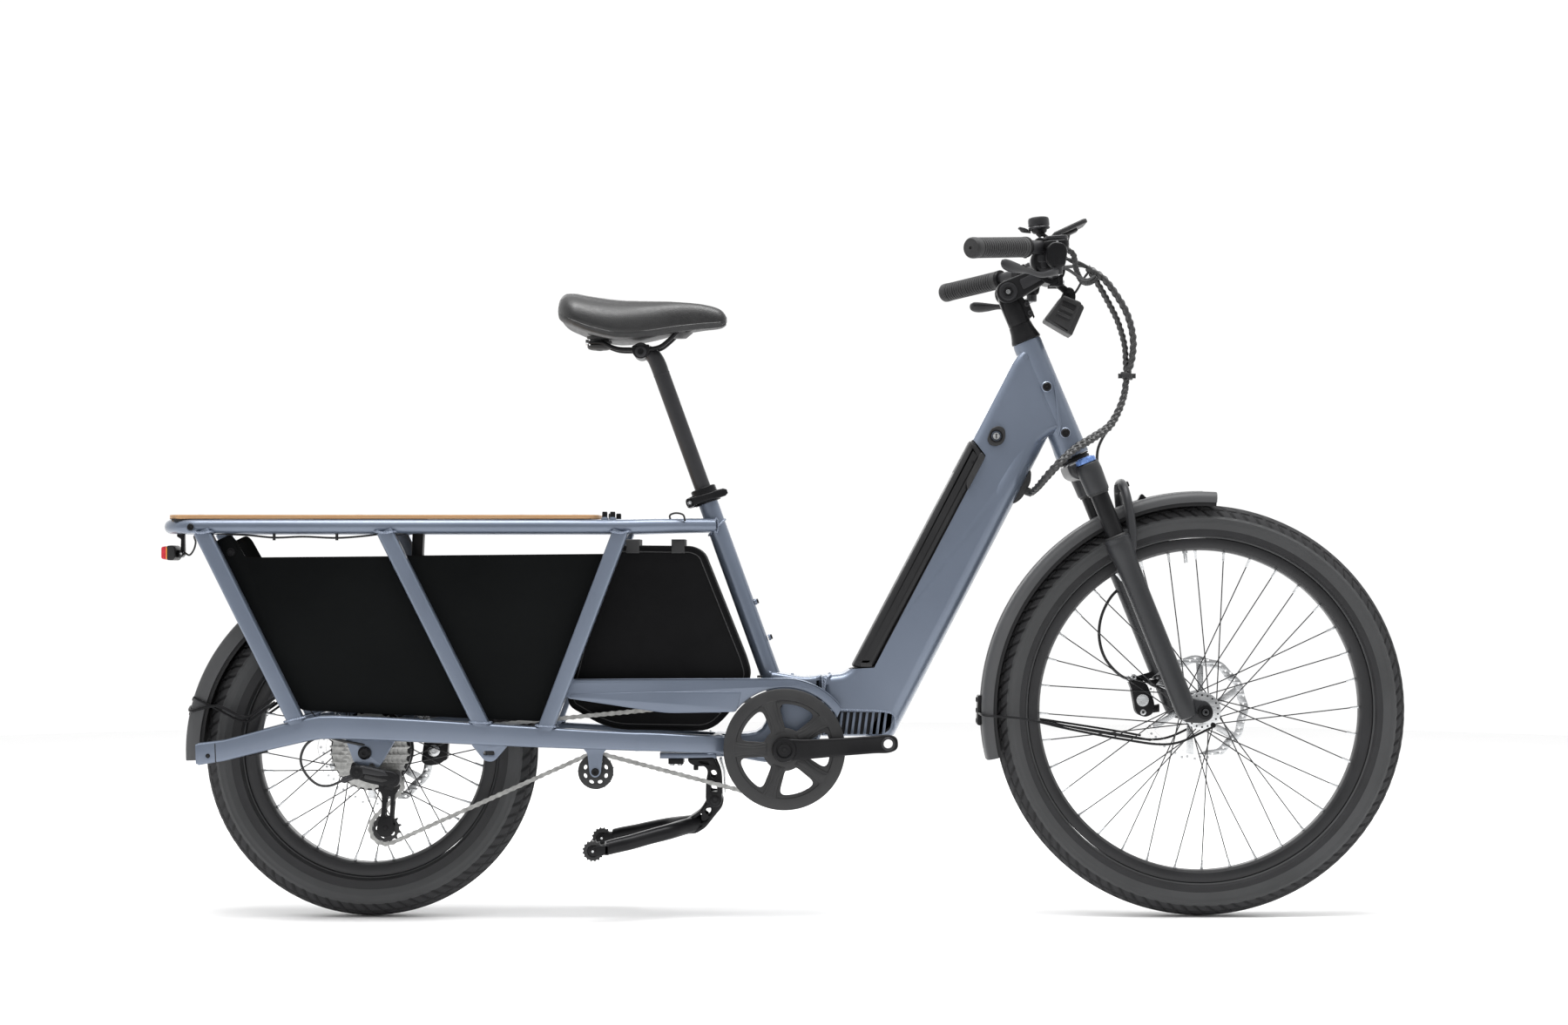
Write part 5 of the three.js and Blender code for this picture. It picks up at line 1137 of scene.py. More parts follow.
lever = Piece("quick_release_blade", "quick_release_lever", ALLOY, STEEL)
lever.at = SEAT
for z0, z1 in ((-6.2, -2.0), (4.0, 8.2)):
    lever.turned([(0, z0), (5.2, z0), (5.8, z0 + 0.6), (5.8, z1 - 0.6), (5.2, z1), (0, z1)], (-27, -27, 0),
                 (0, 0, 1), 28)
lever.tube([(-27, -27, -4), (-27, -27, 6)], 2.0, 14, mark=1, soft=False)
lever.spar([(-23.5, 7.6, -23.5, -5.6, 2.4, 1.6, -31.4), (-16, 7.4, -16, -5.6, 2.6, 1.8, -32.4),
            (-4, 6.4, -4, -5.4, 2.6, 2.0, -32.6), (10, 5.6, 10, -6.0, 2.8, 2.2, -31.6),
            (22, 6.2, 22, -8.0, 3.0, 2.6, -29), (32, 5.0, 32, -8.0, 3.0, 2.6, -26.4),
            (37, 1.6, 37, -5.0, 2.0, 1.8, -25)], steps=4)
lever.done("quick_release_lever", slot="black_alloy", sharp=50)

RAILS = [(-300, 954), (-291, 949), (-275.6, 944), (-255, 943), (-220, 944), (-205, 948), (-193, 957),
         (-177, 972)]
post = Piece("seatpost_tube", "saddle", SATIN, ALLOY, WHITE, SHADE_AND_BLACK)
post.tube([seat_point(-130), seat_point(226)], 13.6, 40, soft=False)
post.turned([(13.65, 218), (13.95, 218.4), (13.95, 221), (13.65, 221.4)], seat_point(0), (-0.34, 0, 0.9405),
            40, closed=True)
post.tube([(*seat_point(222), 13.6), (*seat_point(236), 13.8), (-216.5, 0, 931, 13.2), (-226, 0, 939, 12),
           (-236, 0, 943, 10)], None, 32)
post.turned([(0, -23), (12.4, -23), (13.6, -21.6), (13.6, 21.6), (12.4, 23), (0, 23)], (-238, 0, 941),
            (0, 1, 0), 40)
for side in (-1, 1):
    post.slab(fillet([(-252.5, 948.5), (-252.8, 938), (-247, 929.5), (-238, 926.4), (-229, 929.5),
                      (-223.2, 938), (-223.4, 950.5), (-229, 951), (-232, 947.6), (-244, 947.6),
                      (-247, 950.6)], [3, 6, 6, 8, 6, 6, 2, 2, 2, 2, 2]), min(side * 17, side * 27.4),
              max(side * 17, side * 27.4), 1.6, mark=1)
    post.turned([(5.0, 0), (8.6, 0), (9.6, 0.6), (9.6, 1.8), (8.6, 2.4), (5.0, 2.4)],
                (-238, side * 27, 939), (0, side, 0), 32, mark=0, closed=True)
    post.bolt((-238, side * 26.6, 939), (0, side, 0), 5.2, 2.2, mark=1, hollow=3, key=0.6)
for k in range(6):
    post.at = SEAT
    post.slab([(-1.2 if k % 2 else -2.4, -2 + 10 * k - 60), (1.2 if k % 2 else 2.4, -2 + 10 * k - 60),
               (1.2 if k % 2 else 2.4, -1.4 + 10 * k - 60), (-1.2 if k % 2 else -2.4, -1.4 + 10 * k - 60)],
              12.9, 13.66, 0.1, mark=2)
post.done("seatpost", slot="black_alloy")

# ---------- saddle ----------
SADDLE = [(-95.4, 3, 998, 992, 988), (-98, 12, 1003, 990.5, 985), (-106, 20, 1011, 988.5, 981),
          (-135, 25, 1021, 986, 977.5), (-180, 33, 1025, 980.5, 970.5), (-225, 55, 1025, 971.5, 961),
          (-274, 84, 1026, 966, 957), (-320, 101, 1031.5, 975, 966), (-346, 99, 1036, 985, 976),
          (-362, 84, 1035, 993, 983), (-370, 66, 1028, 999, 990), (-373.4, 46, 1016, 1003, 996)]


def saddle_rows(per=5):
    """Stations along the saddle: x, half width, top, seam and base."""
    rows = smooth_path([(x, 0, top, half, seam, base) for x, half, top, seam, base in SADDLE], per)
    return [(r[0], r[3], r[2], r[4], r[5]) for r in rows]


cushion = Piece("saddle_pad", "saddle", HIDE)
loops = []
for x, half, top, seam, base in saddle_rows():
    crown = top - seam
    wide = min(max((half - 24) / 40, 0), 1)
    loop = []
    for k in range(56):
        angle = math.tau * k / 56
        c, s = math.cos(angle), math.sin(angle)
        y = half * math.copysign(abs(c) ** 0.82, c)
        if s >= 0:
            z = seam + crown * s ** 0.86
            z -= 4.6 * math.exp(-(y / 8.0) ** 2) * min(max((-x - 112) / 40, 0),
                                                       1) * min(max((x + 366) / 24, 0), 1)
            z -= wide * 1.5 * math.exp(-((abs(y) - half * 0.60) / 2.4) ** 2)
            z -= 0.9 * math.exp(-((s - 0.16) / 0.05) ** 2)
        else:
            z = seam + 3.2 * s * min(1, crown / 10)
        loop.append((x, y, z))
    loops.append(loop)
cushion.grid(loops)
cushion_pad = cushion.done("saddle_cushion", slot="leatherette", sharp=80)

shell = Piece("saddle_base", "saddle", BASE, ALLOY, RUBBER, STEEL)
loops = []
for x, half, top, seam, base in saddle_rows(4)[2:-2]:
    lip = half + 0.6
    section = [(lip - 1.4, seam + 1.6), (lip, seam - 0.4), (lip - 1.2, seam - 3.6), (lip - 5, base + 1.6),
               (lip * 0.72, base - 0.4), (lip * 0.35, base + 0.6), (0, base + 1.4)]
    right = [(x, y, z) for y, z in section]
    under = right + [(x, -y, z) for y, z in reversed(section[:-1])]
    loops.append(under + [(x, -lip * 0.5, seam - 1.6), (x, 0, seam - 1.6), (x, lip * 0.5, seam - 1.6)])
shell.grid(loops)
for side in (-1, 1):
    shell.tube([(x, side * 21.2, z) for x, z in RAILS], 3.5, 14, mark=1)
    shell.tube([(-300, side * 21.2, 954), (-312, side * 18, 955), (-322, side * 12, 955)], 3.5, 14, mark=1)
shell.tube([(-177, -21.2, 972), (-170, -14, 976), (-168, 0, 977), (-170, 14, 976), (-177, 21.2, 972)], 3.5,
           14, mark=1)
shell.turned([(0, 943.6), (14, 943.6), (18.4, 945), (20.4, 948), (20.4, 950.4), (15.4, 951.6), (15.4, 954),
              (20.8, 955), (20.8, 958.2), (16, 959.4), (16, 961.4), (21, 962.4), (21, 966), (0, 966)],
             (-308, 0, 0), (0, 0, 1), 40, mark=2)
shell.bolt((-308, 0, 943.8), (0, 0, -1), 6, 1.4, mark=1, hollow=1)
shell.tube([(-331, 0, 956), (-326, 0, 956)], 5.0, 16, mark=3, soft=False)
shell.turned([(0, 963), (11, 963), (22, 972), (0, 976)], (-174, 0, 0), (0, 0, 1), 36, mark=0)
shell.done("saddle_shell", slot="black_plastic", sharp=50)

# ---------- fork ----------
crown = Piece("fork_crown_body", "steering", FORK, ALLOY, PLASTIC, SHADE_AND_BLACK)
crown.at = HEAD
crown.tube([(0, 0, -20), (0, 0, 266)], 14.2, 32, soft=False, mark=1)
crown.turned([(0, -10), (25.4, -10), (26.4, -8.4), (26.2, -4.6), (24.6, -4.0), (24.6, -2.8), (26.6, -2.2),
              (26.4, -0.5), (0, -0.5)], (0, 0, 0), (0, 0, 1), 48, mark=1)
crown.slab(fillet([(-22, -9), (20, -9), (30, -18), (31, -42), (8, -44), (-12, -40), (-22, -30)],
                  [8, 12, 12, 10, 8, 8, 8]), -58, 58, 8.5, steps=5)
for side in (-1, 1):
    y = side * 62
    top = -20 if side < 0 else -11
    crown.turned([(0, -70.5), (17.6, -70.5), (18.8, -69.6), (19.4, -66), (19.6, -56), (20.4, -34),
                  (19.8, top - 2.6), (18.2, top), (0, top)], (9.3, y, 0), (0, 0, 1), 44)
    crown.turned([(15.6, -74.4), (17.0, -73.6), (17.4, -70), (15.6, -70)], (9.3, y, 0), (0, 0, 1), 44,
                 mark=2, closed=True)
    crown.turned([(0, -285), (15.0, -285), (15.0, -60), (0, -60)], (9.3, y, 0), (0, 0, 1), 44, mark=1)
crown.bolt((9.3, 62, -11.4), (0, 0, 1), 9, 3.0, mark=1, hollow=3)
for y in (-30, 30):
    crown.slab(fillet([(6, -40), (24, -38), (26, -47), (4, -47)], 3), y - 6, y + 6, 1.5)
crown.done("fork_crown", slot="fork_paint")

dial = Piece("preload_cap", "preload_dial", BLUE, SHADE_AND_BLACK)
dial.at = HEAD
outline = []
for k in range(120):
    angle = math.tau * k / 120
    reach = 17.0 - 1.1 * max(0.0, math.cos(8 * angle)) ** 6
    outline.append((reach * math.cos(angle), reach * math.sin(angle)))
dial.grid([[(9.3 + x * share, -62 + y * share, z) for x, y in outline]
           for z, share in ((-19.2, 0.92), (-18.2, 1.0), (-12.6, 1.0), (-10.6, 0.94))])
dial.turned([(0, -10.8), (12.8, -10.8), (12.0, -9.0), (8, -8.2), (0, -8.2)], (9.3, -62, 0), (0, 0, 1), 36)
dial.slab([(2.3, -8.4), (16.3, -8.4), (16.3, -7.2), (2.3, -7.2)], -63.4, -60.6, 0.2, mark=1)
dial.done("preload_dial", slot="blue_cap", sharp=40)

lowers = Piece("fork_lower_legs", "fork_lowers", FORK, ALLOY, PLASTIC, SHADE_AND_BLACK)
lowers.at = HEAD
for side in (-1, 1):
    y = side * 62
    lowers.turned([(16.2, -150.6), (19.6, -150.6), (21.6, -151.6), (22.2, -156), (21.4, -158.4),
                   (21.8, -160), (22.4, -166), (21.6, -178), (19.6, -190), (18.5, -210), (18.0, -260),
                   (17.9, -440), (17.3, -458), (15.2, -468), (10, -471), (0, -471), (0, -440),
                   (16.2, -440)], (9.3, y, 0), (0, 0, 1), 48, closed=True)
    lowers.turned([(15.3, -146.6), (17.8, -146.6), (19.2, -148.4), (19.4, -151), (15.3, -151)], (9.3, y, 0),
                  (0, 0, 1), 44, mark=2, closed=True)
    lowers.slab(fillet([(-6, -440), (18, -434), (30, -446), (48, -456), (52, -472), (46, -486), (28, -488),
                        (-2, -474)], [6, 8, 10, 10, 12, 12, 10, 10]), side * 57 - 6.8, side * 57 + 6.8, 2.6)
    lowers.turned([(0, 0), (11.5, 0), (12.2, 0.8), (12.2, 4.4), (11, 5.4), (7.0, 5.4), (6.2, 3), (0, 3)],
                  (37.4, side * 63, -471.5), (0, side, 0), 40, mark=1)
    lowers.turned([(2.2, 0), (5.4, 0), (5.6, 1), (5.6, 6.4), (4.6, 7.2), (2.2, 7.2)],
                  (37.4, side * 65, -471.5), (0, side, 0), 36, mark=0 if side < 0 else 1, closed=True)
    lowers.bolt((9.3, y, -470.6), (0, 0, -1), 6.0, 2.0, mark=1, hollow=3)
    lowers.spar([(2, -156, 32, -154, 4.5, 3.6, side * 62), (16, -140, 40, -146, 4.5, 3.6, side * 61)],
                steps=4)
arch = [(20, -61, -182, 10.0), (33, -61, -160, 8.6), (43, -59, -130, 7.8), (50, -53, -102, 7.4),
        (54, -40, -84, 7.4), (56, -22, -76, 7.8), (57, 0, -74, 8.2)]
lowers.tube(arch + [(x, -y, z, r) for x, y, z, r in reversed(arch[:-1])], None, 20, 6, flat=1.25)
lowers.tube([(37.4, -66, -471.5), (37.4, 66, -471.5)], 6, 24, mark=1, soft=False)
for y in (-12, 0, 12):
    lowers.slab(fillet([(44, -84), (48, -70), (62, -70), (64, -86)], 2), y - 1.4, y + 1.4, 0.5)
lowers.bolt((66.5, 0, -77), (1, 0, 0), 4.6, 3.0, mark=1, hollow=3)
lowers.done("fork_lowers", slot="fork_paint", sharp=40)


# ---------- wheels ----------
def tyre(name, node, body, centre, outer, half, bead, bead_half, blocks):
    """A tyre with a centre groove pair, angled shoulder cuts and fine sidewall lines; the cut grooves take
    the near-black painted shade.
    """
    piece = Piece(name, body, TYRE, TREAD, SHADE_AND_BLACK)
    depth = outer - bead
    arch = []
    for i in range(45):
        u = -1 + 2 * i / 44
        a = math.pi * (0.5 + 0.54 * u)
        arch.append((bead + depth * 0.5 + depth * 0.5 * math.sin(a), -math.cos(a) * half, u))
    around = blocks * 10
    inner = [(bead + 1, bead_half - 3), (bead + 6, half - 7), (outer - depth * 0.45, half - 5),
             (outer - 6, half * 0.45), (outer - 5, 0), (outer - 6, -half * 0.45),
             (outer - depth * 0.45, -half + 5), (bead + 6, -half + 7), (bead + 1, -bead_half + 3)]
    loops, marks = [], []
    for k in range(around):
        angle = math.tau * k / around
        loop, low = [(bead + 0.6, -bead_half)], [0]
        for r, y, u in arch:
            drop, size = 0.0, abs(u)
            if size < 0.77:
                phase = (k / 10.0 + 2.4 * size + (0.5 if u > 0 else 0.0)) % 1.0
                if 0.17 < size and phase < 0.26:
                    drop = 2.3
                if abs(size - 0.12) < 0.025 or abs(size - 0.46) < 0.025:
                    drop = 1.9
                if 0.70 < size:
                    drop *= 0.6
            elif abs(size - 0.81) < 0.02 or abs(size - 0.93) < 0.02:
                drop = -0.8
            elif abs(size - 0.90) < 0.015:
                drop = 0.6
            steep = math.pi * (0.5 + 0.54 * u)
            loop.append((r - drop * math.sin(steep), y + drop * math.cos(steep), u))
            # Cut grooves get mark 2, the near-black painted shade; the tread face mark 1, the sidewall mark
            # 0.
            low.append(2 if drop > 1.0 else 1 if size < 0.77 else 0)
        loop.append((bead + 0.6, bead_half))
        low.append(0)
        row = [(p[0], p[1]) for p in loop] + inner
        marks.append(low + [1] * len(inner))
        loops.append([Vector((centre[0] + r * math.cos(angle), y, centre[1] + r * math.sin(angle)))
                      for r, y in row])
    first = len(piece.faces)
    piece.grid(loops, round_trip=True)
    width = len(loops[0])
    for number in range(first, len(piece.faces)):
        row, column = divmod(number - first, width)
        piece.marks[number] = marks[row][column]
    return piece.done(node, slot="tyre", sharp=28)


tyre("front_tyre_tread", "front_tyre", "front_wheel", FRONT_AXLE, 342.2, 33, 287.0, 17.5, 96)
tyre("rear_tyre_tread", "rear_tyre", "rear_wheel", REAR_AXLE, 276.2, 38, 210.0, 19.5, 80)


def rim(name, node, body, centre, inner, outer, half):
    piece = Piece(name, body, RIM, STEEL)
    profile = [(inner, -half * 0.40), (inner + 1.2, -half * 0.62), (inner + 4.4, -half * 0.90),
               (inner + 8, -half * 0.985), (outer - 2, -half), (outer, -half * 0.97),
               (outer + 0.6, -half * 0.92), (outer - 8, -half * 0.84), (outer - 11, -half * 0.5),
               (outer - 12, 0), (outer - 11, half * 0.5), (outer - 8, half * 0.84),
               (outer + 0.6, half * 0.92), (outer, half * 0.97), (outer - 2, half),
               (inner + 8, half * 0.985), (inner + 4.4, half * 0.90), (inner + 1.2, half * 0.62),
               (inner, half * 0.40)]
    piece.turned(profile, (centre[0], 0, centre[1]), (0, 1, 0), 144, closed=True)
    angle = math.tau * 9.5 / SPOKE_COUNT
    way = Vector((math.cos(angle), 0, math.sin(angle)))
    start = Vector((centre[0], 0, centre[1])) + way * (inner - 20)
    piece.turned([(0, 0), (2.6, 0), (3.0, 1), (3.0, 15), (4.4, 16), (4.4, 21), (0, 21)], start, way, 16,
                 mark=1)
    return piece.done(node, slot="rim_alloy")


rim("front_rim_hoop", "front_rim", "front_wheel", FRONT_AXLE, 266.5, 286.4, 17.5)
rim("rear_rim_hoop", "rear_rim", "rear_wheel", REAR_AXLE, 187.0, 209.4, 19.5)


def spokes(piece, centre, flange, flange_half, reach, lean):
    """Thirty-six crossed spokes with bright nipples."""
    for i in range(SPOKE_COUNT):
        side = 1 if i % 2 else -1
        lead = 1 if (i // 2) % 2 else -1
        a = math.tau * i / SPOKE_COUNT + 0.02
        b = a + lead * lean
        out = side * (flange_half + 1.6 * lead)
        start = Vector((centre[0] + flange * math.cos(b), out, centre[1] + flange * math.sin(b)))
        end = Vector((centre[0] + reach * math.cos(a), side * 4, centre[1] + reach * math.sin(a)))
        way = (end - start).normalized()
        piece.tube([start, start + way * 8], NIPPLE_RADIUS, 8, soft=False)
        piece.tube([start + way * 6, end], SPOKE_RADIUS, 8, soft=False)
        piece.turned([(0, -15), (1.5, -15), (1.9, -14), (1.9, -4), (2.5, -3), (2.5, 0), (0, 0)], end, way,
                     8, mark=1)
        piece.turned([(0, -2.0), (1.9, -2.0), (1.9, -0.8), (0, -0.8)],
                     start + Vector((0, side * lead * 1.4, 0)), (0, side * lead, 0), 10, mark=1)


hub = Piece("front_hub_laced", "front_wheel", SPOKE, STEEL, ALLOY, SHADE_AND_BLACK)
spokes(hub, FRONT_AXLE, 26.5, 31.5, 266.4, 1.02)
for side in (-1, 1):
    hub.turned([(7, 49), (11.4, 49), (12.2, 48), (12.8, 36.6), (24, 34.4), (30, 34.2), (31.2, 33.4),
                (31.2, 30.2), (30, 29.4), (22, 27.8), (18, 24), (17, 0), (7, 0)],
               (FRONT_AXLE[0], 0, FRONT_AXLE[1]), (0, side, 0), 56, mark=1, closed=True)
    hub.turned([(7, 49.2), (10.2, 49.2), (10.2, 50), (7, 50)], (FRONT_AXLE[0], 0, FRONT_AXLE[1]),
               (0, side, 0), 40, mark=2, closed=True)
    # Each spoke hole is a near-black disc, painted shade standing for the hole.
    for k in range(18):
        angle = math.tau * (k + 0.5) / 18
        hub.turned([(0, 0), (1.7, 0), (1.7, 0.4), (0, 0.4)],
                   (FRONT_AXLE[0] + 26.5 * math.cos(angle), side * 34.15,
                    FRONT_AXLE[1] + 26.5 * math.sin(angle)), (0, side, 0), 10, mark=3)
hub.done("front_hub_spokes", slot="spoke_steel")

motor = Piece("rear_hub_motor", "rear_wheel", SPOKE, STEEL, ALLOY, SHADE_AND_BLACK)
spokes(motor, REAR_AXLE, 62.5, 15, 186.4, 0.42)
motor.turned([(7, -25.4), (20, -25.4), (23, -24.4), (26, -24.4), (56, -22.6), (60, -21.6), (64, -20.4),
              (66.4, -18.6), (66.4, -12.4), (62, -10.4), (60, -8), (60, 8), (62, 10.4), (66.4, 12.4),
              (66.4, 18.6), (64, 20.4), (60, 23.6), (34, 29.6), (28, 31), (16, 34), (13.4, 36),
              (13.4, 63.6), (7, 63.6)], (REAR_AXLE[0], 0, REAR_AXLE[1]), (0, 1, 0), 72, mark=2, closed=True)
for k in range(8):
    angle = math.tau * (k + 0.5) / 8
    motor.bolt((REAR_AXLE[0] + 48 * math.cos(angle), 25.4, REAR_AXLE[1] + 48 * math.sin(angle)), (0, 1, 0),
               3.2, 1.8, mark=1, hollow=3)
motor.done("rear_hub_spokes", slot="spoke_steel")


def rotor(name, node, body, centre, radius, y0, y1, wide):
    piece = Piece(name, body, STEEL, ALLOY, SHADE_AND_BLACK)
    outline = []
    for k in range(144):
        angle = math.tau * k / 144
        reach = radius - 1.6 + 1.6 * math.cos(12 * angle)
        outline.append((centre[0] + reach * math.cos(angle), centre[1] + reach * math.sin(angle)))
    inside = []
    for k in range(144):
        angle = math.tau * k / 144
        reach = radius - wide + 2.0 * math.cos(12 * angle)
        inside.append((centre[0] + reach * math.cos(angle), centre[1] + reach * math.sin(angle)))
    holes = [inside]
    for k in range(24):
        for reach, angle in ((radius - 5.4, 15 * k), (radius - wide + 6.6, 15 * k + 6)):
            way = math.radians(angle)
            holes.append(ring(centre[0] + reach * math.cos(way), centre[1] + reach * math.sin(way), 1.9, 8))
    piece.slab(outline, y0, y1, 0.2, holes, steps=1)
    inner = radius - wide + 2
    for k in range(6):
        a = math.tau * k / 6
        corners = []
        for reach, shift in ((19, -0.26), (inner, 0.34), (inner, 0.50), (19, 0.20)):
            corners.append((centre[0] + reach * math.cos(a + shift),
                            centre[1] + reach * math.sin(a + shift)))
        piece.slab(corners, y0 + 0.05, y1 - 0.05, 0.2, steps=1)
    piece.slab(ring(*centre, 22, 48), y0 - 0.3, y1 + 0.3, 0.3, [ring(*centre, 13.8, 40)], mark=0, steps=1)
    for k in range(6):
        a = math.tau * (k + 0.3) / 6
        piece.bolt((centre[0] + 18 * math.cos(a), y1 + 0.3, centre[1] + 18 * math.sin(a)), (0, 1, 0), 2.8,
                   1.4, mark=1, hollow=2)
    return piece.done(node, slot="steel")


rotor("front_brake_disc", "front_rotor", "front_wheel", FRONT_AXLE, 90, 38, 40, 15)
rotor("rear_brake_disc", "rear_rotor", "rear_wheel", REAR_AXLE, 101, 48, 50, 16)

# ---------- brake calipers and hoses ----------
callipers = Piece("front_caliper_body", "fork_lowers", ALLOY, STEEL, PLASTIC, SHADE_AND_BLACK)
middle = (601, 358)
for y0, y1 in ((28, 36.4), (41.6, 53)):
    callipers.slab(fillet([(583, 384), (592, 334), (608, 328), (621, 334), (624, 352), (610, 386),
                           (596, 391)], [5, 8, 6, 6, 8, 8, 8]), y0, y1, 2.2, steps=3)
callipers.slab(fillet([(580, 388), (594, 394), (600, 380), (586, 372)], 3), 29, 52, 1.6)
callipers.turned([(0, 0), (9.6, 0), (10.4, 0.6), (10.4, 1.6), (9, 2.4), (5, 2.4), (4.4, 1.6), (0, 1.6)],
                 (603, 53, 357), (0, 1, 0), 32, mark=1)
callipers.turned([(0, 0), (9.6, 0), (10.2, 0.6), (4.4, 0.8), (0, 0.4)], (603, 28, 357), (0, -1, 0), 32,
                 mark=1)
callipers.spar([(583, 402, 594, 398, 5.5, 3, 42), (612, 392, 620, 380, 6, 4, 49),
                (640, 388, 640, 372, 6.5, 4, 52)])
callipers.spar([(606, 344, 600, 332, 5, 3, 48), (634, 350, 634, 336, 6.5, 4, 52)])
for x, z in ((588, 396), (604, 337)):
    callipers.bolt((x, 28.2, z), (0, -1, 0), 5.0, 1.0, mark=1, hollow=3)
callipers.slab(fillet([(594, 396), (640, 410), (668, 423), (664, 412), (640, 399), (600, 386)], 3), 50, 56,
               1.4, mark=0)
hose = [(582, 40, 392), (571, 38, 396), (556, 38, 408), (540, 40, 430), (532, 44, 462), (536, 50, 496),
        (552, 58, 528), (575, 66, 552), (592, 78, 575), (584, 87, 606), (576, 91, 632)]
callipers.tube(hose, 2.5, 14, mark=2)
callipers.turned([(0, 0), (4.2, 0), (4.6, 1), (4.6, 9), (3.2, 11), (0, 11)], (586, 40, 390),
                 (-0.9, 0, 0.42), 20, mark=1)
for p in ((578, 66, 555), (583, 88, 610)):
    callipers.block(p[0] - 4, p[0] + 4, p[1] - 4.4, p[1] + 4.4, p[2] - 3, p[2] + 3, 1.2, mark=2)
callipers.done("front_caliper", slot="black_alloy")
riser = Piece("front_hose_upper", "fork_lowers", PLASTIC)
riser.tube([(576, 91, 632), (566, 94, 666), (549, 92, 706), (534, 72, 746), (528, 34, 776), (532, -8, 798),
            (538, -34, 810)], 2.5, 14)
riser_cord = riser.done(ride=False)
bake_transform(riser_cord)

rear_calliper = Piece("rear_caliper_body", "root", ALLOY, STEEL, PLASTIC, SHADE_AND_BLACK)
for y0, y1 in ((38.2, 46.2), (51.8, 62)):
    rear_calliper.slab(fillet([(-612, 252), (-606, 294), (-590, 298), (-570, 292), (-566, 262), (-580, 248),
                               (-600, 246)], [6, 8, 8, 8, 8, 8, 6]), y0, y1, 2.2, steps=3)
rear_calliper.slab(fillet([(-584, 250), (-568, 256), (-566, 290), (-582, 294)], 4), 40, 60, 1.6)
for y, way in ((62, 1), (38.2, -1)):
    rear_calliper.turned([(0, 0), (9.6, 0), (10.4, 0.6), (10.4, 1.6), (9, 2.4), (5, 2.4), (4.4, 1.6),
                          (0, 1.6)], (-590, y, 272), (0, way, 0), 32, mark=1)
rear_calliper.slab(fillet([(-604, 290), (-574, 288), (-570, 300), (-608, 302)], 3), 58, 67, 1.4)
for x in (-600, -578):
    rear_calliper.bolt((x, 62.5, 284), (0, 1, 0), 4.6, 4.0, mark=1, hollow=3)
rear_calliper.tube([(-572, 44, 292), (-558, 46, 300), (-540, 56, 298), (-500, 64, 300), (-430, 66, 300),
                    (-330, 66, 296), (-250, 62, 294)], 2.4, 14, mark=2)
rear_calliper.done("rear_caliper", slot="black_alloy")

# ---------- cassette and crankset ----------
COG_R, RING_R = 24.5, 85.0
cogs = Piece("cassette_cogs", "cassette", CHAIN, SHADE_AND_BLACK, ALLOY)
tip_circles = ((66.8, -30.4, 32), (59, -34.2, 28), (51.4, -38.2, 24), (44.4, -42.2, 21), (37.4, -46.2, 18),
               (31.0, -50, 15), (26.6, -53.2, 13), (24.4, -57.6, 12), (22.2, -60.4, 11))
for reach, y, teeth in tip_circles:
    cogs.slab(toothed(*REAR_AXLE, reach - 4.4, reach, teeth), y, y + 1.7, 0.3, [ring(*REAR_AXLE, 15.6, 30)],
              steps=1)
cogs.turned([(9, -28.2), (50, -28.2), (54, -29.4), (30, -40), (20, -50), (16.8, -61.2), (9, -61.2)],
            (REAR_AXLE[0], 0, REAR_AXLE[1]), (0, 1, 0), 48, mark=1, closed=True)
cogs.turned([(9, -61.4), (16.4, -61.4), (15.4, -62.6), (9, -62.6)], (REAR_AXLE[0], 0, REAR_AXLE[1]),
            (0, 1, 0), 40, mark=2, closed=True)
cogs.done("cassette", slot="chain_steel")


def crank_arm(name, node, side, slot):
    """One crank arm, tapering to its pedal eye."""
    piece = Piece(name, "crankset", ALLOY, SHADE_AND_BLACK, SATIN)
    piece.at = Matrix.Translation((CRANK[0], 0, CRANK[1])) @ turned_about_y(0, 0, 3.5 if side < 0 else 183.5)
    y = side * 88
    outline = fillet([(0, 19.4), (0, 19.4), (26, 15.6), (90, 13.6), (150, 14.2), (170, 15.6), (186, 10),
                      (186, -10), (170, -15.6), (150, -14.2), (90, -15.2), (26, -17.6), (0, -19.4)],
                     [0, 0, 22, 30, 14, 12, 13, 13, 12, 14, 30, 22, 0])
    arc = ring(0, 0, 19.4, 25, 90 + 0.5, 179)
    outline = [p for p in outline if p[0] > 0.5] + [(x, z) for x, z in reversed(arc)]
    hole = ring(170, 0, 7.6, 28)
    piece.slab(outline, y - 6.2, y + 6.2, 2.6, [hole], steps=4)
    face = y + side * 6.2
    piece.turned([(7.6, -12), (10.4, -12), (11.2, -11), (11.2, 1.6), (10.4, 2.2), (7.6, 2.2)],
                 (170, face, 0), (0, side, 0), 32, mark=2, closed=True)
    piece.turned([(0, -15.4), (18.6, -15.4), (19.6, -14), (19.8, 0.6), (18.8, 2.4), (13.4, 3.0),
                  (12.6, 1.6), (11.4, 1.2), (10.6, 2.2), (4.6, 2.2), (4.2, 0.6), (0, 0.6)], (0, face, 0),
                 (0, side, 0), 48)
    piece.bolt((0, face + side * 0.4, 0), (0, side, 0), 6.0, 2.0, mark=0, hollow=1, key=0.62)
    if side > 0:
        piece.turned([(0, 6), (8.8, 6), (8.8, -172), (0, -172)], (0, face, 0), (0, 1, 0), 32, mark=2)
    return piece.done(node, slot=slot, sharp=36)


crank_arm("crank_arm_right", "crank_right", -1, "crank_alloy")
crank_arm("crank_arm_left", "crank_left", 1, "crank_alloy")

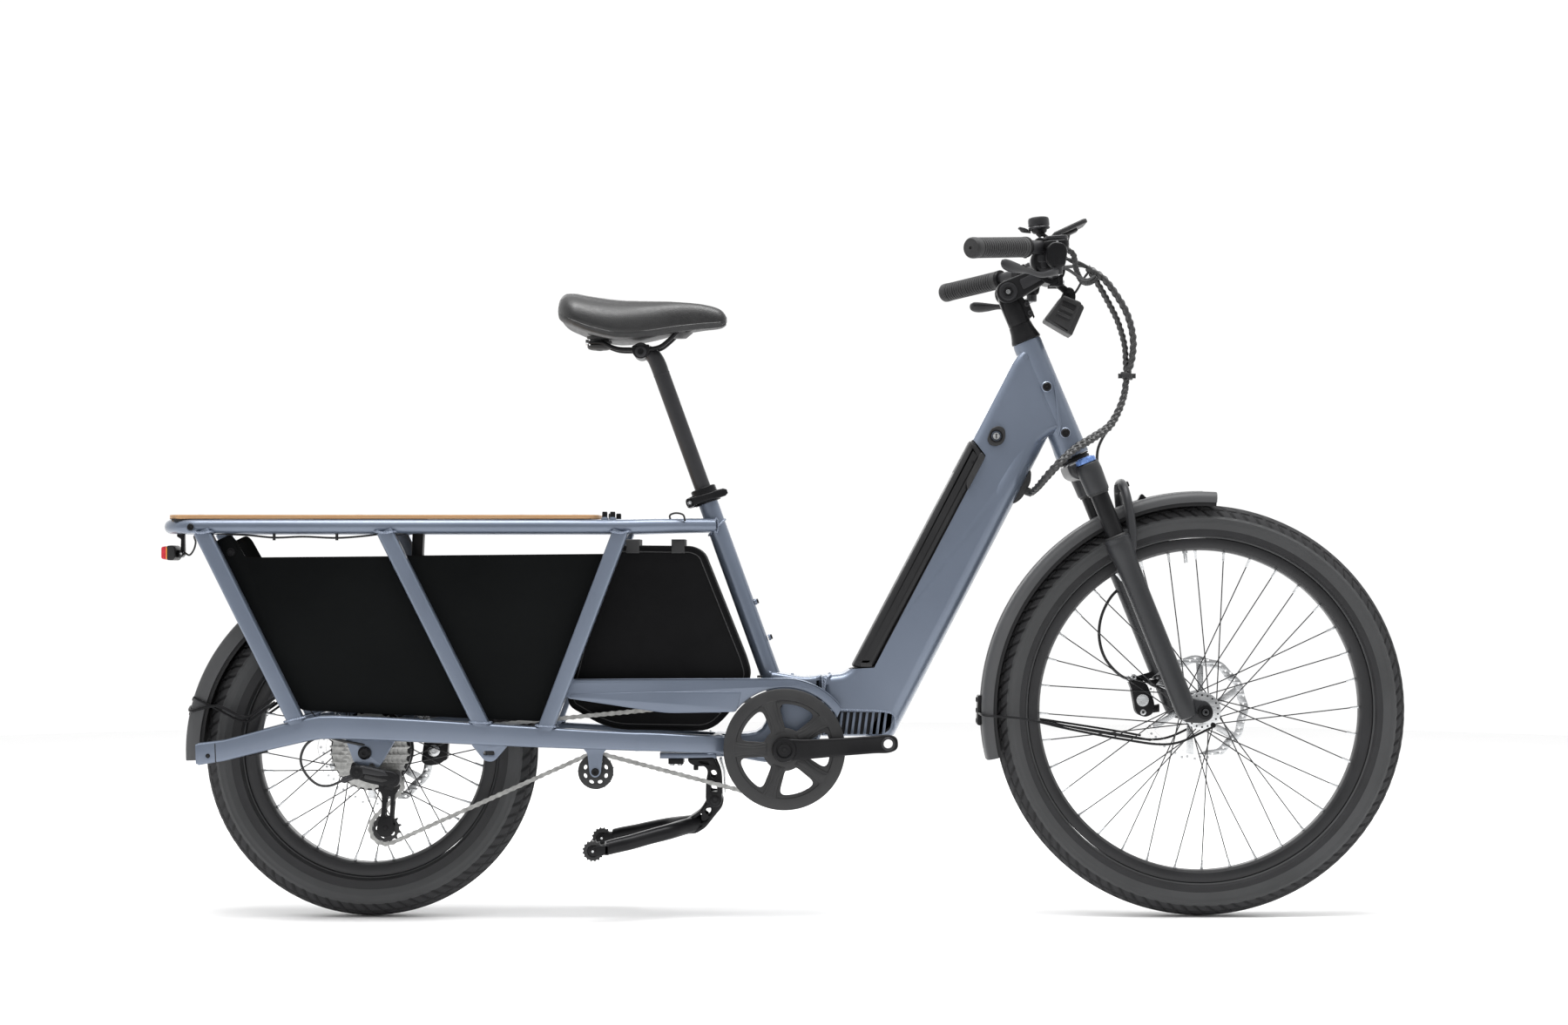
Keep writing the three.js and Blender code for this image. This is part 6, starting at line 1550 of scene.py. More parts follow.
guard = Piece("chainring_guard", "crankset", PLASTIC, ALLOY, SHADE_AND_BLACK, CHAIN)
guard.at = Matrix.Translation((CRANK[0], 0, CRANK[1]))
windows = []
for k in range(5):
    middle = 144 + 72 * k
    outer = [(76.5 * math.cos(math.radians(middle + t)), 76.5 * math.sin(math.radians(middle + t)))
             for t in (-25, 0, 25)]
    inner = [(33 * math.cos(math.radians(middle + t)), 33 * math.sin(math.radians(middle + t)))
             for t in (15, -15)]
    rounding = [14, 60, 14, 8, 8]
    windows.append(fillet(outer + inner, rounding, 5))
guard.slab(ring(0, 0, 100, 160), -76.6, -73.4, 1.2, windows, steps=3)
for k in range(5):
    way = math.radians(180 + 72 * k)
    c, s = math.cos(way), math.sin(way)
    rib = [(27, 12.5), (50, 7.4), (78, 11), (88, 18), (88, -18), (78, -11), (50, -7.4), (27, -12.5)]
    guard.slab(fillet([(x * c - z * s, x * s + z * c) for x, z in rib], [3, 12, 6, 4, 4, 6, 12, 3]), -78.0,
               -75.0, 1.4, steps=3)
    guard.slab(fillet([((0.86 * x + 6) * c - 0.45 * z * s, (0.86 * x + 6) * s + 0.45 * z * c)
                       for x, z in rib], 3), -78.5, -76.6, 0.7)
guard.turned([(79.6, -76.2), (81.0, -78.1), (97.6, -78.1), (99.8, -76.6), (99.8, -75), (79.6, -75)],
             (0, 0, 0), (0, 1, 0), 120, closed=True)
guard.turned([(21, -77.8), (33, -77.8), (35.4, -76.4), (35.4, -74), (21, -74)], (0, 0, 0), (0, 1, 0), 60,
             closed=True)
guard.slab(toothed(0, 0, 80.2, 87.6, 42, 2), -58.6, -56.4, 0.4, [ring(0, 0, 80, 60)], mark=3, steps=1)
guard.turned([(10.2, -76), (26, -76), (27, -70), (24, -62), (31, -60), (31, -56.2), (26, -56), (10.2, -56)],
             (0, 0, 0), (0, 1, 0), 60, mark=1, closed=True)
for k in range(5):
    way = math.radians(180 + 72 * k)
    c, s = math.cos(way), math.sin(way)
    carrier = [(28, 8), (52, 5), (76, 7.4), (76, -7.4), (52, -5), (28, -8)]
    guard.slab(fillet([(x * c - z * s, x * s + z * c) for x, z in carrier], [2, 12, 2, 2, 12, 2]), -60.2,
               -56.4, 0.8, mark=1)
    guard.turned([(0, -74.8), (5.0, -74.8), (5.0, -56), (0, -56)],
                 (71 * math.cos(way), 0, 71 * math.sin(way)), (0, 1, 0), 16, mark=1)
guard.done("chainring", slot="crank_alloy", sharp=40)

# ---------- idler, jockey wheels, chain and derailleur ----------
IDLER, JOCKEY_UP, JOCKEY_LOW = (-309.8, 244.6), (-650, 224), (-655.7, 150.6)
LINE_Y = -57.5


def small_wheel(name, node, body, centre, root, teeth, openings, reach, hole, bore, half):
    piece = Piece(name, body, PLASTIC, STEEL, ALLOY)
    holes = [ring(*centre, bore + 3.4, 24)]
    for k in range(openings):
        way = math.tau * (k + 0.5) / openings
        c, s = math.cos(way), math.sin(way)
        oval = ring(0, 0, hole, 16, squash=1.45)
        holes.append([(centre[0] + (reach + x) * c - z * s, centre[1] + (reach + x) * s + z * c)
                      for x, z in oval])
    if openings == 8:
        piece.slab(ring(*centre, root + 3.6, 72), LINE_Y - 5.4, LINE_Y - 3.9, 0.6, holes, steps=2)
    piece.slab(toothed(*centre, root, root + 4.2, teeth), LINE_Y - 1.9, LINE_Y + 1.9, 0.5, holes, steps=2)
    piece.turned([(root - 3.2, -2.8), (root - 0.6, -2.8), (root - 0.6, 2.8), (root - 3.2, 2.8)],
                 (centre[0], LINE_Y, centre[1]), (0, 1, 0), 60, closed=True)
    piece.turned([(bore + 0.2, -half), (bore + 3.2, -half), (bore + 4.2, -half + 1), (bore + 4.2, half - 1),
                  (bore + 3.2, half), (bore + 0.2, half)], (centre[0], LINE_Y, centre[1]), (0, 1, 0), 32,
                 mark=2, closed=True)
    return piece.done(node, slot="black_plastic")


small_wheel("idler_wheel", "idler_pulley", "idler_pulley", IDLER, 25.6, 15, 8, 18.4, 2.8, 4.5, 5.8)
small_wheel("upper_jockey", "jockey_upper", "jockey_upper", JOCKEY_UP, 18.0, 11, 0, 1, 1, 3.2, 3.8)
small_wheel("lower_jockey", "jockey_lower", "jockey_lower", JOCKEY_LOW, 21.6, 13, 5, 14.2, 2.6, 3.2, 3.8)


def belt(pulleys):
    """Points about a millimetre apart along a closed line round the given wheels."""
    angles = []
    for i, (centre, radius, turn) in enumerate(pulleys):
        ahead, size, way = pulleys[(i + 1) % len(pulleys)]
        dx, dz = ahead[0] - centre[0], ahead[1] - centre[1]
        angles.append(math.atan2(dz, dx) + math.asin((turn * radius - way * size) / math.hypot(dx, dz)))
    corners = []
    for i, (centre, radius, turn) in enumerate(pulleys):
        into = angles[i - 1]
        swept = ((angles[i] - into) * turn) % math.tau
        steps = max(2, int(swept * radius / 1.5))
        for k in range(steps + 1):
            a = into + swept * turn * k / steps
            corners.append((centre[0] + turn * radius * math.sin(a),
                            centre[1] - turn * radius * math.cos(a)))
    return corners


line = belt([(CRANK, RING_R, 1), (REAR_AXLE, COG_R, 1), (JOCKEY_UP, 22.5, -1), (JOCKEY_LOW, 26.0, 1),
             (IDLER, 30.0, -1)])
line.append(line[0])
reaches = [0.0]
for one, two in zip(line, line[1:]):
    reaches.append(reaches[-1] + math.dist(one, two))
links = round(reaches[-1] / 12.7 / 2) * 2
pitch = reaches[-1] / links


def along_line(run):
    run = run % reaches[-1]
    low, high = 0, len(reaches) - 1
    while high - low > 1:
        mid = (low + high) // 2
        if reaches[mid] <= run:
            low = mid
        else:
            high = mid
    share = (run - reaches[low]) / max(reaches[high] - reaches[low], 1e-9)
    return (line[low][0] + (line[high][0] - line[low][0]) * share,
            line[low][1] + (line[high][1] - line[low][1]) * share)


chain = Piece("chain_links", "root", CHAIN, SHADE_AND_BLACK)


def link_outline(a, b, size, narrow):
    """A figure-of-eight plate around two pins."""
    way = Vector((b[0] - a[0], b[1] - a[1]))
    half = way.length / 2
    way.normalize()
    middle = ((a[0] + b[0]) / 2, (a[1] + b[1]) / 2)
    points = []
    for start, centre in ((-110, half), (70, -half)):
        for i in range(9):
            angle = math.radians(start + 220 * i / 8)
            points.append((centre + size * math.cos(angle), size * math.sin(angle)))
        points.append((0.0, narrow if centre > 0 else -narrow))
    return [(middle[0] + way.x * u - way.y * v, middle[1] + way.y * u + way.x * v) for u, v in points]


for i in range(links):
    a, b = along_line(i * pitch), along_line((i + 1) * pitch)
    outline = link_outline(a, b, 3.9, 2.7)
    outer = i % 2
    for side in (-1, 1):
        y = LINE_Y + side * (2.6 if outer else 1.75)
        loops = [[(x, y - 0.42, z) for x, z in outline], [(x, y + 0.42, z) for x, z in outline]]
        chain.grid(loops)
    chain.turned([(0, -3.3), (1.75, -3.3), (1.9, -3.0), (1.9, 3.0), (1.75, 3.3), (0, 3.3)],
                 (a[0], LINE_Y, a[1]), (0, 1, 0), 10)
    chain.turned([(0, -1.4), (3.6, -1.4), (3.6, 1.4), (0, 1.4)], (a[0], LINE_Y, a[1]), (0, 1, 0), 10)
chain.done("chain", slot="chain_steel", sharp=40)

mech = Piece("derailleur", "root", ALLOY, SHADE_AND_BLACK, STEEL, SATIN, PLASTIC)
cage = fillet([(-664, 233), (-656, 240), (-643, 237), (-637, 226), (-640, 206), (-643, 168), (-641, 150),
               (-646, 139), (-660, 136), (-670, 144), (-669, 158), (-662, 176), (-661, 206), (-667, 216)],
              5, 4)
slim = fillet([(-652.5, 204), (-646.5, 204), (-648.5, 170), (-655.5, 172)], 2.4)
for y0, y1 in ((-66.6, -64.4), (-50.6, -48.4)):
    mech.slab(cage, y0, y1, 0.7, [slim])
for x, z in (JOCKEY_UP, JOCKEY_LOW):
    mech.turned([(0, -67), (2.9, -67), (2.9, -48), (0, -48)], (x, 0, z), (0, 1, 0), 20, mark=2)
    mech.bolt((x, -66.4, z), (0, -1, 0), 5.0, 1.8, mark=0, hollow=1)
    mech.bolt((x, -48.6, z), (0, 1, 0), 4.6, 1.4, mark=0, hollow=1)
mech.slab(fillet([(-707, 263), (-682, 252), (-684, 238), (-696, 233), (-711, 240)], [6, 4, 5, 6, 6]), -87.6,
          -79.4, 1.4, mark=0)
mech.turned([(0, -100.4), (8.6, -100.4), (11.4, -98.6), (12, -95), (12, -81), (10.6, -79.6), (0, -79.6)],
            (-697, 0, 246), (0, 1, 0), 40)
mech.bolt((-697, -100, 246), (0, -1, 0), 6.0, 1.6, mark=0, hollow=1)
mech.slab(fillet([(-706, 253), (-692, 259), (-664, 252), (-636, 247), (-628, 238), (-634, 226), (-652, 223),
                  (-682, 229), (-704, 238)], [6, 8, 10, 8, 8, 8, 10, 10, 6]), -97.4, -85.6, 3.4, steps=4)
mech.slab(fillet([(-700, 253.4), (-690, 256.4), (-652, 247.6), (-644, 240), (-664, 240), (-696, 245)], 4),
          -99.4, -95.0, 1.6, mark=3, steps=3)
mech.slab(fillet([(-686, 236), (-656, 229.6), (-646, 233), (-660, 237), (-684, 243)], 3), -98.6, -95, 1.2,
          mark=4)
mech.turned([(0, -96.8), (9.4, -96.8), (12.8, -94.6), (13.6, -90), (13.6, -76), (12.4, -68), (11.4, -64.4),
             (0, -64.4)], (-640, 0, 234), (0, 1, 0), 44)
mech.bolt((-640, -96.6, 234), (0, -1, 0), 5.6, 1.4, mark=0, hollow=1)
mech.slab(fillet([(-652, 240), (-634, 240), (-630, 226), (-642, 214), (-658, 216)], 5), -68.6, -64.6, 1.4)
mech.turned([(0, 0), (3.4, 0), (4.9, 2), (4.9, 14), (5.6, 15), (5.6, 20), (3, 24), (0, 24)],
            (-700, -94, 240), (-0.94, 0, -0.34), 20, mark=3)
mech.tube([(-722, -94, 232), (-742, -94, 224), (-762, -93, 226), (-783, -92, 246), (-790, -90, 268),
           (-780, -89, 292), (-757, -87, 303), (-720, -84, 296), (-690, -78, 290), (-668, -68, 290),
           (-640, -60, 296), (-600, -64, 300)], 2.2, 14, mark=4)
mech.done("rear_derailleur", slot="black_alloy")

# ---------- centre stand ----------
PIVOT = (-114.3, 194.6)
stand = Piece("stand_legs", "kickstand", ALLOY, STEEL, SHADE_AND_BLACK, SATIN)
arm = fillet([(-126, 202), (-118, 206), (-106, 204), (-100, 195), (-102, 183), (-116, 166), (-130, 148),
              (-146, 138), (-163, 137), (-171, 146), (-166, 158), (-152, 168), (-140, 176), (-132, 188)], 6,
             4)
openings = [fillet([(-129, 180), (-121, 181), (-122, 172), (-133, 164)], 2.4),
            fillet([(-137, 172), (-127, 163), (-139, 156), (-148, 162)], 2.6),
            fillet([(-152, 160), (-143, 153), (-151, 146), (-160, 149)], 2.4)]
stand.slab(arm, -25.6, 25.6, 5.0, openings, steps=5)
stand.turned([(0, -27.5), (9.6, -27.5), (11.4, -26), (11.4, 26), (9.6, 27.5), (0, 27.5)],
             (PIVOT[0], 0, PIVOT[1]), (0, 1, 0), 44)
stand.turned([(0, -35.8), (5.9, -35.8), (5.9, 35.8), (0, 35.8)], (PIVOT[0], 0, PIVOT[1]), (0, 1, 0), 28,
             mark=1)
for side in (-1, 1):
    stand.bolt((PIVOT[0], side * 35, PIVOT[1]), (0, side, 0), 8.0, 2.4, mark=0, hollow=2)
    leg = [(-140, side * 9, 157.5, 10.4), (-152, side * 20, 153, 12.6), (-168, side * 34, 149.5, 13.0),
           (-190, side * 58, 145, 12.8), (-222, side * 74, 138, 12.4), (-250, side * 86, 131, 12.2),
           (-276, side * 94, 125.6, 12.0), (-289, side * 98, 122.6, 11.6)]
    stand.tube(leg, None, 28, 6, mark=0)
    y = side * 100
    for y0, y1 in ((y - 11, y - 8.2), (y + 8.2, y + 11)):
        stand.slab(fillet([(-312, 110), (-318, 117), (-314, 125), (-300, 127.4), (-285, 128), (-285, 114),
                           (-300, 111)], 4), y0, y1, 0.9)
    stand.slab(fillet([(-292.6, 112), (-284.6, 112), (-284.6, 128.6), (-292.6, 128.6)], 2), y - 11, y + 11,
               2.0)
    stand.turned([(0, -12.6), (2.9, -12.6), (2.9, 12.6), (0, 12.6)], (-311, y, 118.4), (0, 1, 0), 20, mark=1)
    stand.bolt((-311, y - 11, 118.4), (0, -1, 0), 4.6, 2.4, mark=0, hollow=2)
    stand.bolt((-311, y + 11, 118.4), (0, 1, 0), 4.6, 2.4, mark=0, hollow=2)
stand.done("kickstand_legs", slot="stand_alloy", sharp=44)


def foot_roller(name, node, side):
    """A knurled rubber foot on a bare core."""
    piece = Piece(name, node, RUBBER, ALLOY)
    y = side * 100
    piece.slab(toothed(-311, 118.4, 15.6, 17.6, 16), y - 7.2, y + 7.2, 1.2, [ring(-311, 118.4, 9.4, 30)],
               steps=3)
    piece.turned([(3.7, -7.3), (8.6, -7.3), (9.6, -5.6), (9.6, 5.6), (8.6, 7.3), (3.7, 7.3)],
                 (-311, y, 118.4), (0, 1, 0), 36, mark=1, closed=True)
    piece.turned([(10.4, -7.5), (13.2, -7.5), (13.2, 7.5), (10.4, 7.5)], (-311, y, 118.4), (0, 1, 0), 36,
                 mark=0, closed=True)
    return piece.done(node, slot="rubber")


foot_roller("stand_foot_right", "foot_roller_right", -1)
foot_roller("stand_foot_left", "foot_roller_left", 1)

bracket = Piece("stand_bracket", "root", ALLOY, STEEL, SHADE_AND_BLACK)
cast = fillet([(-160, 264), (-116, 266), (-104.6, 240), (-103, 210), (-103, 190), (-110, 183), (-122, 183),
               (-130, 194), (-129.5, 225), (-126, 244), (-133, 252), (-148, 251), (-158, 257)],
              [3, 4, 10, 10, 8, 8, 8, 8, 10, 8, 5, 5, 4], 4)
windows = [ring(*PIVOT, 6.2, 24), ring(-117, 238, 5.6, 20, squash=1.2),
           fillet([(-122, 222), (-112, 222), (-110, 208), (-122, 209)], 3),
           fillet([(-140, 259), (-128, 259), (-124, 254), (-136, 256)], 1.2)]
for side in (-1, 1):
    bracket.slab(cast, min(side * 28, side * 35), max(side * 28, side * 35), 2.0, windows, steps=3)
bracket.slab(fillet([(-104, 262), (-98, 240), (-97, 206), (-99, 206), (-101, 240), (-108, 262)], 1), -24,
             24, 0.6, mark=1)
bracket.block(-192, -167, -30, 30, 254, 263.6, 1.6, mark=0)
bracket.block(-150, -118, -27.6, 27.6, 250, 263.6, 3)
for x in (-186, -173):
    bracket.bolt((x, -18, 254.2), (0, 0, -1), 4.4, 3.0, mark=1, hollow=2)
bracket.bolt((-146, -31.5, 251.4), (0, 0, -1), 4.2, 7.0, mark=0, hollow=2)
bracket.done(slot="black_alloy")

# ---------- stem ----------
stem_base = Piece("stem_riser", "steering", ALLOY, SATIN, SHADE_AND_BLACK, STEEL)
stem_base.at = HEAD
stem_base.turned([(0, 207.6), (24.6, 207.6), (25.2, 208.6), (24.9, 211.4), (23.4, 216), (20.6, 226),
                  (19.4, 235), (19.2, 236.4), (0, 236.4)], (0, 0, 0), (0, 0, 1), 56)
stem_base.turned([(0, 237), (18.4, 237), (18.8, 238), (18.8, 264), (18, 274), (16.4, 281), (12, 284),
                  (0, 284)], (0, 0, 0), (0, 0, 1), 56)
stem_base.slab(fillet([(-18, 240), (12, 238), (15, 300), (8, 310), (-6, 310), (-16, 300), (-19, 280)],
                      [3, 3, 12, 10, 12, 10, 8]), -8.9, 8.9, 2.0)
stem_base.slab(fillet([(10, 239), (23, 241), (26.6, 246), (27, 256), (24, 267), (18, 284), (11, 292),
                       (6, 292)], [3, 5, 5, 6, 8, 10, 6, 3]), -12.5, 12.5, 3.4, steps=4)
# The clamp slit is a near-black sheet, painted shade for the gap.
stem_base.slab([(25, 238), (28, 240), (28, 270), (24, 272)], -0.9, 0.9, 0.2, mark=2)
for z in (248, 264):
    stem_base.turned([(0, -13.4), (4.6, -13.4), (4.6, 13.4), (0, 13.4)], (22, 0, z), (0, 1, 0), 24, mark=1)
    stem_base.bolt((22, -13, z), (0, -1, 0), 3.9, 1.6, mark=1, hollow=2)
stem_base.turned([(0, -21.6), (4, -21.6), (4, 21.6), (0, 21.6)], (0, 0, 294), (0, 1, 0), 28, mark=3)
stem_base.done("stem_base", slot="black_alloy")

PIVOT_AT = head_point(294)
BAR_AT = (444, 1075)
arm = Piece("stem_arm_body", "cockpit", ALLOY, SATIN, SHADE_AND_BLACK, STEEL)
way = Vector((BAR_AT[0] - PIVOT_AT[0], BAR_AT[1] - PIVOT_AT[2])).normalized()
across = Vector((-way.y, way.x))


def along_arm(u, v):
    return (PIVOT_AT[0] + way.x * u + across.x * v, PIVOT_AT[2] + way.y * u + across.y * v)


cheek = [along_arm(*p) for p in ring(0, 0, 19.4, 15, 82, 196)] + [along_arm(44, -15.6), along_arm(62, -14),
                                                                  along_arm(62, 14), along_arm(40, 16)]
cheek = fillet(cheek, [0] * 15 + [12, 3, 3, 16], 4)
for y0, y1 in ((-21, -9.8), (9.8, 21)):
    arm.slab(cheek, y0, y1, 2.6, [ring(PIVOT_AT[0], PIVOT_AT[2], 5.6, 24)], steps=4)
arm.slab(fillet([along_arm(24, -12.4), along_arm(66, -12), along_arm(66, 12), along_arm(26, 12.8),
                 along_arm(22.6, 0)], 2), -11, 11, 0.8)
for y, side in ((-21, -1), (21, 1)):
    arm.turned([(5.5, -2), (14.8, -2), (15.4, 0.1), (14.9, 1.3), (12.6, 1.7), (12.2, 1.0), (5.5, 0.9)],
               (PIVOT_AT[0], y, PIVOT_AT[2]), (0, side, 0), 44, mark=1, closed=True)
    arm.turned([(5.5, 0.8), (8.8, 0.8), (8.8, 2.0), (5.5, 2.0)], (PIVOT_AT[0], y, PIVOT_AT[2]),
               (0, side, 0), 6, mark=0, closed=True)
    arm.slab(fillet([along_arm(24, -8.4), along_arm(60, -7.4), along_arm(60, 8.2), along_arm(25, 9)], 3),
             y - (1.0 if side < 0 else 0.2), y + (0.2 if side < 0 else 1.0), 0.4, mark=1)
arm.turned([(16.4, -24), (22, -24), (23.4, -22.6), (23.4, 22.6), (22, 24), (16.4, 24)],
           (BAR_AT[0], 0, BAR_AT[1]), (0, 1, 0), 56, closed=True)
# The clamp gap is a near-black sheet, painted shade.
arm.slab([(BAR_AT[0] + 12, BAR_AT[1] + 22), (BAR_AT[0] + 13.2, BAR_AT[1] + 22.8),
          (BAR_AT[0] + 13.2, BAR_AT[1] - 22.6), (BAR_AT[0] + 12, BAR_AT[1] - 22.6)], -24.2, 24.2, 0.2,
         mark=2)
for z in (-24, 24):
    for y in (-15, 15):
        arm.block(BAR_AT[0] - 2, BAR_AT[0] + 20, y - 6.4, y + 6.4, BAR_AT[1] + (z - 3 if z < 0 else 13),
                  BAR_AT[1] + (-13 if z < 0 else z + 3), 2.0)
        arm.bolt((BAR_AT[0] + 19.6, y, BAR_AT[1] + z * 0.86), (1, 0, 0), 3.8, 2.6, mark=3, hollow=2)
arm.spar([(449, 1066, 445, 1058, 6, 2), (461, 1057, 455, 1048, 5.4, 2.4), (472, 1049, 466, 1039, 5, 2.4),
          (478, 1044, 474, 1035, 5, 2.4)])
arm.turned([(0, -8.8), (6.6, -8.8), (7.4, -8), (7.4, 8), (6.6, 8.8), (0, 8.8)], (476, 0, 1040), (0, 1, 0),
           32)
arm.done("stem_arm", slot="black_alloy")

# ---------- handlebar and grips ----------
BAR_PATH = [(444, 0, 1075), (444, 24, 1075), (444.2, 42, 1075.6), (447, 80, 1082), (440, 130, 1093),
            (415, 180, 1092), (388, 218, 1088), (339.5, 269, 1081), (291, 320, 1074)]
BAR_SIZE = [15.9, 15.9, 15.4, 11.4, 11.1, 11.1, 11.1, 11.1, 11.1]
bar = Piece("handlebar_tube", "cockpit", SATIN, ALLOY)
half = [(*p, r) for p, r in zip(BAR_PATH, BAR_SIZE)]
bar.tube([(x, -y, z, r) for x, y, z, r in reversed(half[1:])] + half, None, 32, 8)
bar.done("handlebar", slot="black_alloy")


def mirrored(points, side):
    return [(p[0], side * p[1], *p[2:]) for p in points]


def grip(name, node, side):
    """A ribbed rubber grip with a lock ring and a domed end."""
    piece = Piece(name, "cockpit", GRIP, ALLOY, SHADE_AND_BLACK)
    inner, outer = Vector((388, side * 218, 1088)), Vector((291, side * 320, 1074))
    length = (outer - inner).length + 4
    out = (outer - inner).normalized()
    profile = [(11.3, 13), (15.4, 13), (16.2, 13.6), (16.2, 20), (15.4, 20.6)]
    marks = 22.0
    while marks < length - 14:
        groove = 1.3 if int(marks / 5.4) % 5 else 2.2
        profile += [(16.0, marks), (16.1, marks + 3.4), (15.6, marks + 3.9), (16.0 - groove, marks + 4.2),
                    (16.0 - groove, marks + 4.9), (15.6, marks + 5.2)]
        marks += 5.4
    profile += [(16.3, length - 13), (16.6, length - 6), (16.2, length - 2), (14.4, length + 0.6),
                (2.6, length + 1.4), (2.2, length - 1), (0, length - 1), (0, length - 3),
                (11.3, length - 3)]
    piece.turned(profile, inner, out, 48, closed=True)
    piece.turned([(11.3, 7), (15.8, 7), (16.6, 8), (16.6, 12.4), (11.3, 12.4)], inner, out, 44, mark=1,
                 closed=True)
    piece.bolt(inner + out * 9.8 + Vector((0, 0, -16.4)), (0, 0, -1), 2.6, 1.0, mark=1, hollow=2)
    return piece.done(node, slot="grip_rubber", sharp=40)


grip("grip_rubber_right", "grip_right", -1)
grip("grip_rubber_left", "grip_left", 1)

# ---------- brake and shift controls ----------
def control(name, node, side):
    """Master cylinder, lever housing and clamp; the shifter pod sits under the right one."""
    piece = Piece(name, "cockpit", ALLOY, SATIN, STEEL, PLASTIC, SHADE_AND_BLACK)

    def at_side(x, y, z):
        return (x, side * y, z)

    start, end = Vector(at_side(438, 142, 1091)), Vector(at_side(428, 214, 1083))
    piece.turned([(0, 0), (6, 0), (9.4, 1.4), (11.6, 4), (13.2, 6), (13.2, 52), (12.2, 60), (10, 68),
                  (7, 73), (0, 73)], start, end - start, 40)
    cap = tilted(at_side(434, 178, 1101), (0.99, side * 0.12, 0.06), (0.0, 0.0, 1.0))
    tank = Piece("tank", "cockpit")
    tank.at = cap
    tank.slab(fillet([(-16, -26), (17, -26), (20, -18), (20, 22), (14, 30), (-12, 30), (-18, 20),
                      (-18, -18)], 5), 1, 7.4, 2.0, steps=3, pose=Matrix.Rotation(math.pi / 2, 4, "X"))
    tank.slab(fillet([(-17, -28), (19, -28), (22, -20), (22, 24), (15, 32), (-13, 32), (-20, 22),
                      (-20, -20)], 5), -13, 0.4, 3.4, steps=3, pose=Matrix.Rotation(math.pi / 2, 4, "X"))
    piece.points += tank.points
    base = len(piece.points) - len(tank.points)
    piece.faces += [tuple(base + i for i in f) for f in tank.faces]
    piece.marks += [1 if min(tank.points[i][2] for i in f) > 1101.2 else 0 for f in tank.faces]
    for x, y in ((424, 160), (445, 194)):
        piece.bolt(at_side(x, y, 1108.0), (0, 0, 1), 2.8, 1.2, mark=2, hollow=4)
    piece.slab(fillet([(446, 1058), (424, 1056), (415, 1066), (416, 1088), (426, 1098), (444, 1096),
                       (450, 1084)], 6), min(side * 198, side * 216), max(side * 198, side * 216), 4,
               steps=4)
    piece.turned([(0, 1058.8), (8.6, 1058.8), (10.6, 1060.2), (11.0, 1064), (11.0, 1070), (0, 1070)],
                 at_side(434, 206, 0), (0, 0, 1), 32)
    piece.bolt(at_side(434, 206, 1096.5), (0, 0, 1), 4.6, 2.2, mark=2, hollow=4)
    ring_start, ring_end = Vector(at_side(421, 171, 1092)), Vector(at_side(407, 192, 1090.4))
    long = (ring_end - ring_start).length
    piece.turned([(11.4, 3), (15.4, 3), (16.6, 4.4), (16.6, long - 4.4), (15.4, long - 3),
                  (11.4, long - 3)], ring_start, ring_end - ring_start, 40, closed=True)
    for z in (1078, 1106):
        piece.bolt(at_side(410 + (4 if z > 1100 else 2), 180, z), (-1, 0, 0), 3.4, 3.2, mark=2, hollow=4)
    piece.spar([(418, 1100, 414, 1086, 6, 2.4, side * 181), (440, 1102, 436, 1086, 7, 3, side * 181)])
    piece.turned([(0, 0), (5.2, 0), (5.8, 1), (5.8, 7), (4.2, 9), (4.2, 14), (0, 14)],
                 at_side(438.5, 142, 1091), (0.25, -side, 0.02), 24, mark=3)
    if side < 0:
        pod = [(398, 1086), (408, 1092), (428, 1088), (436, 1074), (432, 1056), (416, 1049), (398, 1054),
               (392, 1070)]
        piece.slab(fillet(pod, 9, 5), -192, -160, 8, steps=5)
        piece.turned([(0, 1056), (14.6, 1056), (16.4, 1058), (16.8, 1062), (16.8, 1078), (15, 1082),
                      (0, 1083)], (414, -176, 0), (0, 0, 1), 44, mark=1)
        piece.turned([(0, 1053.4), (4.2, 1053.4), (4.6, 1054), (4.6, 1057), (0, 1057)], (414, -176, 0),
                     (0, 0, 1), 24, mark=2)
        piece.slab(fillet([(404, 1080), (424, 1080), (424, 1067), (404, 1067)], 3), -193.4, -190, 1.2,
                   mark=1)
        piece.turned([(0, 0), (4.4, 0), (4.8, 1.2), (4.8, 9), (3.2, 13), (0, 13)], (434, -168, 1066),
                     (0.86, 0.35, -0.22), 24, mark=2)
        piece.turned([(10.8, -2), (12.6, -2), (12.6, 2), (10.8, 2)], (414, -176, 1084), (0, 0, 1), 30,
                     mark=3, closed=True)
    return piece.done(node, slot="control_alloy", sharp=36)


control("control_unit_right", "control_right", -1)
control("control_unit_left", "control_left", 1)


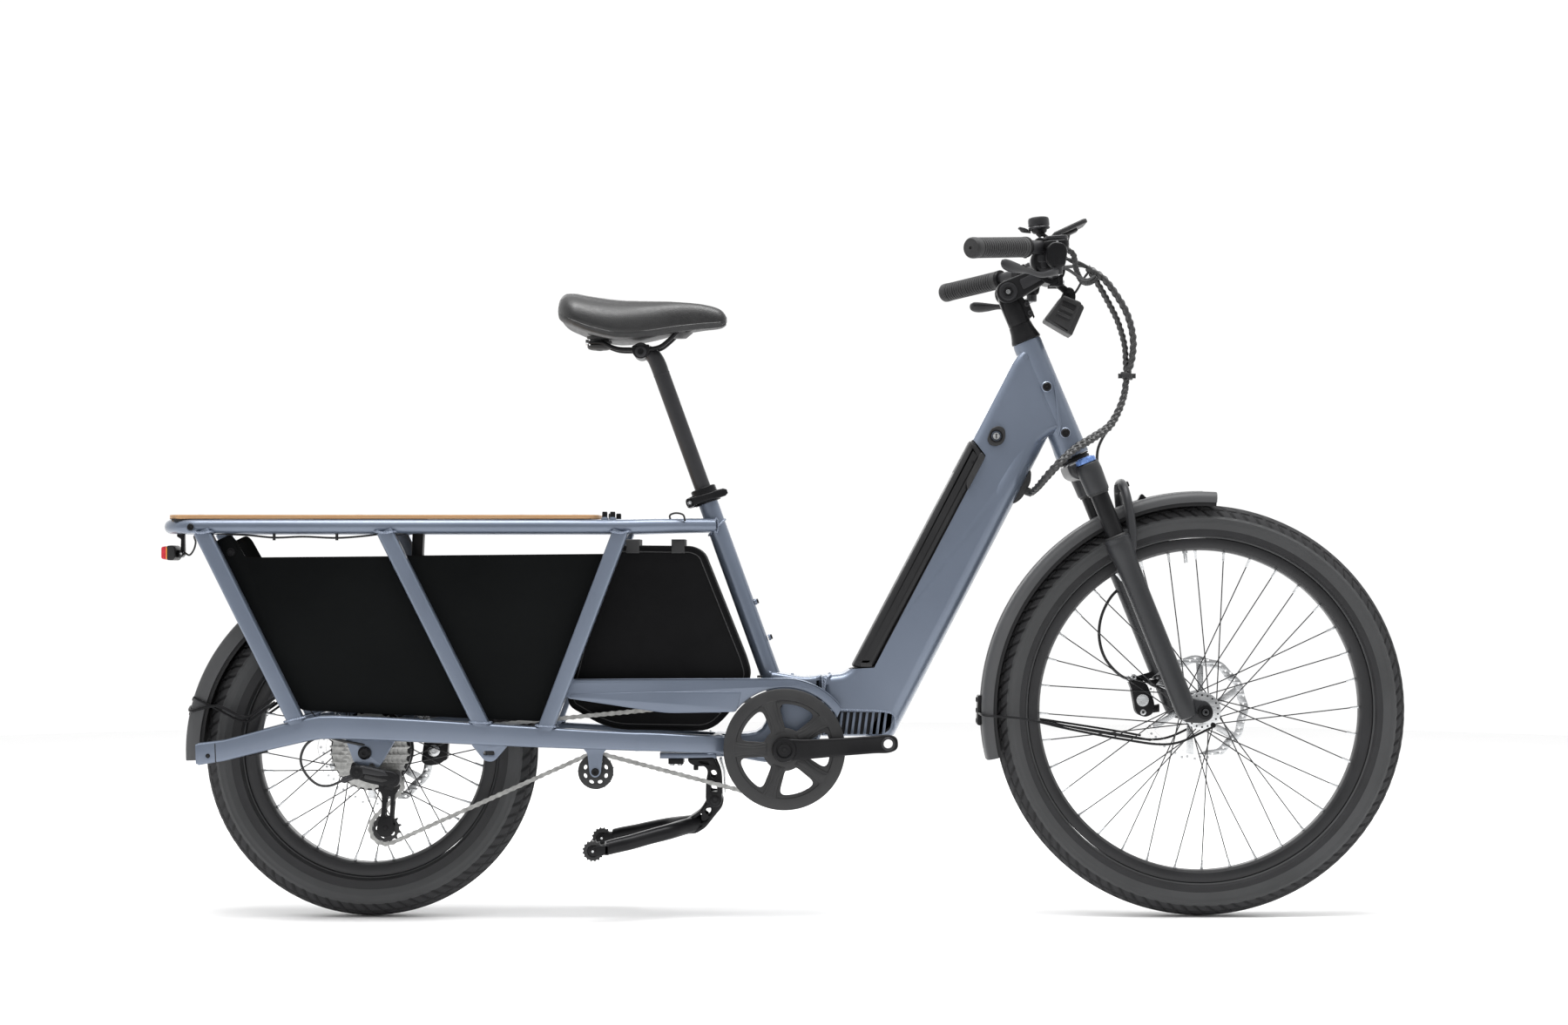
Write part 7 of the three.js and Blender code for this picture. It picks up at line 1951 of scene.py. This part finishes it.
def blade(name, node, side):
    """A two-finger blade that flattens into a rounded tip."""
    piece = Piece(name, node, SATIN, STEEL, SHADE_AND_BLACK)
    piece.turned([(0, 1046), (7.6, 1046), (8.8, 1047), (8.8, 1057.6), (0, 1057.6)], (434, side * 206, 0),
                 (0, 0, 1), 32)
    piece.bolt((434, side * 206, 1046.2), (0, 0, -1), 4.4, 1.6, mark=1, hollow=2)
    rows = [(436, 204, 1052, 6.4), (425, 224, 1047, 5.6), (404, 246, 1041, 4.6), (380, 274, 1044, 4.8),
            (362, 296, 1045.4, 7.8), (347, 313, 1047.4, 9.2), (339, 321, 1049.6, 7.6),
            (335.6, 324.6, 1051.6, 4.2)]
    piece.tube(mirrored(rows, side), None, 22, 7, flat=1.0, up=(0, 0, 1))
    first = len(piece.points) - 22 * (7 * (len(rows) - 1) + 1)
    path = smooth_path(mirrored(rows, side), 7)
    for i in range(first, len(piece.points)):
        row = path[(i - first) // 22]
        centre = Vector(row[:3])
        before, after = path[max((i - first) // 22 - 1, 0)], path[min((i - first) // 22 + 1, len(path) - 1)]
        along = (Vector(after[:3]) - Vector(before[:3])).normalized()
        thin = along.cross(Vector((0, 0, 1))).normalized()
        offset = Vector(piece.points[i]) - centre
        share = (i - first) // 22 / (len(path) - 1)
        size = 0.86 - 0.46 * share
        piece.points[i] = tuple(centre + offset - thin * offset.dot(thin) * (1 - size))
    return piece.done(node, slot="control_alloy", sharp=50)


blade("brake_blade_right", "brake_lever_right", -1)
blade("brake_blade_left", "brake_lever_left", 1)

shift = Piece("shift_paddle", "shift_lever", PLASTIC, STEEL)
shift.turned([(0, 1049.4), (7.4, 1049.4), (8.2, 1050.6), (8.2, 1052.6), (7.0, 1053.2), (0, 1053.2)],
             (414, -176, 0), (0, 0, 1), 30)
shift.tube([(414, -176, 1051.4, 5.4), (403, -189, 1050.6, 4.6), (394, -202, 1050.2, 5.6),
            (389, -210, 1050.2, 6.4), (387, -214, 1050.4, 4.2)], None, 20, 6, up=(0, 0, 1), flat=0.55)
shift.done("shift_lever", slot="black_plastic", sharp=50)

# ---------- display, bell and lamp ----------
screen = Piece("display_unit", "display", PLASTIC, GLASS, ALLOY, STEEL, SHADE_AND_BLACK)
right = Vector((502 - 446, 0, 1157 - 1131)).normalized()
screen_frame = tilted((474, 0, 1144), right, (-right.z, 0, right.x))
screen.at = screen_frame
screen.slab(fillet([(-31, -37), (31, -37), (31, 37), (-31, 37)], 9, 6), -3.8, 3.2, 1.8, steps=3,
            pose=Matrix.Rotation(math.pi / 2, 4, "X"))
screen.slab(fillet([(-28.4, -34.4), (28.4, -34.4), (28.4, 34.4), (-28.4, 34.4)], 7, 6), 2.8, 4.0, 0.5,
            mark=1, pose=Matrix.Rotation(math.pi / 2, 4, "X"))
screen.slab(fillet([(-22, -14), (14, -14), (14, 14), (-22, 14)], 5), -8.6, -3.4, 1.6,
            pose=Matrix.Rotation(math.pi / 2, 4, "X"))
for y in (-8, 8):
    screen.bolt((-14, y, -8.4), (0, 0, -1), 1.9, 0.8, mark=3, hollow=4)
screen.at = Matrix.Identity(4)
screen.tube([(470, 0, 1138), (467, 0, 1126), (463, 1, 1114), (461, 4, 1106)], 8.4, 24)
screen.tube([(461, 2, 1107), (458, 16, 1103), (454, 28, 1097), (450, 36, 1092)], 7.4, 24, flat=0.9)
screen.turned([(16.2, 30), (20, 30), (21.4, 31.4), (21.4, 42.6), (20, 44), (16.2, 44)],
              (BAR_AT[0], 0, BAR_AT[1]), (0, 1, 0), 48, closed=True)
screen.block(424, 430, 30.6, 43.4, 1084, 1098, 1.6)
screen.bolt((426, 37, 1097.6), (0, 0, 1), 3.2, 2.2, mark=3, hollow=4)
screen.tube([(462, -4, 1112), (470, -14, 1096), (478, -24, 1088), (492, -32, 1082), (503, -34, 1077)], 2.2,
            12)
screen.done("display", slot="display_glass")

ding = Piece("bell_unit", "cockpit", ALLOY, SATIN, STEEL)
BELL_AT = (413, -128)
ding.at = Matrix.Translation((BELL_AT[0], BELL_AT[1], 1130)) @ Matrix.Rotation(math.radians(-5), 4, "Y")
ding.turned([(0, -2), (15.6, -2), (17.2, -1.2), (17.6, 0.6), (16.6, 1.8), (16.4, 2.8), (17.3, 4),
             (17.3, 13.4), (16.2, 16), (13.6, 17.4), (0, 18)], (0, 0, 0), (0, 0, 1), 56, mark=1)
ding.turned([(0, -8), (10, -8), (12, -6), (13, -2.2), (0, -2.2)], (0, 0, 0), (0, 0, 1), 40, mark=0)
ding.at = Matrix.Identity(4)
ding.tube([(413, -128, 1124, 7), (419, -128, 1117, 6), (428, -128, 1110, 6.4), (436, -127, 1103, 7)], None,
          20)
band_start, band_end = Vector((443.4, -117, 1091)), Vector((437.6, -137, 1093))
ding.turned([(11.6, 2), (14.4, 2), (15.2, 3.2), (15.2, 17.4), (14.4, 18.6), (11.6, 18.6)], band_start,
            band_end - band_start, 40, closed=True)
ding.done("bell", slot="black_alloy")
thumb = Piece("bell_striker", "bell_lever", PLASTIC)
thumb.tube([(399.6, -128, 1124.4, 2.9), (391, -128, 1124.8, 2.5), (386, -128, 1126.4, 3.2),
            (382.4, -128, 1128.4, 2.0)], None, 18)
thumb.slab(fillet([(378.4, 1129.6), (381, 1132), (390, 1130), (396, 1127), (392, 1124.4), (384, 1125.6)],
                  2), -133, -123, 1.4)
thumb.done("bell_lever", slot="black_plastic")

beam_lamp = Piece("headlight_unit", "headlight", PLASTIC, ALLOY, LENS, SHADE_AND_BLACK, STEEL)
outline = [(463.4, 1033.6), (495.6, 1020.4), (473, 967.4), (432, 992)]
beam_lamp.slab(fillet(outline, [5, 6, 3, 5], 4), -28, 28, 4.6, steps=4)
beam_lamp.slab(fillet([(494.6, 1018), (498.4, 1012), (478, 965.4), (470.6, 969.6), (490, 1015)], 2), -27,
               27, 1.6)
beam_lamp.slab([(496.4, 1011), (497.8, 1010.4), (478.8, 968.8), (477.2, 969.6)], -22, 22, 0.4, mark=2)
fin = [(464, 1025), (486, 1014.6), (483.6, 1009.6), (461.6, 1020)]
for k in range(3):
    drop = (-4.6 * k, -9.2 * k)
    beam_lamp.slab(fillet([(x + drop[0], z + drop[1]) for x, z in fin], 1.4), -30.4, 30.4, 1.0,
                   mark=0 if k else 1)
    # Under each fin a near-black sheet is painted shade in the gap.
    beam_lamp.slab([(x + drop[0] - 1.8 - 0.4, z + drop[1] - 4.6) for x, z in fin[:2]]
                   + [(x + drop[0] - 1.8, z + drop[1] - 3.4) for x, z in fin[2:]],
                   -28.6, 28.6, 0.3, mark=3)
for side in (-1, 1):
    y = side * 11.5
    beam_lamp.slab(fillet([(459, 1022), (484, 1016), (486, 1034), (482, 1045), (474, 1048), (468, 1043)],
                          4), y - 1.9, y + 1.9, 0.8, mark=1)
beam_lamp.bolt((476, -13.4, 1040), (0, -1, 0), 5.4, 2.6, mark=1, hollow=3)
beam_lamp.turned([(0, 13.4), (5.2, 13.4), (5.2, 16.4), (0, 16.4)], (476, 0, 1040), (0, 1, 0), 6, mark=4)
beam_lamp.done("headlight", slot="black_plastic")

# ---------- cables ----------
BUNDLE = [(503, -34, 1077), (525, -34, 1057), (547, -32, 1026), (564, -30, 994), (574, -29, 955),
          (573, -30, 922), (568, -31, 898)]
LOWER = [(568, -31, 898), (564, -34, 868), (555, -39, 842), (538, -46, 814), (508, -60, 793),
         (480, -74, 776), (452, -82, 752), (432, -70, 730), (419, -46, 713), (411, -20, 704)]


def beside(points, away, lift, forward=0.0):
    """The same route, held a little to the side; both ends keep together."""
    made = []
    for i, (x, y, z) in enumerate(points):
        share = math.sin(math.pi * i / (len(points) - 1)) ** 0.7
        made.append((x + forward * share, y + away * share, z + lift * share))
    return made


hoses = Piece("bar_hoses", "cockpit", SLEEVE, PLASTIC)
hoses.helix_cord([(444, -141, 1091), (458, -138, 1093), (468, -132, 1087), (472, -122, 1074),
                  (477, -110, 1060), (488, -86, 1049), (503, -58, 1050), (516, -40, 1058)], 4.2, 0.9, 7.0,
                 1, 18, mark=1)
hoses.tube([(440, -164, 1064), (458, -150, 1060), (478, -122, 1052), (497, -80, 1052), (514, -44, 1062)],
           2.5, 14, mark=1)
hoses.tube([(444, 141, 1091), (462, 130, 1096), (476, 100, 1094), (488, 56, 1090), (498, 12, 1086),
            (505, -28, 1078)], 3.0, 14, mark=1)
hoses.tube([(452, -24, 1090), (468, -30, 1092), (488, -34, 1086), (505, -35, 1077)], 2.6, 14, mark=1)
hoses.tube([(476, 0, 1030), (486, -14, 1040), (496, -26, 1058), (506, -33, 1072)], 2.0, 12, mark=1)
hoses.done()
upper = Piece("bundle_upper", "cockpit", SLEEVE, PLASTIC)
upper.helix_cord(beside(BUNDLE, -6, 4, 5), 4.6, 1.5, 12.0, 3, 20)
upper.helix_cord(beside(BUNDLE, 6, -7, -9), 4.0, 1.4, 10.0, 3, 18)
upper.helix_cord(beside(BUNDLE, 4, 6, 4), 3.0, 0.5, 7.0, 2, 14)
upper_cord = upper.done(ride=False, sharp=60)
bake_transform(upper_cord)
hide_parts("cable_bundle")
tie = Piece("bundle_clip", "steering", PLASTIC)
tie.turned([(3, -4.6), (10.4, -4.6), (11, -3.6), (11, 3.6), (10.4, 4.6), (3, 4.6)], (568, -31, 898),
           (-0.2, -0.06, -0.97), 30, closed=True)
tie.block(554, 583, -35, -27, 894, 902, 2.4)
tie.done()
lower = Piece("bundle_lower", "steering", SLEEVE)
lower.helix_cord(beside(LOWER, 3.4, 2.4), 4.4, 1.5, 12.0, 3, 20)
lower.helix_cord(beside(LOWER, -3.4, -2.4), 3.8, 1.4, 10.0, 3, 18)
lower_cord = lower.done(ride=False, sharp=60)
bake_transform(lower_cord)
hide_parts("cable_bundle")

# ---------- floor ----------
ground = Piece("floor", "root", FLOOR)
ground.turned([(0, 0), (FLOOR_RADIUS, 0)], (0, 0, -0.4), (0, 0, 1), 96)
floor = ground.done(ride=False)
floor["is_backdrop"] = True

low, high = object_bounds()
